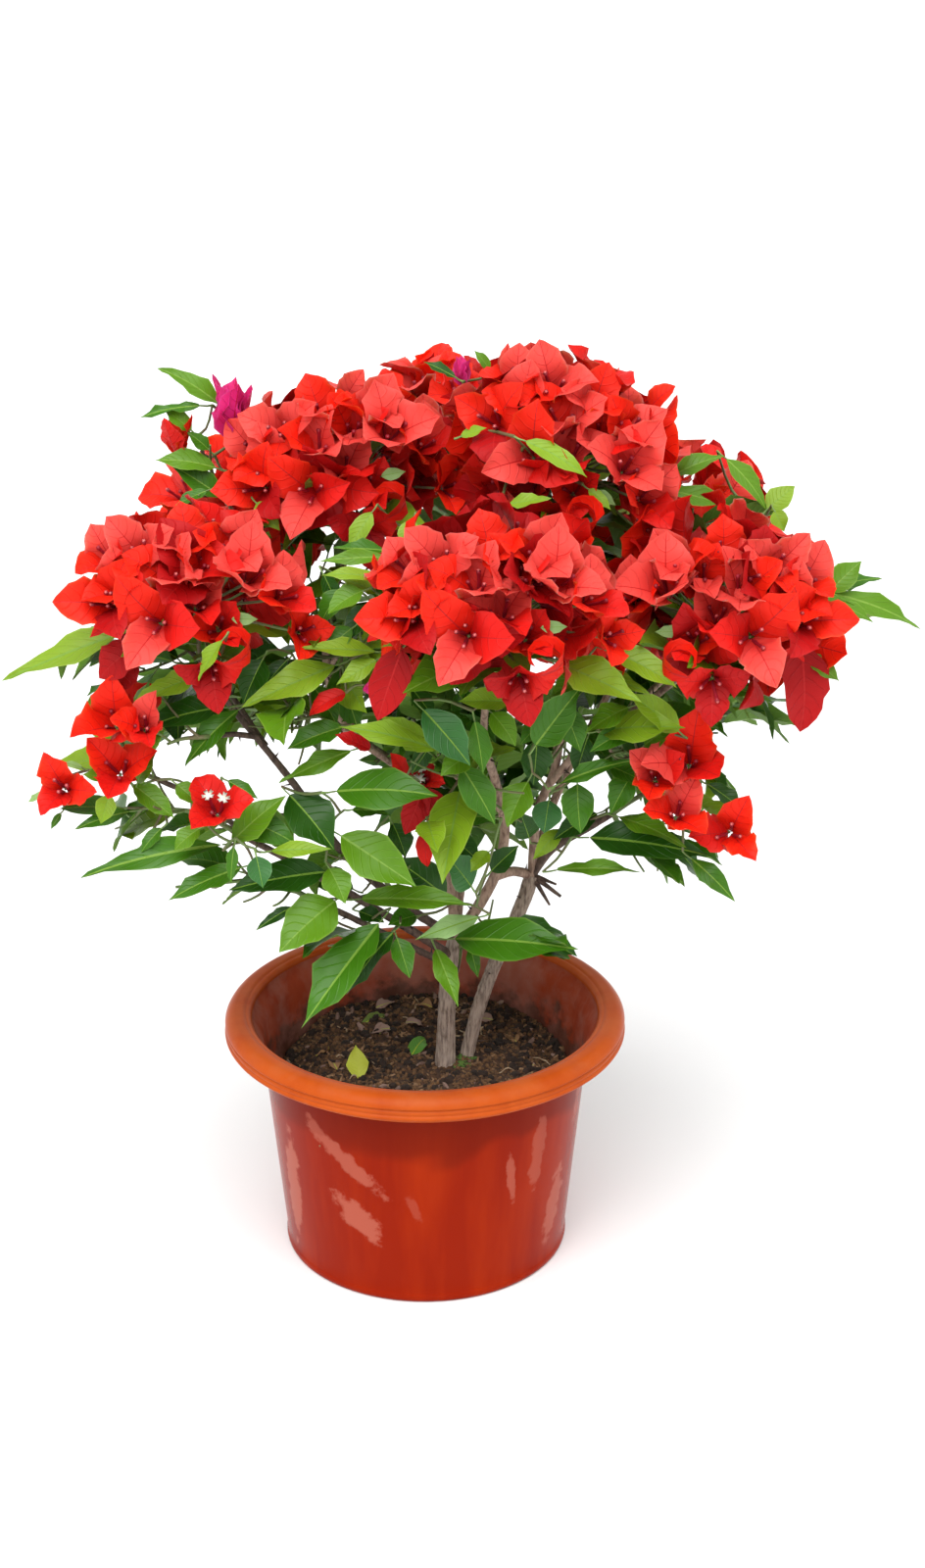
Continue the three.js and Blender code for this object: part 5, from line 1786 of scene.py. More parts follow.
# Coral is the bracts' red with painted light, and deep the same red with painted shade.
BRACT_FINISHES = [
    BladeFinish(
        "bract_coral", (0.76, 0.062, 0.05), (0.4, 0.006, 0.007), (0.8, 0.1, 0.07),
        roughness=0.5, veins=6.0, amount=0.15, edge_amount=0.1, glow=0.2, patch=0.9, throat=0.75,
    ),
    BladeFinish(
        "bract_scarlet", (0.78, 0.015, 0.004), (0.4, 0.003, 0.002), (0.82, 0.04, 0.02),
        roughness=0.5, veins=6.0, amount=0.15, edge_amount=0.1, glow=0.25, patch=0.88, throat=0.65,
    ),
    BladeFinish(
        "bract_red", (0.63, 0.009, 0.006), (0.32, 0.003, 0.003), (0.6, 0.02, 0.015),
        roughness=0.5, veins=6.0, amount=0.15, edge_amount=0.1, glow=0.2, patch=0.86, throat=0.6,
    ),
    BladeFinish(
        "bract_deep", (0.39, 0.004, 0.005), (0.2, 0.002, 0.003), (0.36, 0.012, 0.012),
        roughness=0.52, veins=6.0, amount=0.15, edge_amount=0.1, glow=0.15, patch=0.84, throat=0.5,
    ),
    BladeFinish(
        "bract_magenta", (0.62, 0.016, 0.16), (0.3, 0.004, 0.05), (0.66, 0.05, 0.24),
        roughness=0.5, veins=6.0, amount=0.4, edge_amount=0.15, glow=0.2, patch=0.85, throat=0.5,
    ),
]
BRACT_RIB = BladeFinish(
    "bract_midrib", (0.42, 0.006, 0.006), (0.3, 0.004, 0.005), (0.4, 0.01, 0.01), 0.6, amount=0.0
)


@dataclass
class Bloom:
    """Three bracts round three slender flower tubes: the axis it faces along and its first bract's way."""

    at: np.ndarray
    axis: np.ndarray
    first: np.ndarray
    size: float
    tints: Sequence[BractTint]
    pose: Pose = Pose.OPEN
    spread: float = 0.0

    def __post_init__(self) -> None:
        """Square the first bract's way to the axis and settle how wide the bloom opens."""
        self.first = unit(self.first - self.axis * float(self.first @ self.axis))
        self.spread = self.spread or float(self.pose.value)

    def marks(self) -> np.ndarray:
        """Give the bract tips and the centre."""
        a = math.radians(self.spread)
        ways = [spun(self.first, self.axis, 120 * k) for k in range(3)]
        tips = [self.at + (w * math.sin(a) + self.axis * math.cos(a)) * self.size for w in ways]
        return np.array(tips + [self.at])


class FrontView:
    """What stays open, and what stays in view, as seen from the front eye point."""

    def __init__(self) -> None:
        """Take in the gaps, with nothing in view yet."""
        self.gaps = np.array(OPENINGS, float)
        self.shown = np.empty((0, 3))

    def _seen(self, points: np.ndarray) -> np.ndarray:
        """Give x and z where the lines from the eye through points cross the plane y = 0."""
        share = -EYE[1] / (points[:, 1] - EYE[1])
        return (EYE + (points - EYE) * share[:, None])[:, [0, 2]]

    def keep(self, points: np.ndarray) -> None:
        """Keep points in view from now on."""
        self.shown = np.vstack([self.shown, np.column_stack([self._seen(points), points[:, 1]])])

    def allows(self, points: np.ndarray, margin: float = 0.0) -> bool:
        """Say whether points leave the gaps open and the shown pieces in view.

        Args:
            points: The points of a new piece.
            margin: How far it keeps from the line to a shown piece behind it.

        Returns:
            Whether the piece may grow.
        """
        at = self._seen(points)
        if bool((np.linalg.norm(at[:, None] - self.gaps[None, :, :2], axis=-1) < self.gaps[:, 2]).any()):
            return False
        if not margin or not len(self.shown):
            return True
        near = np.linalg.norm(at[:, None] - self.shown[None, :, :2], axis=-1) < margin
        before = points[:, 1][:, None] < self.shown[None, :, 2] - 2
        return not bool((near & before).any())


# How a grown leaf may be bent, folded, waved, turned over and broad, from and to.
LEAF_BEND = (14, 46)
LEAF_FOLD = (8, 28)
LEAF_WAVE = (0.02, 0.055)
LEAF_TWIST = (-22, 22)
LEAF_WIDTH = (0.46, 0.6)

# How a bloom's bracts may be folded, waved and twisted, from and to.
BRACT_FOLD = (4, 30)
BRACT_WAVE = (0.04, 0.09)
BRACT_TWIST = (-26, 26)
FULL_TURN = 6.3

# Where a new leaf is tested: tip, both sides and along the rib, by share of its length.
LEAF_MARKS = ((1, 0), (0.5, 0.26), (0.5, -0.26), (0.25, 0), (0.75, 0))
SHOOT_SHARES = (0, 0.25, 0.5, 0.75, 1)
SHORT_SHOOT_SHARES = (0, 0.33, 0.67, 1)
TUBE_SHARES = (0, 0.3, 0.62, 0.86, 0.97, 1.0)


class Crown:
    """Everything that grows: boughs in bark relief, twigs, leaves, bracts and flowers."""

    def __init__(self) -> None:
        """Work out the limbs, the spaces and the obstacles."""
        self.limbs = {limb.name: limb for limb in LIMBS}
        self.leaves = BladeBatch(LEAF_OUTLINE, len(LeafTint))
        self.bracts = BladeBatch(BRACT_OUTLINE, len(BractTint))
        self.twigs = PathBundle()
        self.stalks = PathBundle()
        self.bloom_stalks = PathBundle()
        self.tubes = PathBundle()
        self.thorns = PathBundle()
        self.stars: list[tuple[np.ndarray, np.ndarray]] = []
        self.dots: list[tuple[np.ndarray, np.ndarray]] = []
        self.view = FrontView()
        self.middles = np.empty((0, 3))
        self.obstacles = Obstacles()
        self._lay_stems()

    def _lay_stems(self) -> None:
        """Lay each mass's stem, its space and the bars of all limbs and stems."""
        for mass in MASSES:
            limb = self.limbs[mass.on]
            at_tip = mass.at >= 1
            foot = limb.line.at(mass.at)
            mass.room = room_of(mass, foot)
            tip = np.array(mass.tip, float)
            onward = limb.line.towards(1) if at_tip else unit(tip - foot)
            goal = mass.room.centre.copy() if mass.part is Part.HEAD else tip
            if mass.part is Part.SPRAY:
                goal = goal - unit(goal - foot) * LEAF_LENGTH * 0.9
            reach = float(np.linalg.norm(foot - goal))
            lead = unit(np.array(mass.aside, float)) if mass.aside else onward
            first = foot + lead * reach * 0.35
            second = lerp(foot, goal, 0.7)
            lift = reach * 0.06 if mass.part is Part.SPRAY else 0
            second[2] += mass.droop if mass.droop is not None else lift
            mass.stem = Line([foot, first, second, goal])
        set_borders(MASSES)
        for limb in LIMBS:
            self.obstacles.add(limb.name, limb.line, limb.radius, 12)
        for mass in MASSES:
            self.obstacles.add(mass.name, mass.stem, lambda _: STEM_RADIUS, 6)
        self.obstacles.settle()

    # -- single pieces --

    def _roomy(self, root: np.ndarray, along: np.ndarray, length: float, gap: float) -> bool:
        """Say whether a blade would lie apart from those already there, and keep its middle if so."""
        marks = np.array([root + along * length * s for s in (0.35, 0.6, 0.85)])
        if len(self.middles):
            near = np.linalg.norm(self.middles[None] - marks[:, None], axis=-1)
            if float(near.min()) < gap:
                return False
        self.middles = np.vstack([self.middles, marks])
        return True

    def leaf(
        self,
        room: Room | None,
        draw: Draws,
        spot: np.ndarray,
        shoot: np.ndarray,
        turn: float,
        lean: float,
        length: float,
        tint: LeafTint,
        gap: float = LOOSE_GAP,
    ) -> bool:
        """Grow a leaf beside a shoot if its space allows.

        Args:
            room: The space that it stays in, if any.
            draw: A series of numbers.
            spot: Where it leaves the shoot.
            shoot: The shoot's direction.
            turn: Its turn round the shoot, in degrees.
            lean: How far it leans off the shoot's line, in degrees.
            length: Its blade's length.
            tint: Its colour.
            gap: How far its middle keeps from the middles of other leaves.

        Returns:
            Whether it grew.
        """
        roll = (draw() - 0.5) * 50
        size = length * (0.82 + 0.34 * draw())
        out = across(shoot, turn)
        along = shoot * math.cos(math.radians(lean)) + out * math.sin(math.radians(lean))
        outward = unit(np.array([spot[0], spot[1], 0]) - AXIS)
        fall = min(1, lean / 45)
        along = unit(along + outward * 0.35 * fall - UP * 0.2 * fall)
        face = UP + outward * 0.75
        face = spun(unit(face - along * float(face @ along)), along, roll)
        bend, fold, wave = draw.between(*LEAF_BEND), draw.between(*LEAF_FOLD), draw.between(*LEAF_WAVE)
        shape = (bend, fold, wave, draw() * FULL_TURN, draw.between(*LEAF_TWIST))
        width = draw.between(*LEAF_WIDTH)
        side = np.cross(face, along)
        for share in (1, 0.88, 0.76, 0.64):
            span = size * share
            stalk = 0.1 * span + 2
            root = spot + along * stalk
            samples = np.array([root + along * span * s + side * span * w for s, w in LEAF_MARKS])
            if (room and not room.holds(samples[:3], 4)) or not self.obstacles.clear("", samples, 2.0):
                continue
            if not self.view.allows(samples, 7):
                continue
            if not self._roomy(root, along, span, gap):
                return False
            self.add_leaf(spot, root, along, face, span, width, shape, tint)
            return True
        return False

    def add_leaf(
        self,
        spot: np.ndarray,
        root: np.ndarray,
        along: np.ndarray,
        face: np.ndarray,
        span: float,
        width: float,
        shape: tuple[float, float, float, float, float],
        tint: LeafTint,
    ) -> None:
        """Add a leaf's blade and the stalk that carries it."""
        bend, fold, wave, phase, twist = shape
        self.leaves.add(Blade(root, along, face, span, width, bend, fold, wave, phase, twist, tint.value))
        knee = lerp(spot, root, 0.55) - UP * 0.6
        self.stalks.add(np.array([spot, knee, root + along * 1.5]), STALK_GIRTHS)

    def bloom(self, bloom: Bloom, draw: Draws) -> None:
        """Add a bloom's three bracts and its flower tubes.

        Args:
            bloom: The bloom.
            draw: The series of numbers of the mass it grows on.
        """
        bud = bloom.pose in (Pose.BUD, Pose.CUP)
        start = BRACT_STARTS.get(bloom.pose, OTHER_START)
        narrow, wide = BRACT_WIDTHS.get(bloom.pose, OTHER_WIDTHS)
        for k in range(3):
            radial = spun(bloom.first, bloom.axis, 120 * k + draw.between(-9, 9))
            size = bloom.size * draw.between(0.93, 1.08)
            tilt = math.radians(start + draw.between(-6, 6))
            along = radial * math.sin(tilt) + bloom.axis * math.cos(tilt)
            face = bloom.axis * math.sin(tilt) - radial * math.cos(tilt)
            bend = (bloom.spread - start) * 1.5 + draw.between(-10, 12)
            width = draw.between(narrow, wide)
            fold, wave = draw.between(*BRACT_FOLD), draw.between(*BRACT_WAVE)
            twist = draw.between(*BRACT_TWIST)
            phase, tint = draw() * FULL_TURN, bloom.tints[k].value
            root = bloom.at + radial * 0.8
            self.bracts.add(Blade(root, along, face, size, width, bend, fold, wave, phase, twist, tint))
            if bud:
                continue
            lean = math.radians(draw.between(8, 30))
            to = bloom.axis * math.cos(lean) + spun(radial, bloom.axis, 24) * math.sin(lean)
            long = bloom.size * draw.between(0.34, 0.5)
            foot = bloom.at + radial * 1.6
            path = np.array([foot + to * long * s + bloom.axis * 1.2 * s * s for s in TUBE_SHARES])
            self.tubes.add(path, (0.9, 1.2, 0.85, 1.0, 1.4, 0.5))
            end = (path[-1] + to * 0.25, unit(to + TO_FRONT * 0.4))
            if bloom.pose is Pose.STAR and k < 2:
                self.stars.append(end)
            elif bloom.pose is Pose.OPEN or draw() < 0.35:
                self.dots.append(end)

    # -- masses --

    def _front_bloom(self, mass: Mass, row: tuple[Any, ...], turn: float, mirror: int) -> Bloom:
        """Place one bloom of the pattern on a head's front.

        Args:
            mass: The head.
            row: The bloom's row in the pattern.
            turn: How far the pattern is turned on this head.
            mirror: 1, or -1 for a mirrored pattern.

        Returns:
            The bloom.
        """
        right, up, angle, size, tints, pose, lift = row
        out = spun(ACROSS * right * mirror + FRONT_UP * up, TO_FRONT, turn)
        first = ACROSS * math.cos(math.radians(angle)) * mirror + FRONT_UP * math.sin(math.radians(angle))
        way = spun(first, TO_FRONT, turn)
        flat = (np.linalg.norm(out) / PATTERN_HALF) ** 2
        depth = math.sqrt(max(0.12, 1 - flat)) * mass.half[1] * PATTERN_REACH + (size - 0.8) * PATTERN_STAGGER
        at = mass.room.centre - FRONT_UP * PATTERN_DROP + out * 0.98 + TO_FRONT * depth
        axis = unit(TO_FRONT * (1 - 0.4 * lift) + FRONT_UP * lift + out / 120)
        keys = [BRACT_KEYS[t] for t in tints]
        if mirror < 0:
            keys = [keys[0], keys[2], keys[1]]
        return Bloom(at, axis, way, BRACT_LENGTH * size, keys, pose)

    def _front_spot(self, mass: Mass, place: Point, turn: float, mirror: int) -> np.ndarray:
        """Give a spot on a head's front: across, up, and forward by share of the head's depth."""
        right, up, reach = place
        out = spun(ACROSS * right * mirror + FRONT_UP * up, TO_FRONT, turn)
        return mass.room.centre - FRONT_UP * PATTERN_DROP + out + TO_FRONT * mass.half[1] * reach

    def _grow_front(self, mass: Mass, draw: Draws) -> None:
        """Set the pattern of blooms on a head's front, with one bract curled into a loop."""
        turn, mirror = FRONT_HEADS[mass.name]
        for row in HEAD_FRONT:
            bloom = self._front_bloom(mass, row, turn + draw.between(-5, 5), mirror)
            self.bloom(bloom, draw)
            start = mass.stem.at(0.9)
            stalk = Line([start, lerp(start, bloom.at, 0.5) - UP * 2, bloom.at])
            self.bloom_stalks.add(stalk.stops(5), [0.85] * 5)
            self.view.keep(bloom.marks()[-1:])
        ring = unit(TO_FRONT * 0.75 + FRONT_UP * 0.66)
        way = spun(ACROSS * mirror, TO_FRONT, turn)
        axis = unit(ring - way * float(ring @ way)) * mirror
        loop = Blade(
            root=self._front_spot(mass, LOOP_PLACE, turn, mirror),
            along=way,
            face=np.cross(way, axis),
            length=BRACT_LENGTH * 1.55,
            width=0.24,
            bend=320,
            fold=4,
            wave=0.01,
            phase=0,
            twist=0,
            tint=BractTint.SCARLET.value,
        )
        heart = Blade(
            root=self._front_spot(mass, HEART_PLACE, turn, mirror) - way * 7,
            along=way,
            face=TO_FRONT,
            length=15,
            width=0.5,
            bend=20,
            fold=14,
            wave=0.04,
            phase=1,
            twist=10,
            tint=LeafTint.PALE.value,
        )
        self.bracts.add(loop)
        self.leaves.add(heart)
        stalk = [heart.root - TO_FRONT * 12, heart.root - TO_FRONT * 3, heart.root + way]
        self.stalks.add(np.array(stalk), (0.6, 0.5, 0.4))

    def _grow_head(self, mass: Mass) -> None:
        """Fan blooms out from a head's stem over all its round, with a collar of leaves under them."""
        draw = Draws(mass.seed)
        half = np.array(mass.half, float)
        bract = BRACT_LENGTH * min(1, 0.45 + min(mass.half) / 120)
        steered = mass.name in FRONT_HEADS
        most = 0.3 if steered else -0.1 if mass.name in LOW_HEADS else 2
        outer = round(mass.blooms * (STEERED_BLOOMS if steered else ROUND_BLOOMS))
        inner = round(mass.blooms * INNER_BLOOMS)
        self.bloom_stalks.add(mass.stem.stops(8), [lerp(STEM_RADIUS, 1.0, k / 7) for k in range(8)])
        if steered:
            self._grow_front(mass, draw)
        for i in range(outer + inner):
            deep = i >= outer
            count, k = (inner, i - outer) if deep else (outer, i)
            cosine = 1 - ((k + 0.5) / count) * 1.6
            turn = math.radians(k * GOLDEN + draw() * 26)
            sine = math.sqrt(max(0, 1 - cosine * cosine))
            out = np.array([sine * math.cos(turn), sine * math.sin(turn), cosine])
            tilt = np.array([draw() - 0.5, draw() - 0.5, draw() - 0.5]) * 0.6
            axis = unit(out + tilt)
            spin = draw() * 120
            spread = 54 + draw() * 20
            size = bract * (0.86 + 0.2 * draw())
            start = mass.stem.at(0.66 + 0.2 * (cosine + 0.5))
            tints = self._bract_tints(draw, deep, cosine)
            if not deep and float(out @ TO_FRONT) > most:
                continue
            tries = (0.42, 0.34) if deep else (0.76, 0.7, 0.64, 0.58, 0.52, 0.46)
            for reach in tries:
                at = mass.room.centre + out * half * reach
                bloom = Bloom(at, axis, across(axis, spin), size, tints, Pose.TUBES, spread)
                if self._bloom_fits(mass, bloom):
                    self.bloom(bloom, draw)
                    mid = lerp(start, at, 0.5) - UP * 2
                    self.bloom_stalks.add(Line([start, mid, at]).stops(5), (0.95, 0.85, 0.75, 0.75, 0.9))
                    break
        for i in range(12):
            share = 0.06 + 0.055 * i
            shoot = mass.stem.towards(share)
            tint = LeafTint.FRESH if draw() < 0.6 else LeafTint.LIME
            spot, length = mass.stem.at(share), LEAF_LENGTH * 0.95
            self.leaf(mass.room, draw, spot, shoot, i * GOLDEN, 78 - 2 * i, length, tint)

    def _bract_tints(self, draw: Draws, deep: bool, cosine: float) -> list[BractTint]:
        """Choose three bracts' colours as painted light and shade: lit coral on top, shaded deeper reds
        inside and underneath.
        """
        tints = []
        for _ in range(3):
            roll = draw() - 0.22 * cosine
            if deep:
                tints.append(BractTint.DEEP if roll < 0.5 else BractTint.RED)
            elif roll < 0.3:
                tints.append(BractTint.CORAL)
            elif roll < 0.66:
                tints.append(BractTint.SCARLET)
            else:
                tints.append(BractTint.RED if roll < 0.95 else BractTint.DEEP)
        return tints

    def _bloom_fits(self, mass: Mass, bloom: Bloom) -> bool:
        """Say whether a bloom stays in the mass's space, clear of the boughs and of the gaps."""
        marks = bloom.marks()
        fits = mass.room.holds(marks, 3, 0.9) and self.obstacles.clear(mass.name, marks, 2.5)
        return fits and self.view.allows(marks, 5)

    def _grow_spray(self, mass: Mass) -> None:
        """Alternate leaves and leafy side shoots along a spray's stem, with a leaf at each end."""
        draw = Draws(mass.seed)
        dense = mass.name in (*CENTRE_SPRAYS, *BACK_SPRAYS)
        step, gap = (DENSE_STEP, DENSE_GAP) if dense else (LOOSE_STEP, LOOSE_GAP)
        nodes = max(6, round(mass.stem.length / (LEAF_PITCH * step)))
        tints = self._spray_tints(mass)
        self.twigs.add(mass.stem.stops(10), [lerp(STEM_RADIUS, TWIG_RADIUS * 0.8, k / 9) for k in range(10)])

        def pick() -> LeafTint:
            """Draw one of the spray's colours."""
            return tints[min(int(draw() * len(tints)), len(tints) - 1)]

        def end(spot: np.ndarray, along: np.ndarray) -> None:
            """End a shoot with a leaf."""
            self.leaf(mass.room, draw, spot, along, 0, 4, LEAF_LENGTH, pick(), 5)

        end(mass.stem.at(1), mass.stem.towards(1))
        for k in range(nodes - 1, -1, -1):
            share = 0.1 + 0.86 * k / nodes
            spot = mass.stem.at(share)
            shoot = mass.stem.towards(share)
            turn = k * GOLDEN + 90 + 30 * draw()
            lean = math.radians(50 + 18 * draw())
            reach = lerp(mass.spread, mass.rise, 0.4) * (0.55 + 0.35 * draw()) * (1 - 0.25 * share)
            along = unit(shoot * math.cos(lean) + across(shoot, turn) * math.sin(lean))
            tip = spot + along * reach
            path = sagged(spot, tip, SHOOT_SHARES, 2.2)
            inside = mass.room.holds(path[-1:])
            clear = inside and self.obstacles.clear(mass.name, path[1:], TWIG_RADIUS + 0.5)
            if clear and self.view.allows(path[2:]):
                self.twigs.add(path, (1.0, 0.9, 0.8, 0.7, 0.6))
                end(tip, along)
                for at in (0.85, 0.65, 0.45, 0.25):
                    knot, length = lerp(spot, tip, at), LEAF_LENGTH * 0.9
                    self.leaf(mass.room, draw, knot, along, turn + at * 600, 60, length, pick(), gap)
            length = LEAF_LENGTH * (1.05 - 0.2 * share)
            self.leaf(mass.room, draw, spot, shoot, turn + 180, 58, length, pick(), gap)

    def _leaf_boughs(self) -> None:
        """Set leaves and short leafy shoots along the boughs behind, between the masses."""
        draw = Draws(57)
        tints = [LEAF_KEYS[key] for key in BOUGH_KEYS]
        for name, low, high in LEAFY_BOUGHS:
            line = self.limbs[name].line
            nodes = round(line.length * (high - low) / BOUGH_LEAF_PITCH)
            for k in range(nodes):
                share = lerp(low, high, (k + 0.5) / nodes)
                spot, shoot = line.at(share), line.towards(share)
                turn = k * GOLDEN + 40 * draw()
                tint = tints[int(draw() * 4.99)]
                if k % 2:
                    self.leaf(None, draw, spot, shoot, turn, 62, LEAF_LENGTH * 0.8, tint, 6)
                    continue
                along = unit(shoot * 0.55 + across(shoot, turn))
                tip = spot + along * draw.between(26, 44)
                path = sagged(spot, tip, SHORT_SHOOT_SHARES, 2)
                if self.obstacles.clear(name, path[1:], 3) and self.view.allows(path[1:]):
                    self.twigs.add(path, (0.95, 0.85, 0.7, 0.6))
                    self.leaf(None, draw, tip, along, 0, 4, LEAF_LENGTH * 0.85, tint, 5)
                    for at in (0.8, 0.5):
                        knot, length = lerp(spot, tip, at), LEAF_LENGTH * 0.8
                        self.leaf(None, draw, knot, along, turn + at * 600, 60, length, tint, 6)

    def _spray_tints(self, mass: Mass) -> list[LeafTint]:
        """Deal out a spray's leaf colours by where it stands."""
        keys = next((keys for names, keys in SPRAY_KEYS if mass.name in names), OTHER_SPRAY_KEYS)
        return [LEAF_KEYS[key] for key in keys]

    def grow(self) -> None:
        """Set what stands out from the front, then grow every mass behind and around it."""
        for name, low, high in SHOWN_BOUGHS:
            line = self.limbs[name].line
            self.view.keep(np.array([line.at(lerp(low, high, k / 15)) for k in range(16)]))
        self._set_leaves()
        self._set_bracts()
        self._set_blooms()
        for mass in sorted(MASSES, key=lambda m: m.name not in FRONT_HEADS):
            if mass.part is Part.HEAD:
                self._grow_head(mass)
            else:
                self._grow_spray(mass)
        self._leaf_boughs()

    def _placed_blade(self, draw: Draws, row: Sequence[Any], bend: float, wave: float) -> Blade:
        """Lay a blade from the root to the tip of a table row, its face turned up and to the front.

        Args:
            draw: A series of numbers.
            row: Root, tip, width percentage and tint.
            bend: How far its spine bends, in degrees.
            wave: How much its edge waves.

        Returns:
            The blade.
        """
        root, tip = np.array(row[:3], float), np.array(row[3:6], float)
        way = unit(tip - root)
        face = TO_FRONT * 0.75 + UP * 0.55 + ACROSS * draw.between(-0.35, 0.35)
        face = unit(face - way * float(face @ way))
        lean = math.radians(bend * 0.444)
        along = way * math.cos(lean) + face * math.sin(lean)
        face = face * math.cos(lean) - way * math.sin(lean)
        length = float(np.linalg.norm(tip - root)) / (1 - math.radians(bend) ** 2 * 0.04)
        fold, twist = draw.between(6, 20), draw.between(-14, 14)
        width, phase = row[6] / 100, draw() * FULL_TURN
        return Blade(root, along, face, length, width, bend, fold, wave, phase, twist, 0)

    def _set_leaves(self) -> None:
        """Set the leaves that stand out, each on a twig from the nearest bark or twig already there."""
        draw = Draws(17)
        knots = [limb.line.at(k / 20) for limb in LIMBS for k in range(2, 21)]
        knots += [mass.stem.at(k / 12) for mass in MASSES for k in range(1, 12)]
        bark = np.array(knots)
        left = list(SHOWN_LEAVES)
        while left:
            blades = np.array([row[:3] for row in left], float)
            gaps = np.linalg.norm(blades[:, None] - bark[None], axis=-1)
            k, n = np.unravel_index(int(np.argmin(gaps)), gaps.shape)
            row = left.pop(int(k))
            blade = self._placed_blade(draw, row, draw.between(8, 42), draw.between(0.025, 0.06))
            blade.tint = LEAF_KEYS[row[7]].value
            self.leaves.add(blade)
            way = unit(np.array(row[3:6]) - blade.root)
            marks = np.array([blade.root + way * blade.length * s for s in (0.2, 0.5, 0.8)])
            self.middles = np.vstack([self.middles, marks])
            self.view.keep(marks)
            stalk = 0.1 * blade.length + 2
            joint = blade.root - blade.along * stalk
            knee = lerp(joint, blade.root, 0.5) - UP * 0.4
            self.stalks.add(np.array([joint, knee, blade.root + blade.along * 1.5]), STALK_GIRTHS)
            start = bark[n]
            far = float(np.linalg.norm(joint - start))
            lift = UP * min(far * 0.1, 4) * (1 if draw() < 0.6 else -1)
            path = Line([start, lerp(start, joint, 0.5) + lift + tucked(start, joint), joint]).stops(6)
            self.twigs.add(path, np.linspace(1.05 if far > 25 else 0.85, 0.7, 6))
            bark = np.vstack([bark, path[2:]])
        self.bark = bark

    def _stalk_to(self, at: np.ndarray) -> None:
        """Lead a thin stalk from the nearest bark to a point."""
        start = self.bark[int(np.argmin(np.linalg.norm(self.bark - at, axis=1)))]
        path = Line([start, lerp(start, at, 0.5) + UP * 2 + tucked(start, at), at]).stops(6)
        self.twigs.add(path, np.linspace(0.9, 0.7, 6))
        self.bark = np.vstack([self.bark, path[2:]])

    def _set_bracts(self) -> None:
        """Set the single bracts that stand out."""
        draw = Draws(23)
        for row in SHOWN_BRACTS:
            blade = self._placed_blade(draw, row, draw.between(20, 60), draw.between(0.02, 0.05))
            blade.tint = BRACT_KEYS[row[7]].value
            self.bracts.add(blade)
            self._stalk_to(blade.root)

    def _set_blooms(self) -> None:
        """Set the blooms and buds that stand out."""
        draw = Draws(29)
        for x, y, z, angle, size, tints, pose in SHOWN_BLOOMS:
            at = np.array([x, y, z], float)
            bud = pose in (Pose.BUD, Pose.CUP)
            up = 1.4 if bud else 0.8 if pose is Pose.STAR else 0.4 if pose is Pose.TUBES else 0.15
            axis = unit(TO_FRONT * (0.35 if bud else 1) + FRONT_UP * up + ACROSS * draw.between(-0.15, 0.15))
            way = ACROSS * math.cos(math.radians(angle)) + FRONT_UP * math.sin(math.radians(angle))
            bloom = Bloom(at, axis, way, BRACT_LENGTH * size, [BRACT_KEYS[t] for t in tints], pose)
            self.bloom(bloom, draw)
            self.view.keep(lerp(bloom.marks(), at, 0.4))
            self._stalk_to(at)

    def set_thorns(self) -> None:
        """Set short bent thorns along the boughs."""
        draw = Draws(91)
        for limb in LIMBS:
            if limb.name == "trunk":
                continue
            steps = limb.line.length / THORN_PITCH
            for k in range(int(steps)):
                share = (k + 0.5 + 0.4 * draw()) / steps
                if share > 0.97:
                    continue
                spot, way = limb.line.at(share), limb.line.towards(share)
                out = across(way, 360 * draw())
                radius = limb.radius(share)
                foot = spot + out * radius * 0.6
                tip = foot + out * (radius * 0.4 + draw.between(3, 6.5)) + way * 1.8
                self.thorns.add(np.array([foot, lerp(foot, tip, 0.5), tip]), (0.8, 0.5, 0.08))


# Ends and end radii of the dead stubs at the second stem's knuckle.
BROKEN_STUBS = (((84, 4, 231), 0.9), ((77, 0, 227), 0.7), ((81, 2, 240), 0.6))


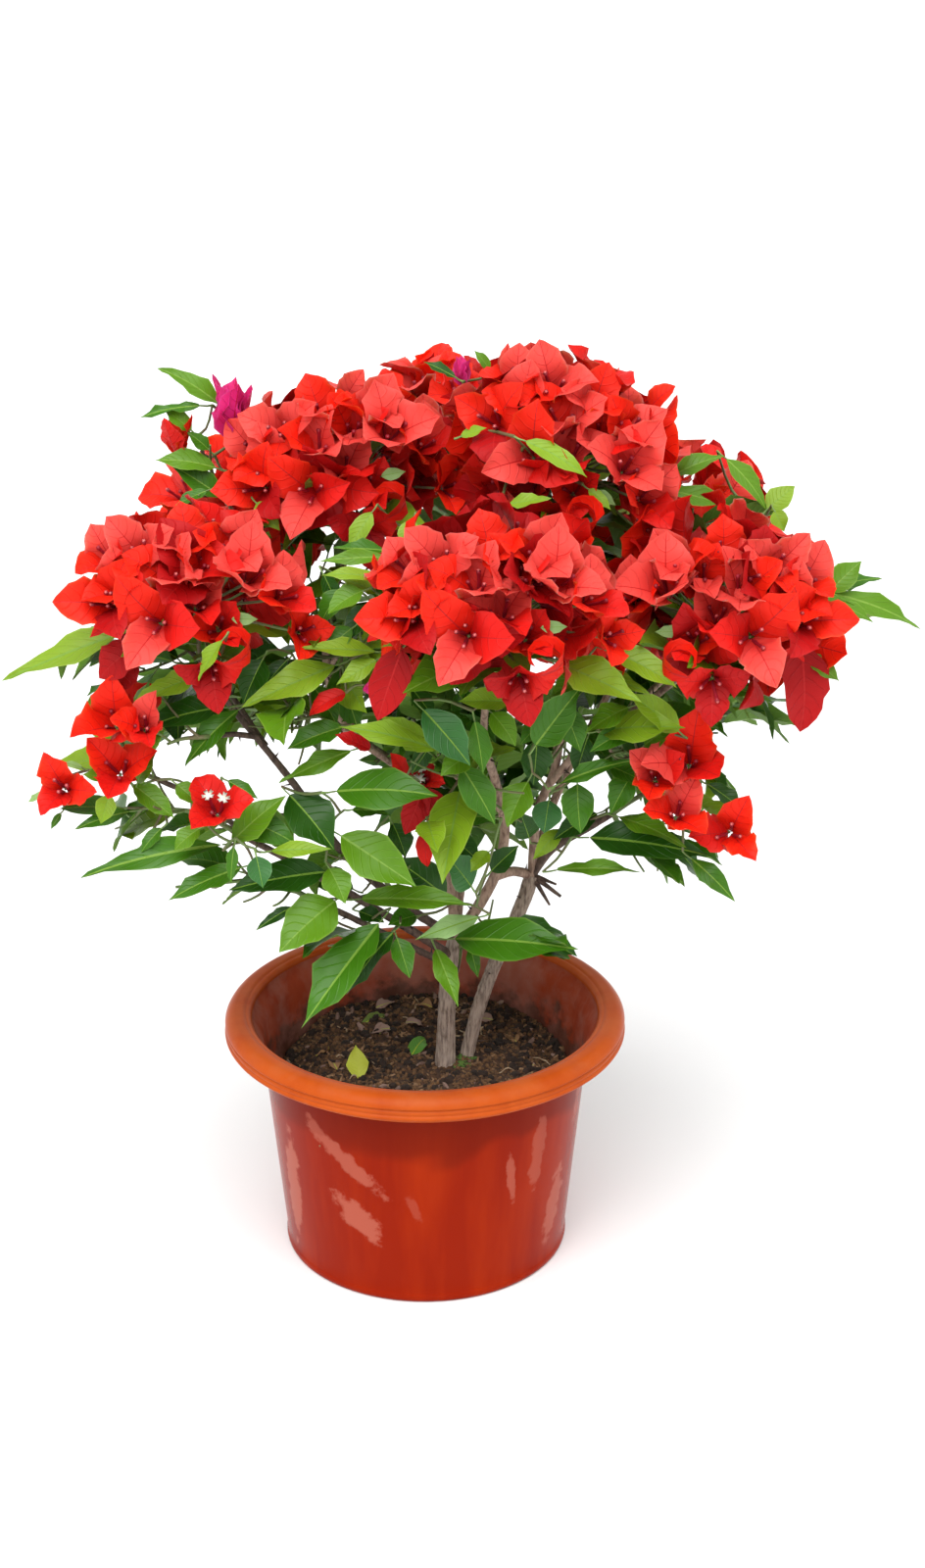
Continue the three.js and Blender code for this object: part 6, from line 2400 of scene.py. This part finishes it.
class Bark:
    """The trunk, second stem and boughs as tubes in bark relief."""

    STEM_NODES = ("trunk", "second_stem")

    def __init__(self, tubes: TubeTree) -> None:
        """Take the tube tree."""
        self.tubes = tubes

    def build(self, crown: Crown) -> list[bpy.types.Object]:
        """Build the stems and the boughs.

        Args:
            crown: The crown whose limbs they are.

        Returns:
            The pieces.
        """
        grey = BarkFinish(
            "bark_grey_beige", (0.43, 0.33, 0.26), (0.13, 0.088, 0.068), (0.55, 0.46, 0.4),
            roughness=0.9, scale=620.0, stretch=0.14, amount=0.45,
        )
        fawn = BarkFinish(
            "bark_fawn", (0.42, 0.28, 0.205), (0.16, 0.088, 0.064), (0.52, 0.4, 0.32),
            roughness=0.82, scale=420.0, stretch=0.3, amount=0.35,
        )
        # Painted shade: a darker bark for the boughs in the crown's shade; the dead stubs share it.
        dark = BarkFinish(
            "bark_dark_brown", (0.12, 0.075, 0.055), (0.04, 0.022, 0.017), (0.28, 0.2, 0.16),
            roughness=0.8, scale=420.0, stretch=0.3, amount=0.3,
        )
        thorn = PlainFinish("thorn_brown", (0.07, 0.038, 0.026), (0.03, 0.016, 0.012), 0.5)
        stems, boughs, shaded = PathBundle(), PathBundle(), PathBundle()
        for limb in LIMBS:
            step = STEM_STEP if limb.name in self.STEM_NODES else BOUGH_STEP
            steps = max(12, int(limb.line.length / step))
            points = limb.line.stops(steps)
            if not limb.parent:
                points[0, 2] = SOIL_TOP - 6
            shares = np.linspace(0, 1, steps)
            girths = [self._girth(limb, share) for share in shares]
            bundle = stems if limb.name in self.STEM_NODES else shaded if limb.name in SHADED_BOUGHS else boughs
            bundle.add(points, girths)
        for end, radius in BROKEN_STUBS:
            shaded.add(Line([KNUCKLE, end]).stops(12), np.linspace(1.9, radius, 12))
        apart = (*SHADED_BOUGHS, *self.STEM_NODES)
        lit = [limb.name for limb in LIMBS if limb.parent and limb.name not in apart]
        made = [
            stems.build("stems_bark", self.tubes, 84, 2.6, grey.material(), 2.4),
            boughs.build("boughs_bark", self.tubes, 14, 1.0, fawn.material(), 2.2),
            shaded.build("shaded_boughs_bark", self.tubes, 12, 0.8, dark.material(), 2.2),
            crown.thorns.build("bough_thorns", self.tubes, 5, 0.0, thorn.material()),
        ]
        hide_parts(*self.STEM_NODES)
        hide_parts(*lit)
        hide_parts(*SHADED_BOUGHS)
        for piece, slot in zip(made, ("bark", "bough_bark", "bough_bark", "bough_bark")):
            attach(piece, "root")
        return made

    def _girth(self, limb: Limb, share: float) -> float:
        """Give a limb's radius with slight swellings at its nodes."""
        swell = 0.22 * math.exp(-((math.sin(share * limb.line.length / 9.0)) ** 2) / 0.03)
        fade = 1 if limb.parent else 0.4
        return limb.radius(share) + swell * fade


def dress_crown(crown: Crown, tubes: TubeTree) -> None:
    """Args:
        crown: The grown crown.
        tubes: The tube tree.
    """
    fronts = [f.material() for f in LEAF_FINISHES]
    pale, dark = (f.material() for f in LEAF_BACKS)
    backs = [pale, pale, pale, dark, dark, pale]
    skins = [*fronts, *backs, RIB_FINISH.material()]
    petals = [f.material() for f in BRACT_FINISHES]
    petal_skins = [*petals, *petals, BRACT_RIB.material()]
    sprays = [m.name for m in MASSES if m.part is Part.SPRAY]
    heads = [m.name for m in MASSES if m.part is Part.HEAD]
    green = PlainFinish("young_twig_green", (0.13, 0.2, 0.055), (0.13, 0.085, 0.045), 0.6, 60.0).material()
    stalk = PlainFinish("leaf_stalk_green", (0.18, 0.3, 0.07), (0.12, 0.18, 0.05), 0.55).material()
    tube = PlainFinish("flower_tube_crimson", (0.3, 0.006, 0.02), (0.16, 0.003, 0.01), 0.5).material()
    white = PlainFinish("star_white", (0.86, 0.84, 0.78), (0.7, 0.66, 0.5), 0.5, 400.0).material()
    pink = PlainFinish("tube_end_pink", (0.72, 0.18, 0.17), (0.55, 0.06, 0.06), 0.5, 400.0).material()
    pieces = [
        (crown.leaves.build("front_leaves", skins, lambda b: b.root[1] < 0), "leaves", sprays),
        (crown.leaves.build("back_leaves", skins, lambda b: b.root[1] >= 0), "leaves", ()),
        (crown.bracts.build("front_bracts", petal_skins, lambda b: b.root[1] < 20), "flowers", heads),
        (crown.bracts.build("back_bracts", petal_skins, lambda b: b.root[1] >= 20), "flowers", ()),
        (crown.twigs.build("leaf_twigs", tubes, 6, 0.25, green), "bough_bark", ()),
        (crown.stalks.build("leaf_stalks", tubes, 4, 0.0, stalk), "leaves", ()),
        (crown.bloom_stalks.build("bloom_stalks", tubes, 5, 0.0, green), "bough_bark", ()),
        (crown.tubes.build("flower_tubes", tubes, 6, 0.0, tube), "flowers", ()),
        (build_stars("white_stars", crown.stars, 1.0, white), "flowers", ()),
        (build_stars("tube_ends", crown.dots, 0.26, pink), "flowers", ()),
    ]
    for piece, slot, nodes in pieces:
        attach(piece, "root")
        if nodes:
            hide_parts(*nodes)


def build_stars(
    name: str, stars: Sequence[tuple[np.ndarray, np.ndarray]], scale: float, finish: bpy.types.Material
) -> bpy.types.Object:
    """Build small flowers: shallow stars of five notched lobes.

    Args:
        name: The piece's name.
        stars: Centre and facing of each flower.
        scale: Their size; 1 is nearly 8 mm across.
        finish: Their material.

    Returns:
        The piece.
    """
    points: list[np.ndarray] = []
    corners: list[int] = []
    sizes: list[int] = []
    for at, axis in stars:
        base = len(points)
        u = across(axis, 10)
        points += [at + axis * 0.1 * scale, at - axis * 0.8 * scale]
        for k in range(20):
            radius = (1.6, 3.9, 3.4, 3.9)[k % 4] * scale
            lift = (0.3, 1.1, 0.8, 1.1)[k % 4] * scale
            points.append(at + spun(u, axis, 18 * k) * radius + axis * lift)
        for k in range(20):
            a, b = base + 2 + k, base + 2 + (k + 1) % 20
            corners += [base, a, b, base + 1, b, a]
            sizes += [3, 3]
    mesh = mesh_of(name, np.array(points), np.array(corners), np.array(sizes))
    mesh.materials.append(finish)
    return link_object(name, mesh)


# ---- pot, soil and litter ------------------------------------------------------------------------------


# Pale pinkish marks on the pot's side: turn from the front in degrees, height, half length and half width in
# millimetres, lean in degrees, and strength.
PALE_MARKS = [
    (-28, 96, 33, 6.5, -36, 0.8),
    (-25, 57, 20, 9, -42, 0.9),
    (-60, 60, 40, 8, 84, 0.9),
    (-40, 112, 12, 5, -50, 0.6),
    (33, 84, 18, 3.4, -82, 0.7),
    (45, 92, 33, 5.5, 86, 0.55),
    (59, 45, 26, 9, 80, 0.8),
    (-3, 68, 12, 4.5, -66, 0.35),
    (72, 110, 22, 6, 88, 0.5),
    (98, 74, 27, 9, -50, 0.7),
    (134, 60, 30, 8, 70, 0.8),
    (172, 94, 24, 6, -30, 0.7),
    (-150, 52, 28, 9, 58, 0.8),
    (-116, 90, 30, 7, -44, 0.7),
    (-92, 36, 20, 8, 80, 0.8),
]


class PotZone(Enum):
    """Where a face of the pot lies."""

    RIM = 0
    BODY = 1
    INSIDE = 2


@dataclass
class Pot:
    """The plastic pot: a lathe of the foot, the tapering body, the bead, the rolled lip and the inside."""

    facets: int = 168

    def _profile(self) -> list[tuple[float, float, PotZone]]:
        """List the profile from the middle of the underside round to the middle of the inside."""
        rim, body, inside = PotZone
        out = lerp(BODY_FOOT_RADIUS, BODY_TOP_RADIUS, 7 / UNDER_LIP)
        rows: list[tuple[float, float, PotZone]] = [(0, 0, body), (86, 0, body)]
        rows += [(88.5, 0.2, body), (89.6, 1.2, body)]
        rows += [(89.9, 2.5, body), (89.9, 4.4, body), (89.5, 5.4, body), (out + 0.1, 6.3, body)]
        for k in range(1, 24):
            z = lerp(7.0, UNDER_LIP - 1.5, k / 23)
            rows.append((lerp(BODY_FOOT_RADIUS, BODY_TOP_RADIUS, z / UNDER_LIP), z, body))
        rows += self._arc(104.2, UNDER_LIP - 1.5, 1.7, 180, 90, rim, 4)
        rows += [(112, UNDER_LIP + 0.1, rim)]
        rows += self._arc(BEAD_RADIUS - 2.6, UNDER_LIP + 2.6, 2.6, -90, 60, rim, 8)
        rows += [(116.9, LIP_FOOT - 0.3, rim), (118.6, LIP_FOOT + 0.1, rim)]
        rows += self._arc(RIM_RADIUS - 1.7, LIP_FOOT + 1.7, 1.7, -90, 55, rim, 6)
        rows += [(124.0, 148.5, rim), (124.3, 149.1, rim), (124.5, 150.4, rim), (123.9, 151.0, rim)]
        rows += [(123.5, 151.5, rim), (123.9, 152.1, rim), (124.7, 152.8, rim)]
        rows += self._arc(RIM_RADIUS - 8.0, POT_HEIGHT - 8.0, 8.0, 17, 80, rim, 9)
        rows += [(114.5, POT_HEIGHT - 0.02, rim), (112.4, POT_HEIGHT - 0.3, rim)]
        rows += self._arc(MOUTH_RADIUS + 3.4, POT_HEIGHT - 4.2, 3.4, 80, 180, rim, 8)
        top = (107.6, 152.5, inside)
        low = (86.4, WALL + 2, inside)
        rows += [top, (104.5, 147.5, inside), (101.6, 142.5, inside)]
        for k in range(1, 12):
            rows.append((lerp(101.2, low[0], k / 11), lerp(140.0, low[1], k / 11), inside))
        rows += [(84.4, WALL, inside), (0, WALL, inside)]
        return rows

    def _arc(
        self, r: float, z: float, radius: float, start: float, end: float, zone: PotZone, steps: int
    ) -> list[tuple[float, float, PotZone]]:
        """Give points of a rounding of the profile."""
        turns = [math.radians(lerp(start, end, k / steps)) for k in range(steps + 1)]
        return [(r + radius * math.cos(t), z + radius * math.sin(t), zone) for t in turns]

    def build(self) -> bpy.types.Object:
        """Turn the profile and dress its zones."""
        rows = self._profile()
        n = self.facets
        turns = 2 * np.pi * np.arange(n) / n
        cosines, sines = np.cos(turns), np.sin(turns)
        rings = [np.stack([r * cosines, r * sines, np.full(n, z)], axis=1) for r, z, _ in rows[1:-1]]
        points = np.vstack([[[0, 0, rows[0][1]]], *rings, [[0, 0, rows[-1][1]]]])
        last = len(points) - 1
        corners: list[int] = []
        sizes: list[int] = []
        slots: list[int] = []
        for k in range(n):
            j = (k + 1) % n
            corners += [0, 1 + j, 1 + k]
            sizes.append(3)
            slots.append(rows[1][2].value)
        for i in range(len(rings) - 1):
            base, over = 1 + i * n, 1 + (i + 1) * n
            for k in range(n):
                j = (k + 1) % n
                corners += [base + k, base + j, over + j, over + k]
                sizes.append(4)
                slots.append(rows[i + 2][2].value)
        base = 1 + (len(rings) - 1) * n
        for k in range(n):
            corners += [base + k, base + (k + 1) % n, last]
            sizes.append(3)
            slots.append(PotZone.INSIDE.value)
        mesh = mesh_of("pot_shell", points, np.array(corners), np.array(sizes), np.array(slots))
        for finish in self._finishes():
            mesh.materials.append(finish.material())
        piece = link_object("pot_shell", mesh)
        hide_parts("pot")
        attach(piece, "root")
        return piece

    def _finishes(self) -> list[PlasticFinish]:
        """List the finishes of the rim, the body and the inside."""
        return [
            PlasticFinish(
                "pot_rim_orange",
                base=(0.44, 0.072, 0.009),
                pale_tint=(0.55, 0.17, 0.08),
                streak=(0.37, 0.05, 0.006),
                dust=(0.45, 0.16, 0.07),
                roughness=0.3,
                pale_low=0.66,
                pale_high=0.8,
                dust_amount=0.16,
                everywhere=0.05,
            ),
            PlasticFinish(
                "pot_body_red",
                base=(0.25, 0.011, 0.0004),
                pale_tint=(0.4, 0.095, 0.06),
                streak=(0.34, 0.022, 0.001),
                dust=(0.3, 0.05, 0.012),
                roughness=0.22,
                dust_amount=0.05,
                pale_marks=PALE_MARKS,
                # Painted shadow under the rim.
                shade=(0.165, 0.008, 0.0005),
            ),
            PlasticFinish(
                "pot_inside_dusty",
                base=(0.36, 0.055, 0.02),
                pale_tint=(0.44, 0.17, 0.12),
                streak=(0.25, 0.033, 0.014),
                dust=(0.42, 0.19, 0.15),
                roughness=0.62,
                pale_low=0.5,
                pale_high=0.72,
                dust_amount=0.55,
                everywhere=0.75,
                splash=(0.06, 0.028, 0.018),
            ),
        ]


# Leaves on the soil: x, y, rise, turn, length, width, pitch, bend, twist and finish.
FALLEN_LEAVES = [
    (-41, -22, -0.5, 100, 22, 0.66, 48, -14, -6, 0),
    (-55, -10, 1.2, 112, 24, 0.42, 22, 130, 60, 1),
    (-72, 26, 1.5, -30, 20, 0.4, 12, -70, -50, 1),
    (-43, 47, 1.2, 32, 25, 0.34, 10, 30, 20, 2),
    (-9, 6, 1.0, 60, 22, 0.5, 32, 60, 24, 3),
    (-12, 14, 4.0, 8, 17, 0.46, 30, 90, -20, 3),
    (-22, 38, 2.0, 200, 18, 0.6, 14, 80, 50, 4),
    (-14, 44, 3.0, -20, 16, 0.6, 24, 110, -60, 4),
    (-30, 32, 1.6, 60, 14, 0.55, 18, 90, 40, 4),
    (4, 66, 3.0, 150, 20, 0.5, 20, 100, 50, 1),
    (-34, 66, 3.0, 20, 22, 0.5, 24, 90, -50, 4),
    (44, 60, 2.0, 170, 20, 0.5, 16, 100, 40, 4),
    (58, 30, 1.2, 100, 16, 0.5, 12, 90, -40, 1),
    (70, 4, 1.0, 200, 15, 0.45, 10, 110, 50, 4),
    (36, -40, 0.8, 30, 14, 0.5, 10, 80, 40, 1),
]
FALLEN_FINISHES = [
    BladeFinish("fallen_leaf_yellow", (0.42, 0.46, 0.04), (0.5, 0.52, 0.1), (0.55, 0.6, 0.15), 0.5),
    BladeFinish("fallen_leaf_brown", (0.28, 0.15, 0.07), (0.34, 0.2, 0.1), (0.2, 0.1, 0.05), 0.7),
    BladeFinish("fallen_leaf_olive", (0.14, 0.2, 0.04), (0.25, 0.3, 0.1), (0.3, 0.3, 0.1), 0.6),
    BladeFinish("seedling_green", (0.09, 0.25, 0.03), (0.2, 0.38, 0.08), (0.25, 0.42, 0.1), 0.45),
    BladeFinish("withered_leaf_greige", (0.3, 0.19, 0.155), (0.22, 0.13, 0.1), (0.16, 0.09, 0.07), 0.8),
]


@dataclass(frozen=True)
class Grains:
    """One kind of grain strewn over the ground: its finish, how dense, how big in metres and how long."""

    name: str
    finish: PlainFinish
    density: float
    smallest: float
    largest: float
    stretch: float
    seed: int

    def strew(self, ground: bpy.types.Mesh, scatter: ScatterTree) -> bpy.types.Object:
        """Strew the grains over the upward faces of a mesh."""
        values = {
            "Density": self.density,
            "Smallest": self.smallest,
            "Largest": self.largest,
            "Stretch": self.stretch,
            "Seed": self.seed,
            "Finish": self.finish.material(),
        }
        return grown(self.name, ground, scatter.tree, values)


CRUMB = PlainFinish("soil_crumb_brown", (0.155, 0.075, 0.03), (0.02, 0.01, 0.006), 0.95, 330.0)
CHIP = PlainFinish("bark_chip_tan", (0.3, 0.17, 0.085), (0.09, 0.042, 0.02), 0.85, 160.0)
CLOD = PlainFinish("soil_clod_black", (0.03, 0.015, 0.009), (0.01, 0.006, 0.004), 0.95, 200.0)
DEAD_LEAF = PlainFinish("dead_leaf_greige", (0.3, 0.19, 0.15), (0.12, 0.065, 0.05), 0.85, 150.0)
MOSS = PlainFinish("moss_green", (0.1, 0.19, 0.03), (0.04, 0.09, 0.015), 0.9, 300.0)
GROUND_GRAINS = [
    Grains("soil_crumbs", CRUMB, 150000.0, smallest=0.0005, largest=0.0017, stretch=1.3, seed=4),
    Grains("soil_chips", CHIP, 15000.0, smallest=0.0004, largest=0.0011, stretch=5.0, seed=11),
    Grains("soil_clods", CLOD, 15000.0, smallest=0.001, largest=0.0032, stretch=1.4, seed=23),
    Grains("dead_leaf_scraps", DEAD_LEAF, 3200.0, smallest=0.0007, largest=0.002, stretch=3.0, seed=31),
]
MOSS_GRAINS = Grains("moss_tufts", MOSS, 700000.0, smallest=0.0004, largest=0.0011, stretch=1.2, seed=2)
STRAWS = 26
# Patches of ground between the stems that moss grows on: x, y and radius.
MOSS_PATCHES = ((22, -5, 7.5), (19, 2, 5.0), (28, 3, 4.5))


@dataclass
class Soil:
    """The soil: a closed body with a lumpy top, strewn with crumbs and bark chips."""

    rings: int = 60
    facets: int = 168

    def _radius(self, z: float) -> float:
        """Give the soil body's radius at a height."""
        return lerp(86.3, 100.6, (z - WALL) / 139.0) - 0.5

    def _height(self, x: float, y: float) -> float:
        """Give the height of the soil's top at a place, with lumps."""
        r = math.hypot(x, y)
        side = 1 - float(smooth_step(y / max(r, 1e-6), 0.2, 0.9))
        z = SOIL_TOP - SOIL_SINK * float(smooth_step(r, 50, 98)) * side - 1.5 * (r / 98) ** 2
        coarse = noise.noise(Vector((x * 0.045, y * 0.045, 1.7))) * 3.0
        fine = noise.noise(Vector((x * 0.16, y * 0.16, 5.1))) * 1.5
        fine += noise.noise(Vector((x * 0.45, y * 0.45, 9.0))) * 0.7
        back = 7.0 * math.exp(-(((x + 12) / 26) ** 2 + ((y - 62) / 20) ** 2))
        heap = 3.0 * math.exp(-(((x - 18) / 20) ** 2 + (y / 20) ** 2))
        return z + coarse + fine + back + heap - 1.2

    def _moss_bed(self) -> bpy.types.Mesh:
        """Make the small patch of ground between the stems that moss grows on."""
        points: list[Point] = []
        corners: list[int] = []
        for x, y, radius in MOSS_PATCHES:
            base = len(points)
            points.append((x, y, self._height(x, y) + 0.6))
            for k in range(12):
                a, b = x + radius * math.cos(k * math.pi / 6), y + radius * math.sin(k * math.pi / 6)
                points.append((a, b, self._height(a, b) - 0.2))
                corners += [base, base + 1 + k, base + 1 + (k + 1) % 12]
        return mesh_of("moss_bed", np.array(points), np.array(corners), np.full(len(corners) // 3, 3))

    def _fallen_leaves(self) -> bpy.types.Object:
        """Lay the fallen leaves and the seedling leaf on the soil."""
        batch = BladeBatch(LEAF_OUTLINE, len(FALLEN_FINISHES))
        for x, y, rise, turn, length, width, pitch, bend, twist, tint in FALLEN_LEAVES:
            root = np.array([x, y, self._height(x, y) + rise])
            flat = ACROSS * math.cos(math.radians(turn)) + spun(ACROSS, UP, 90) * math.sin(math.radians(turn))
            along = flat * math.cos(math.radians(pitch)) + UP * math.sin(math.radians(pitch))
            face = unit(UP + TO_FRONT * 0.6)
            face = unit(face - along * float(face @ along))
            batch.add(Blade(root, along, face, length, width, bend, 16, 0.05, x, twist, tint))
        fronts = [finish.material() for finish in FALLEN_FINISHES]
        return batch.build("fallen_leaves", [*fronts, *fronts, fronts[0]], lambda _: True)

    def _straws(self, tubes: TubeTree) -> bpy.types.Object:
        """Lay dry straws and root ends over the soil."""
        draw = Draws(41)
        straws = PathBundle()
        tan = PlainFinish("dry_straw_tan", (0.42, 0.3, 0.19), (0.2, 0.12, 0.07), 0.8, 200.0)
        for _ in range(STRAWS):
            turn, far = draw.between(0, 6.283), 88 * math.sqrt(draw.between(0.08, 1))
            x, y = far * math.cos(turn), far * math.sin(turn)
            way, bow, long = draw.between(0, 6.283), draw.between(-0.9, 0.9), draw.between(7, 17)
            path = []
            for k in range(7):
                a, b = x + long * math.cos(way) * (k / 6 - 0.5), y + long * math.sin(way) * (k / 6 - 0.5)
                if math.hypot(a, b) > 92:
                    continue
                path.append((a, b, self._height(a, b) + 1.2 + 1.4 * math.sin(k * 0.9 + bow)))
                way += bow / 6
            if len(path) > 3:
                straws.add(np.array(path), np.linspace(0.55, 0.3, len(path)))
        return straws.build("dry_straws", tubes, 5, 0.0, tan.material())

    def build(self, scatter: ScatterTree, tubes: TubeTree) -> list[bpy.types.Object]:
        """Build the body, then its crumbs, chips, litter and moss.

        Args:
            scatter: The tree that strews grains.
            tubes: The tree that draws tubes.

        Returns:
            The pieces.
        """
        n = self.facets
        foot = WALL + GAP
        points: list[Point] = [(0, 0, foot)]
        turns = [2 * math.pi * k / n for k in range(n)]
        points += [(self._radius(foot) * math.cos(t), self._radius(foot) * math.sin(t), foot) for t in turns]
        for i in range(self.rings, 0, -1):
            share = i / self.rings
            for t in turns:
                x, y = 98 * share * math.cos(t), 98 * share * math.sin(t)
                z = self._height(x, y)
                r = self._radius(z) * share
                points.append((r * math.cos(t), r * math.sin(t), z))
        points.append((0, 0, self._height(0, 0)))
        corners: list[int] = []
        sizes: list[int] = []
        for k in range(n):
            j = (k + 1) % n
            corners += [0, 1 + j, 1 + k]
            sizes.append(3)
            for i in range(self.rings):
                base, over = 1 + i * n, 1 + (i + 1) * n
                corners += [base + k, base + j, over + j, over + k]
                sizes.append(4)
            base = 1 + self.rings * n
            corners += [base + k, base + j, len(points) - 1]
            sizes.append(3)
        mesh = mesh_of("soil_bed", np.array(points), np.array(corners), np.array(sizes))
        bed = PlainFinish("soil_dark_brown", (0.075, 0.034, 0.016), (0.02, 0.01, 0.006), 0.95, 190.0)
        mesh.materials.append(bed.material())
        body = link_object("soil_bed", mesh)
        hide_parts("soil")
        made = [body, *(grains.strew(mesh.copy(), scatter) for grains in GROUND_GRAINS)]
        made += [MOSS_GRAINS.strew(self._moss_bed(), scatter), self._fallen_leaves(), self._straws(tubes)]
        for piece in made:
            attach(piece, "root")
        return made


# ---- studio -------------------------------------------------------------------------------------------


@dataclass(frozen=True)
class Studio:
    """A pale floor, soft lights and the camera."""

    place: tuple[float, float, float] = (0.0234, -1.3424, 0.8243)
    pitch: float = 21.083
    lens: float = 54.81
    floor_half: float = 40
    fill: float = 0.8

    def build(self) -> None:
        """Set up the floor, the world, the lights and the camera."""
        self._camera()
        self._floor()
        self._world()
        self._sun("key_sun", (-0.2, -0.8, 1.4), 2.65, 52)
        self._sun("side_sun", (0.9, -0.5, 1.0), 0.45, 60)
        self._lamp("front_panel", (-0.9, -1.5, 1.5), 0.9, 7.0)

    def _camera(self) -> None:
        """Place the camera."""
        data = bpy.data.cameras.new("view")
        data.lens = self.lens
        data.sensor_width = 36
        data.clip_end = 100
        view = bpy.data.objects.new("view", data)
        view.location = self.place
        view.rotation_euler = (math.radians(90 - self.pitch), 0, 0)
        bpy.context.scene.collection.objects.link(view)
        bpy.context.scene.camera = view

    def _floor(self) -> None:
        """Lay the pale floor."""
        sheet = Sheet("floor_white", 0.8)
        sheet.colour((0.88, 0.88, 0.88))
        mesh = bpy.data.meshes.new("floor")
        far = self.floor_half
        mesh.from_pydata([(-far, -far, 0), (far, -far, 0), (far, far, 0), (-far, far, 0)], [], [(0, 1, 2, 3)])
        mesh.materials.append(sheet.material)
        link_object("floor", mesh)

    def _world(self) -> None:
        """Fill the room with even pale light."""
        world = bpy.data.worlds.new("room")
        world.use_nodes = True
        background = world.node_tree.nodes["Background"]
        background.inputs[0].default_value = (1, 1, 1, 1)
        background.inputs[1].default_value = self.fill
        bpy.context.scene.world = world
        bpy.context.scene.view_settings.view_transform = "Standard"

    def _sun(self, name: str, place: tuple[float, float, float], strength: float, angle: float) -> None:
        """Hang a soft, even light that shines from a direction."""
        data = bpy.data.lights.new(name, "SUN")
        data.energy = strength
        data.angle = math.radians(angle)
        lamp = bpy.data.objects.new(name, data)
        lamp.rotation_euler = (-Vector(place)).to_track_quat("-Z", "Y").to_euler()
        bpy.context.scene.collection.objects.link(lamp)

    def _lamp(self, name: str, place: tuple[float, float, float], size: float, power: float) -> None:
        """Hang a soft square lamp that faces the bush."""
        data = bpy.data.lights.new(name, "AREA")
        data.size = size
        data.energy = power
        lamp = bpy.data.objects.new(name, data)
        lamp.location = place
        lamp.rotation_euler = (Vector((0, 0, 0.3)) - Vector(place)).to_track_quat("-Z", "Y").to_euler()
        bpy.context.scene.collection.objects.link(lamp)


def main() -> None:
    """Build every piece in order and note the sizes."""
    logging.basicConfig(level=logging.INFO, format="%(name)s: %(message)s")
    Studio().build()
    tubes, scatter = TubeTree(), ScatterTree()
    LOG.info("pot: %s", Pot().build().name)
    LOG.info("soil: %d pieces", len(Soil().build(scatter, tubes)))
    crown = Crown()
    crown.grow()
    crown.set_thorns()
    LOG.info("bark: %d pieces", len(Bark(tubes).build(crown)))
    dress_crown(crown, tubes)


if __name__ == "__main__":
    main()
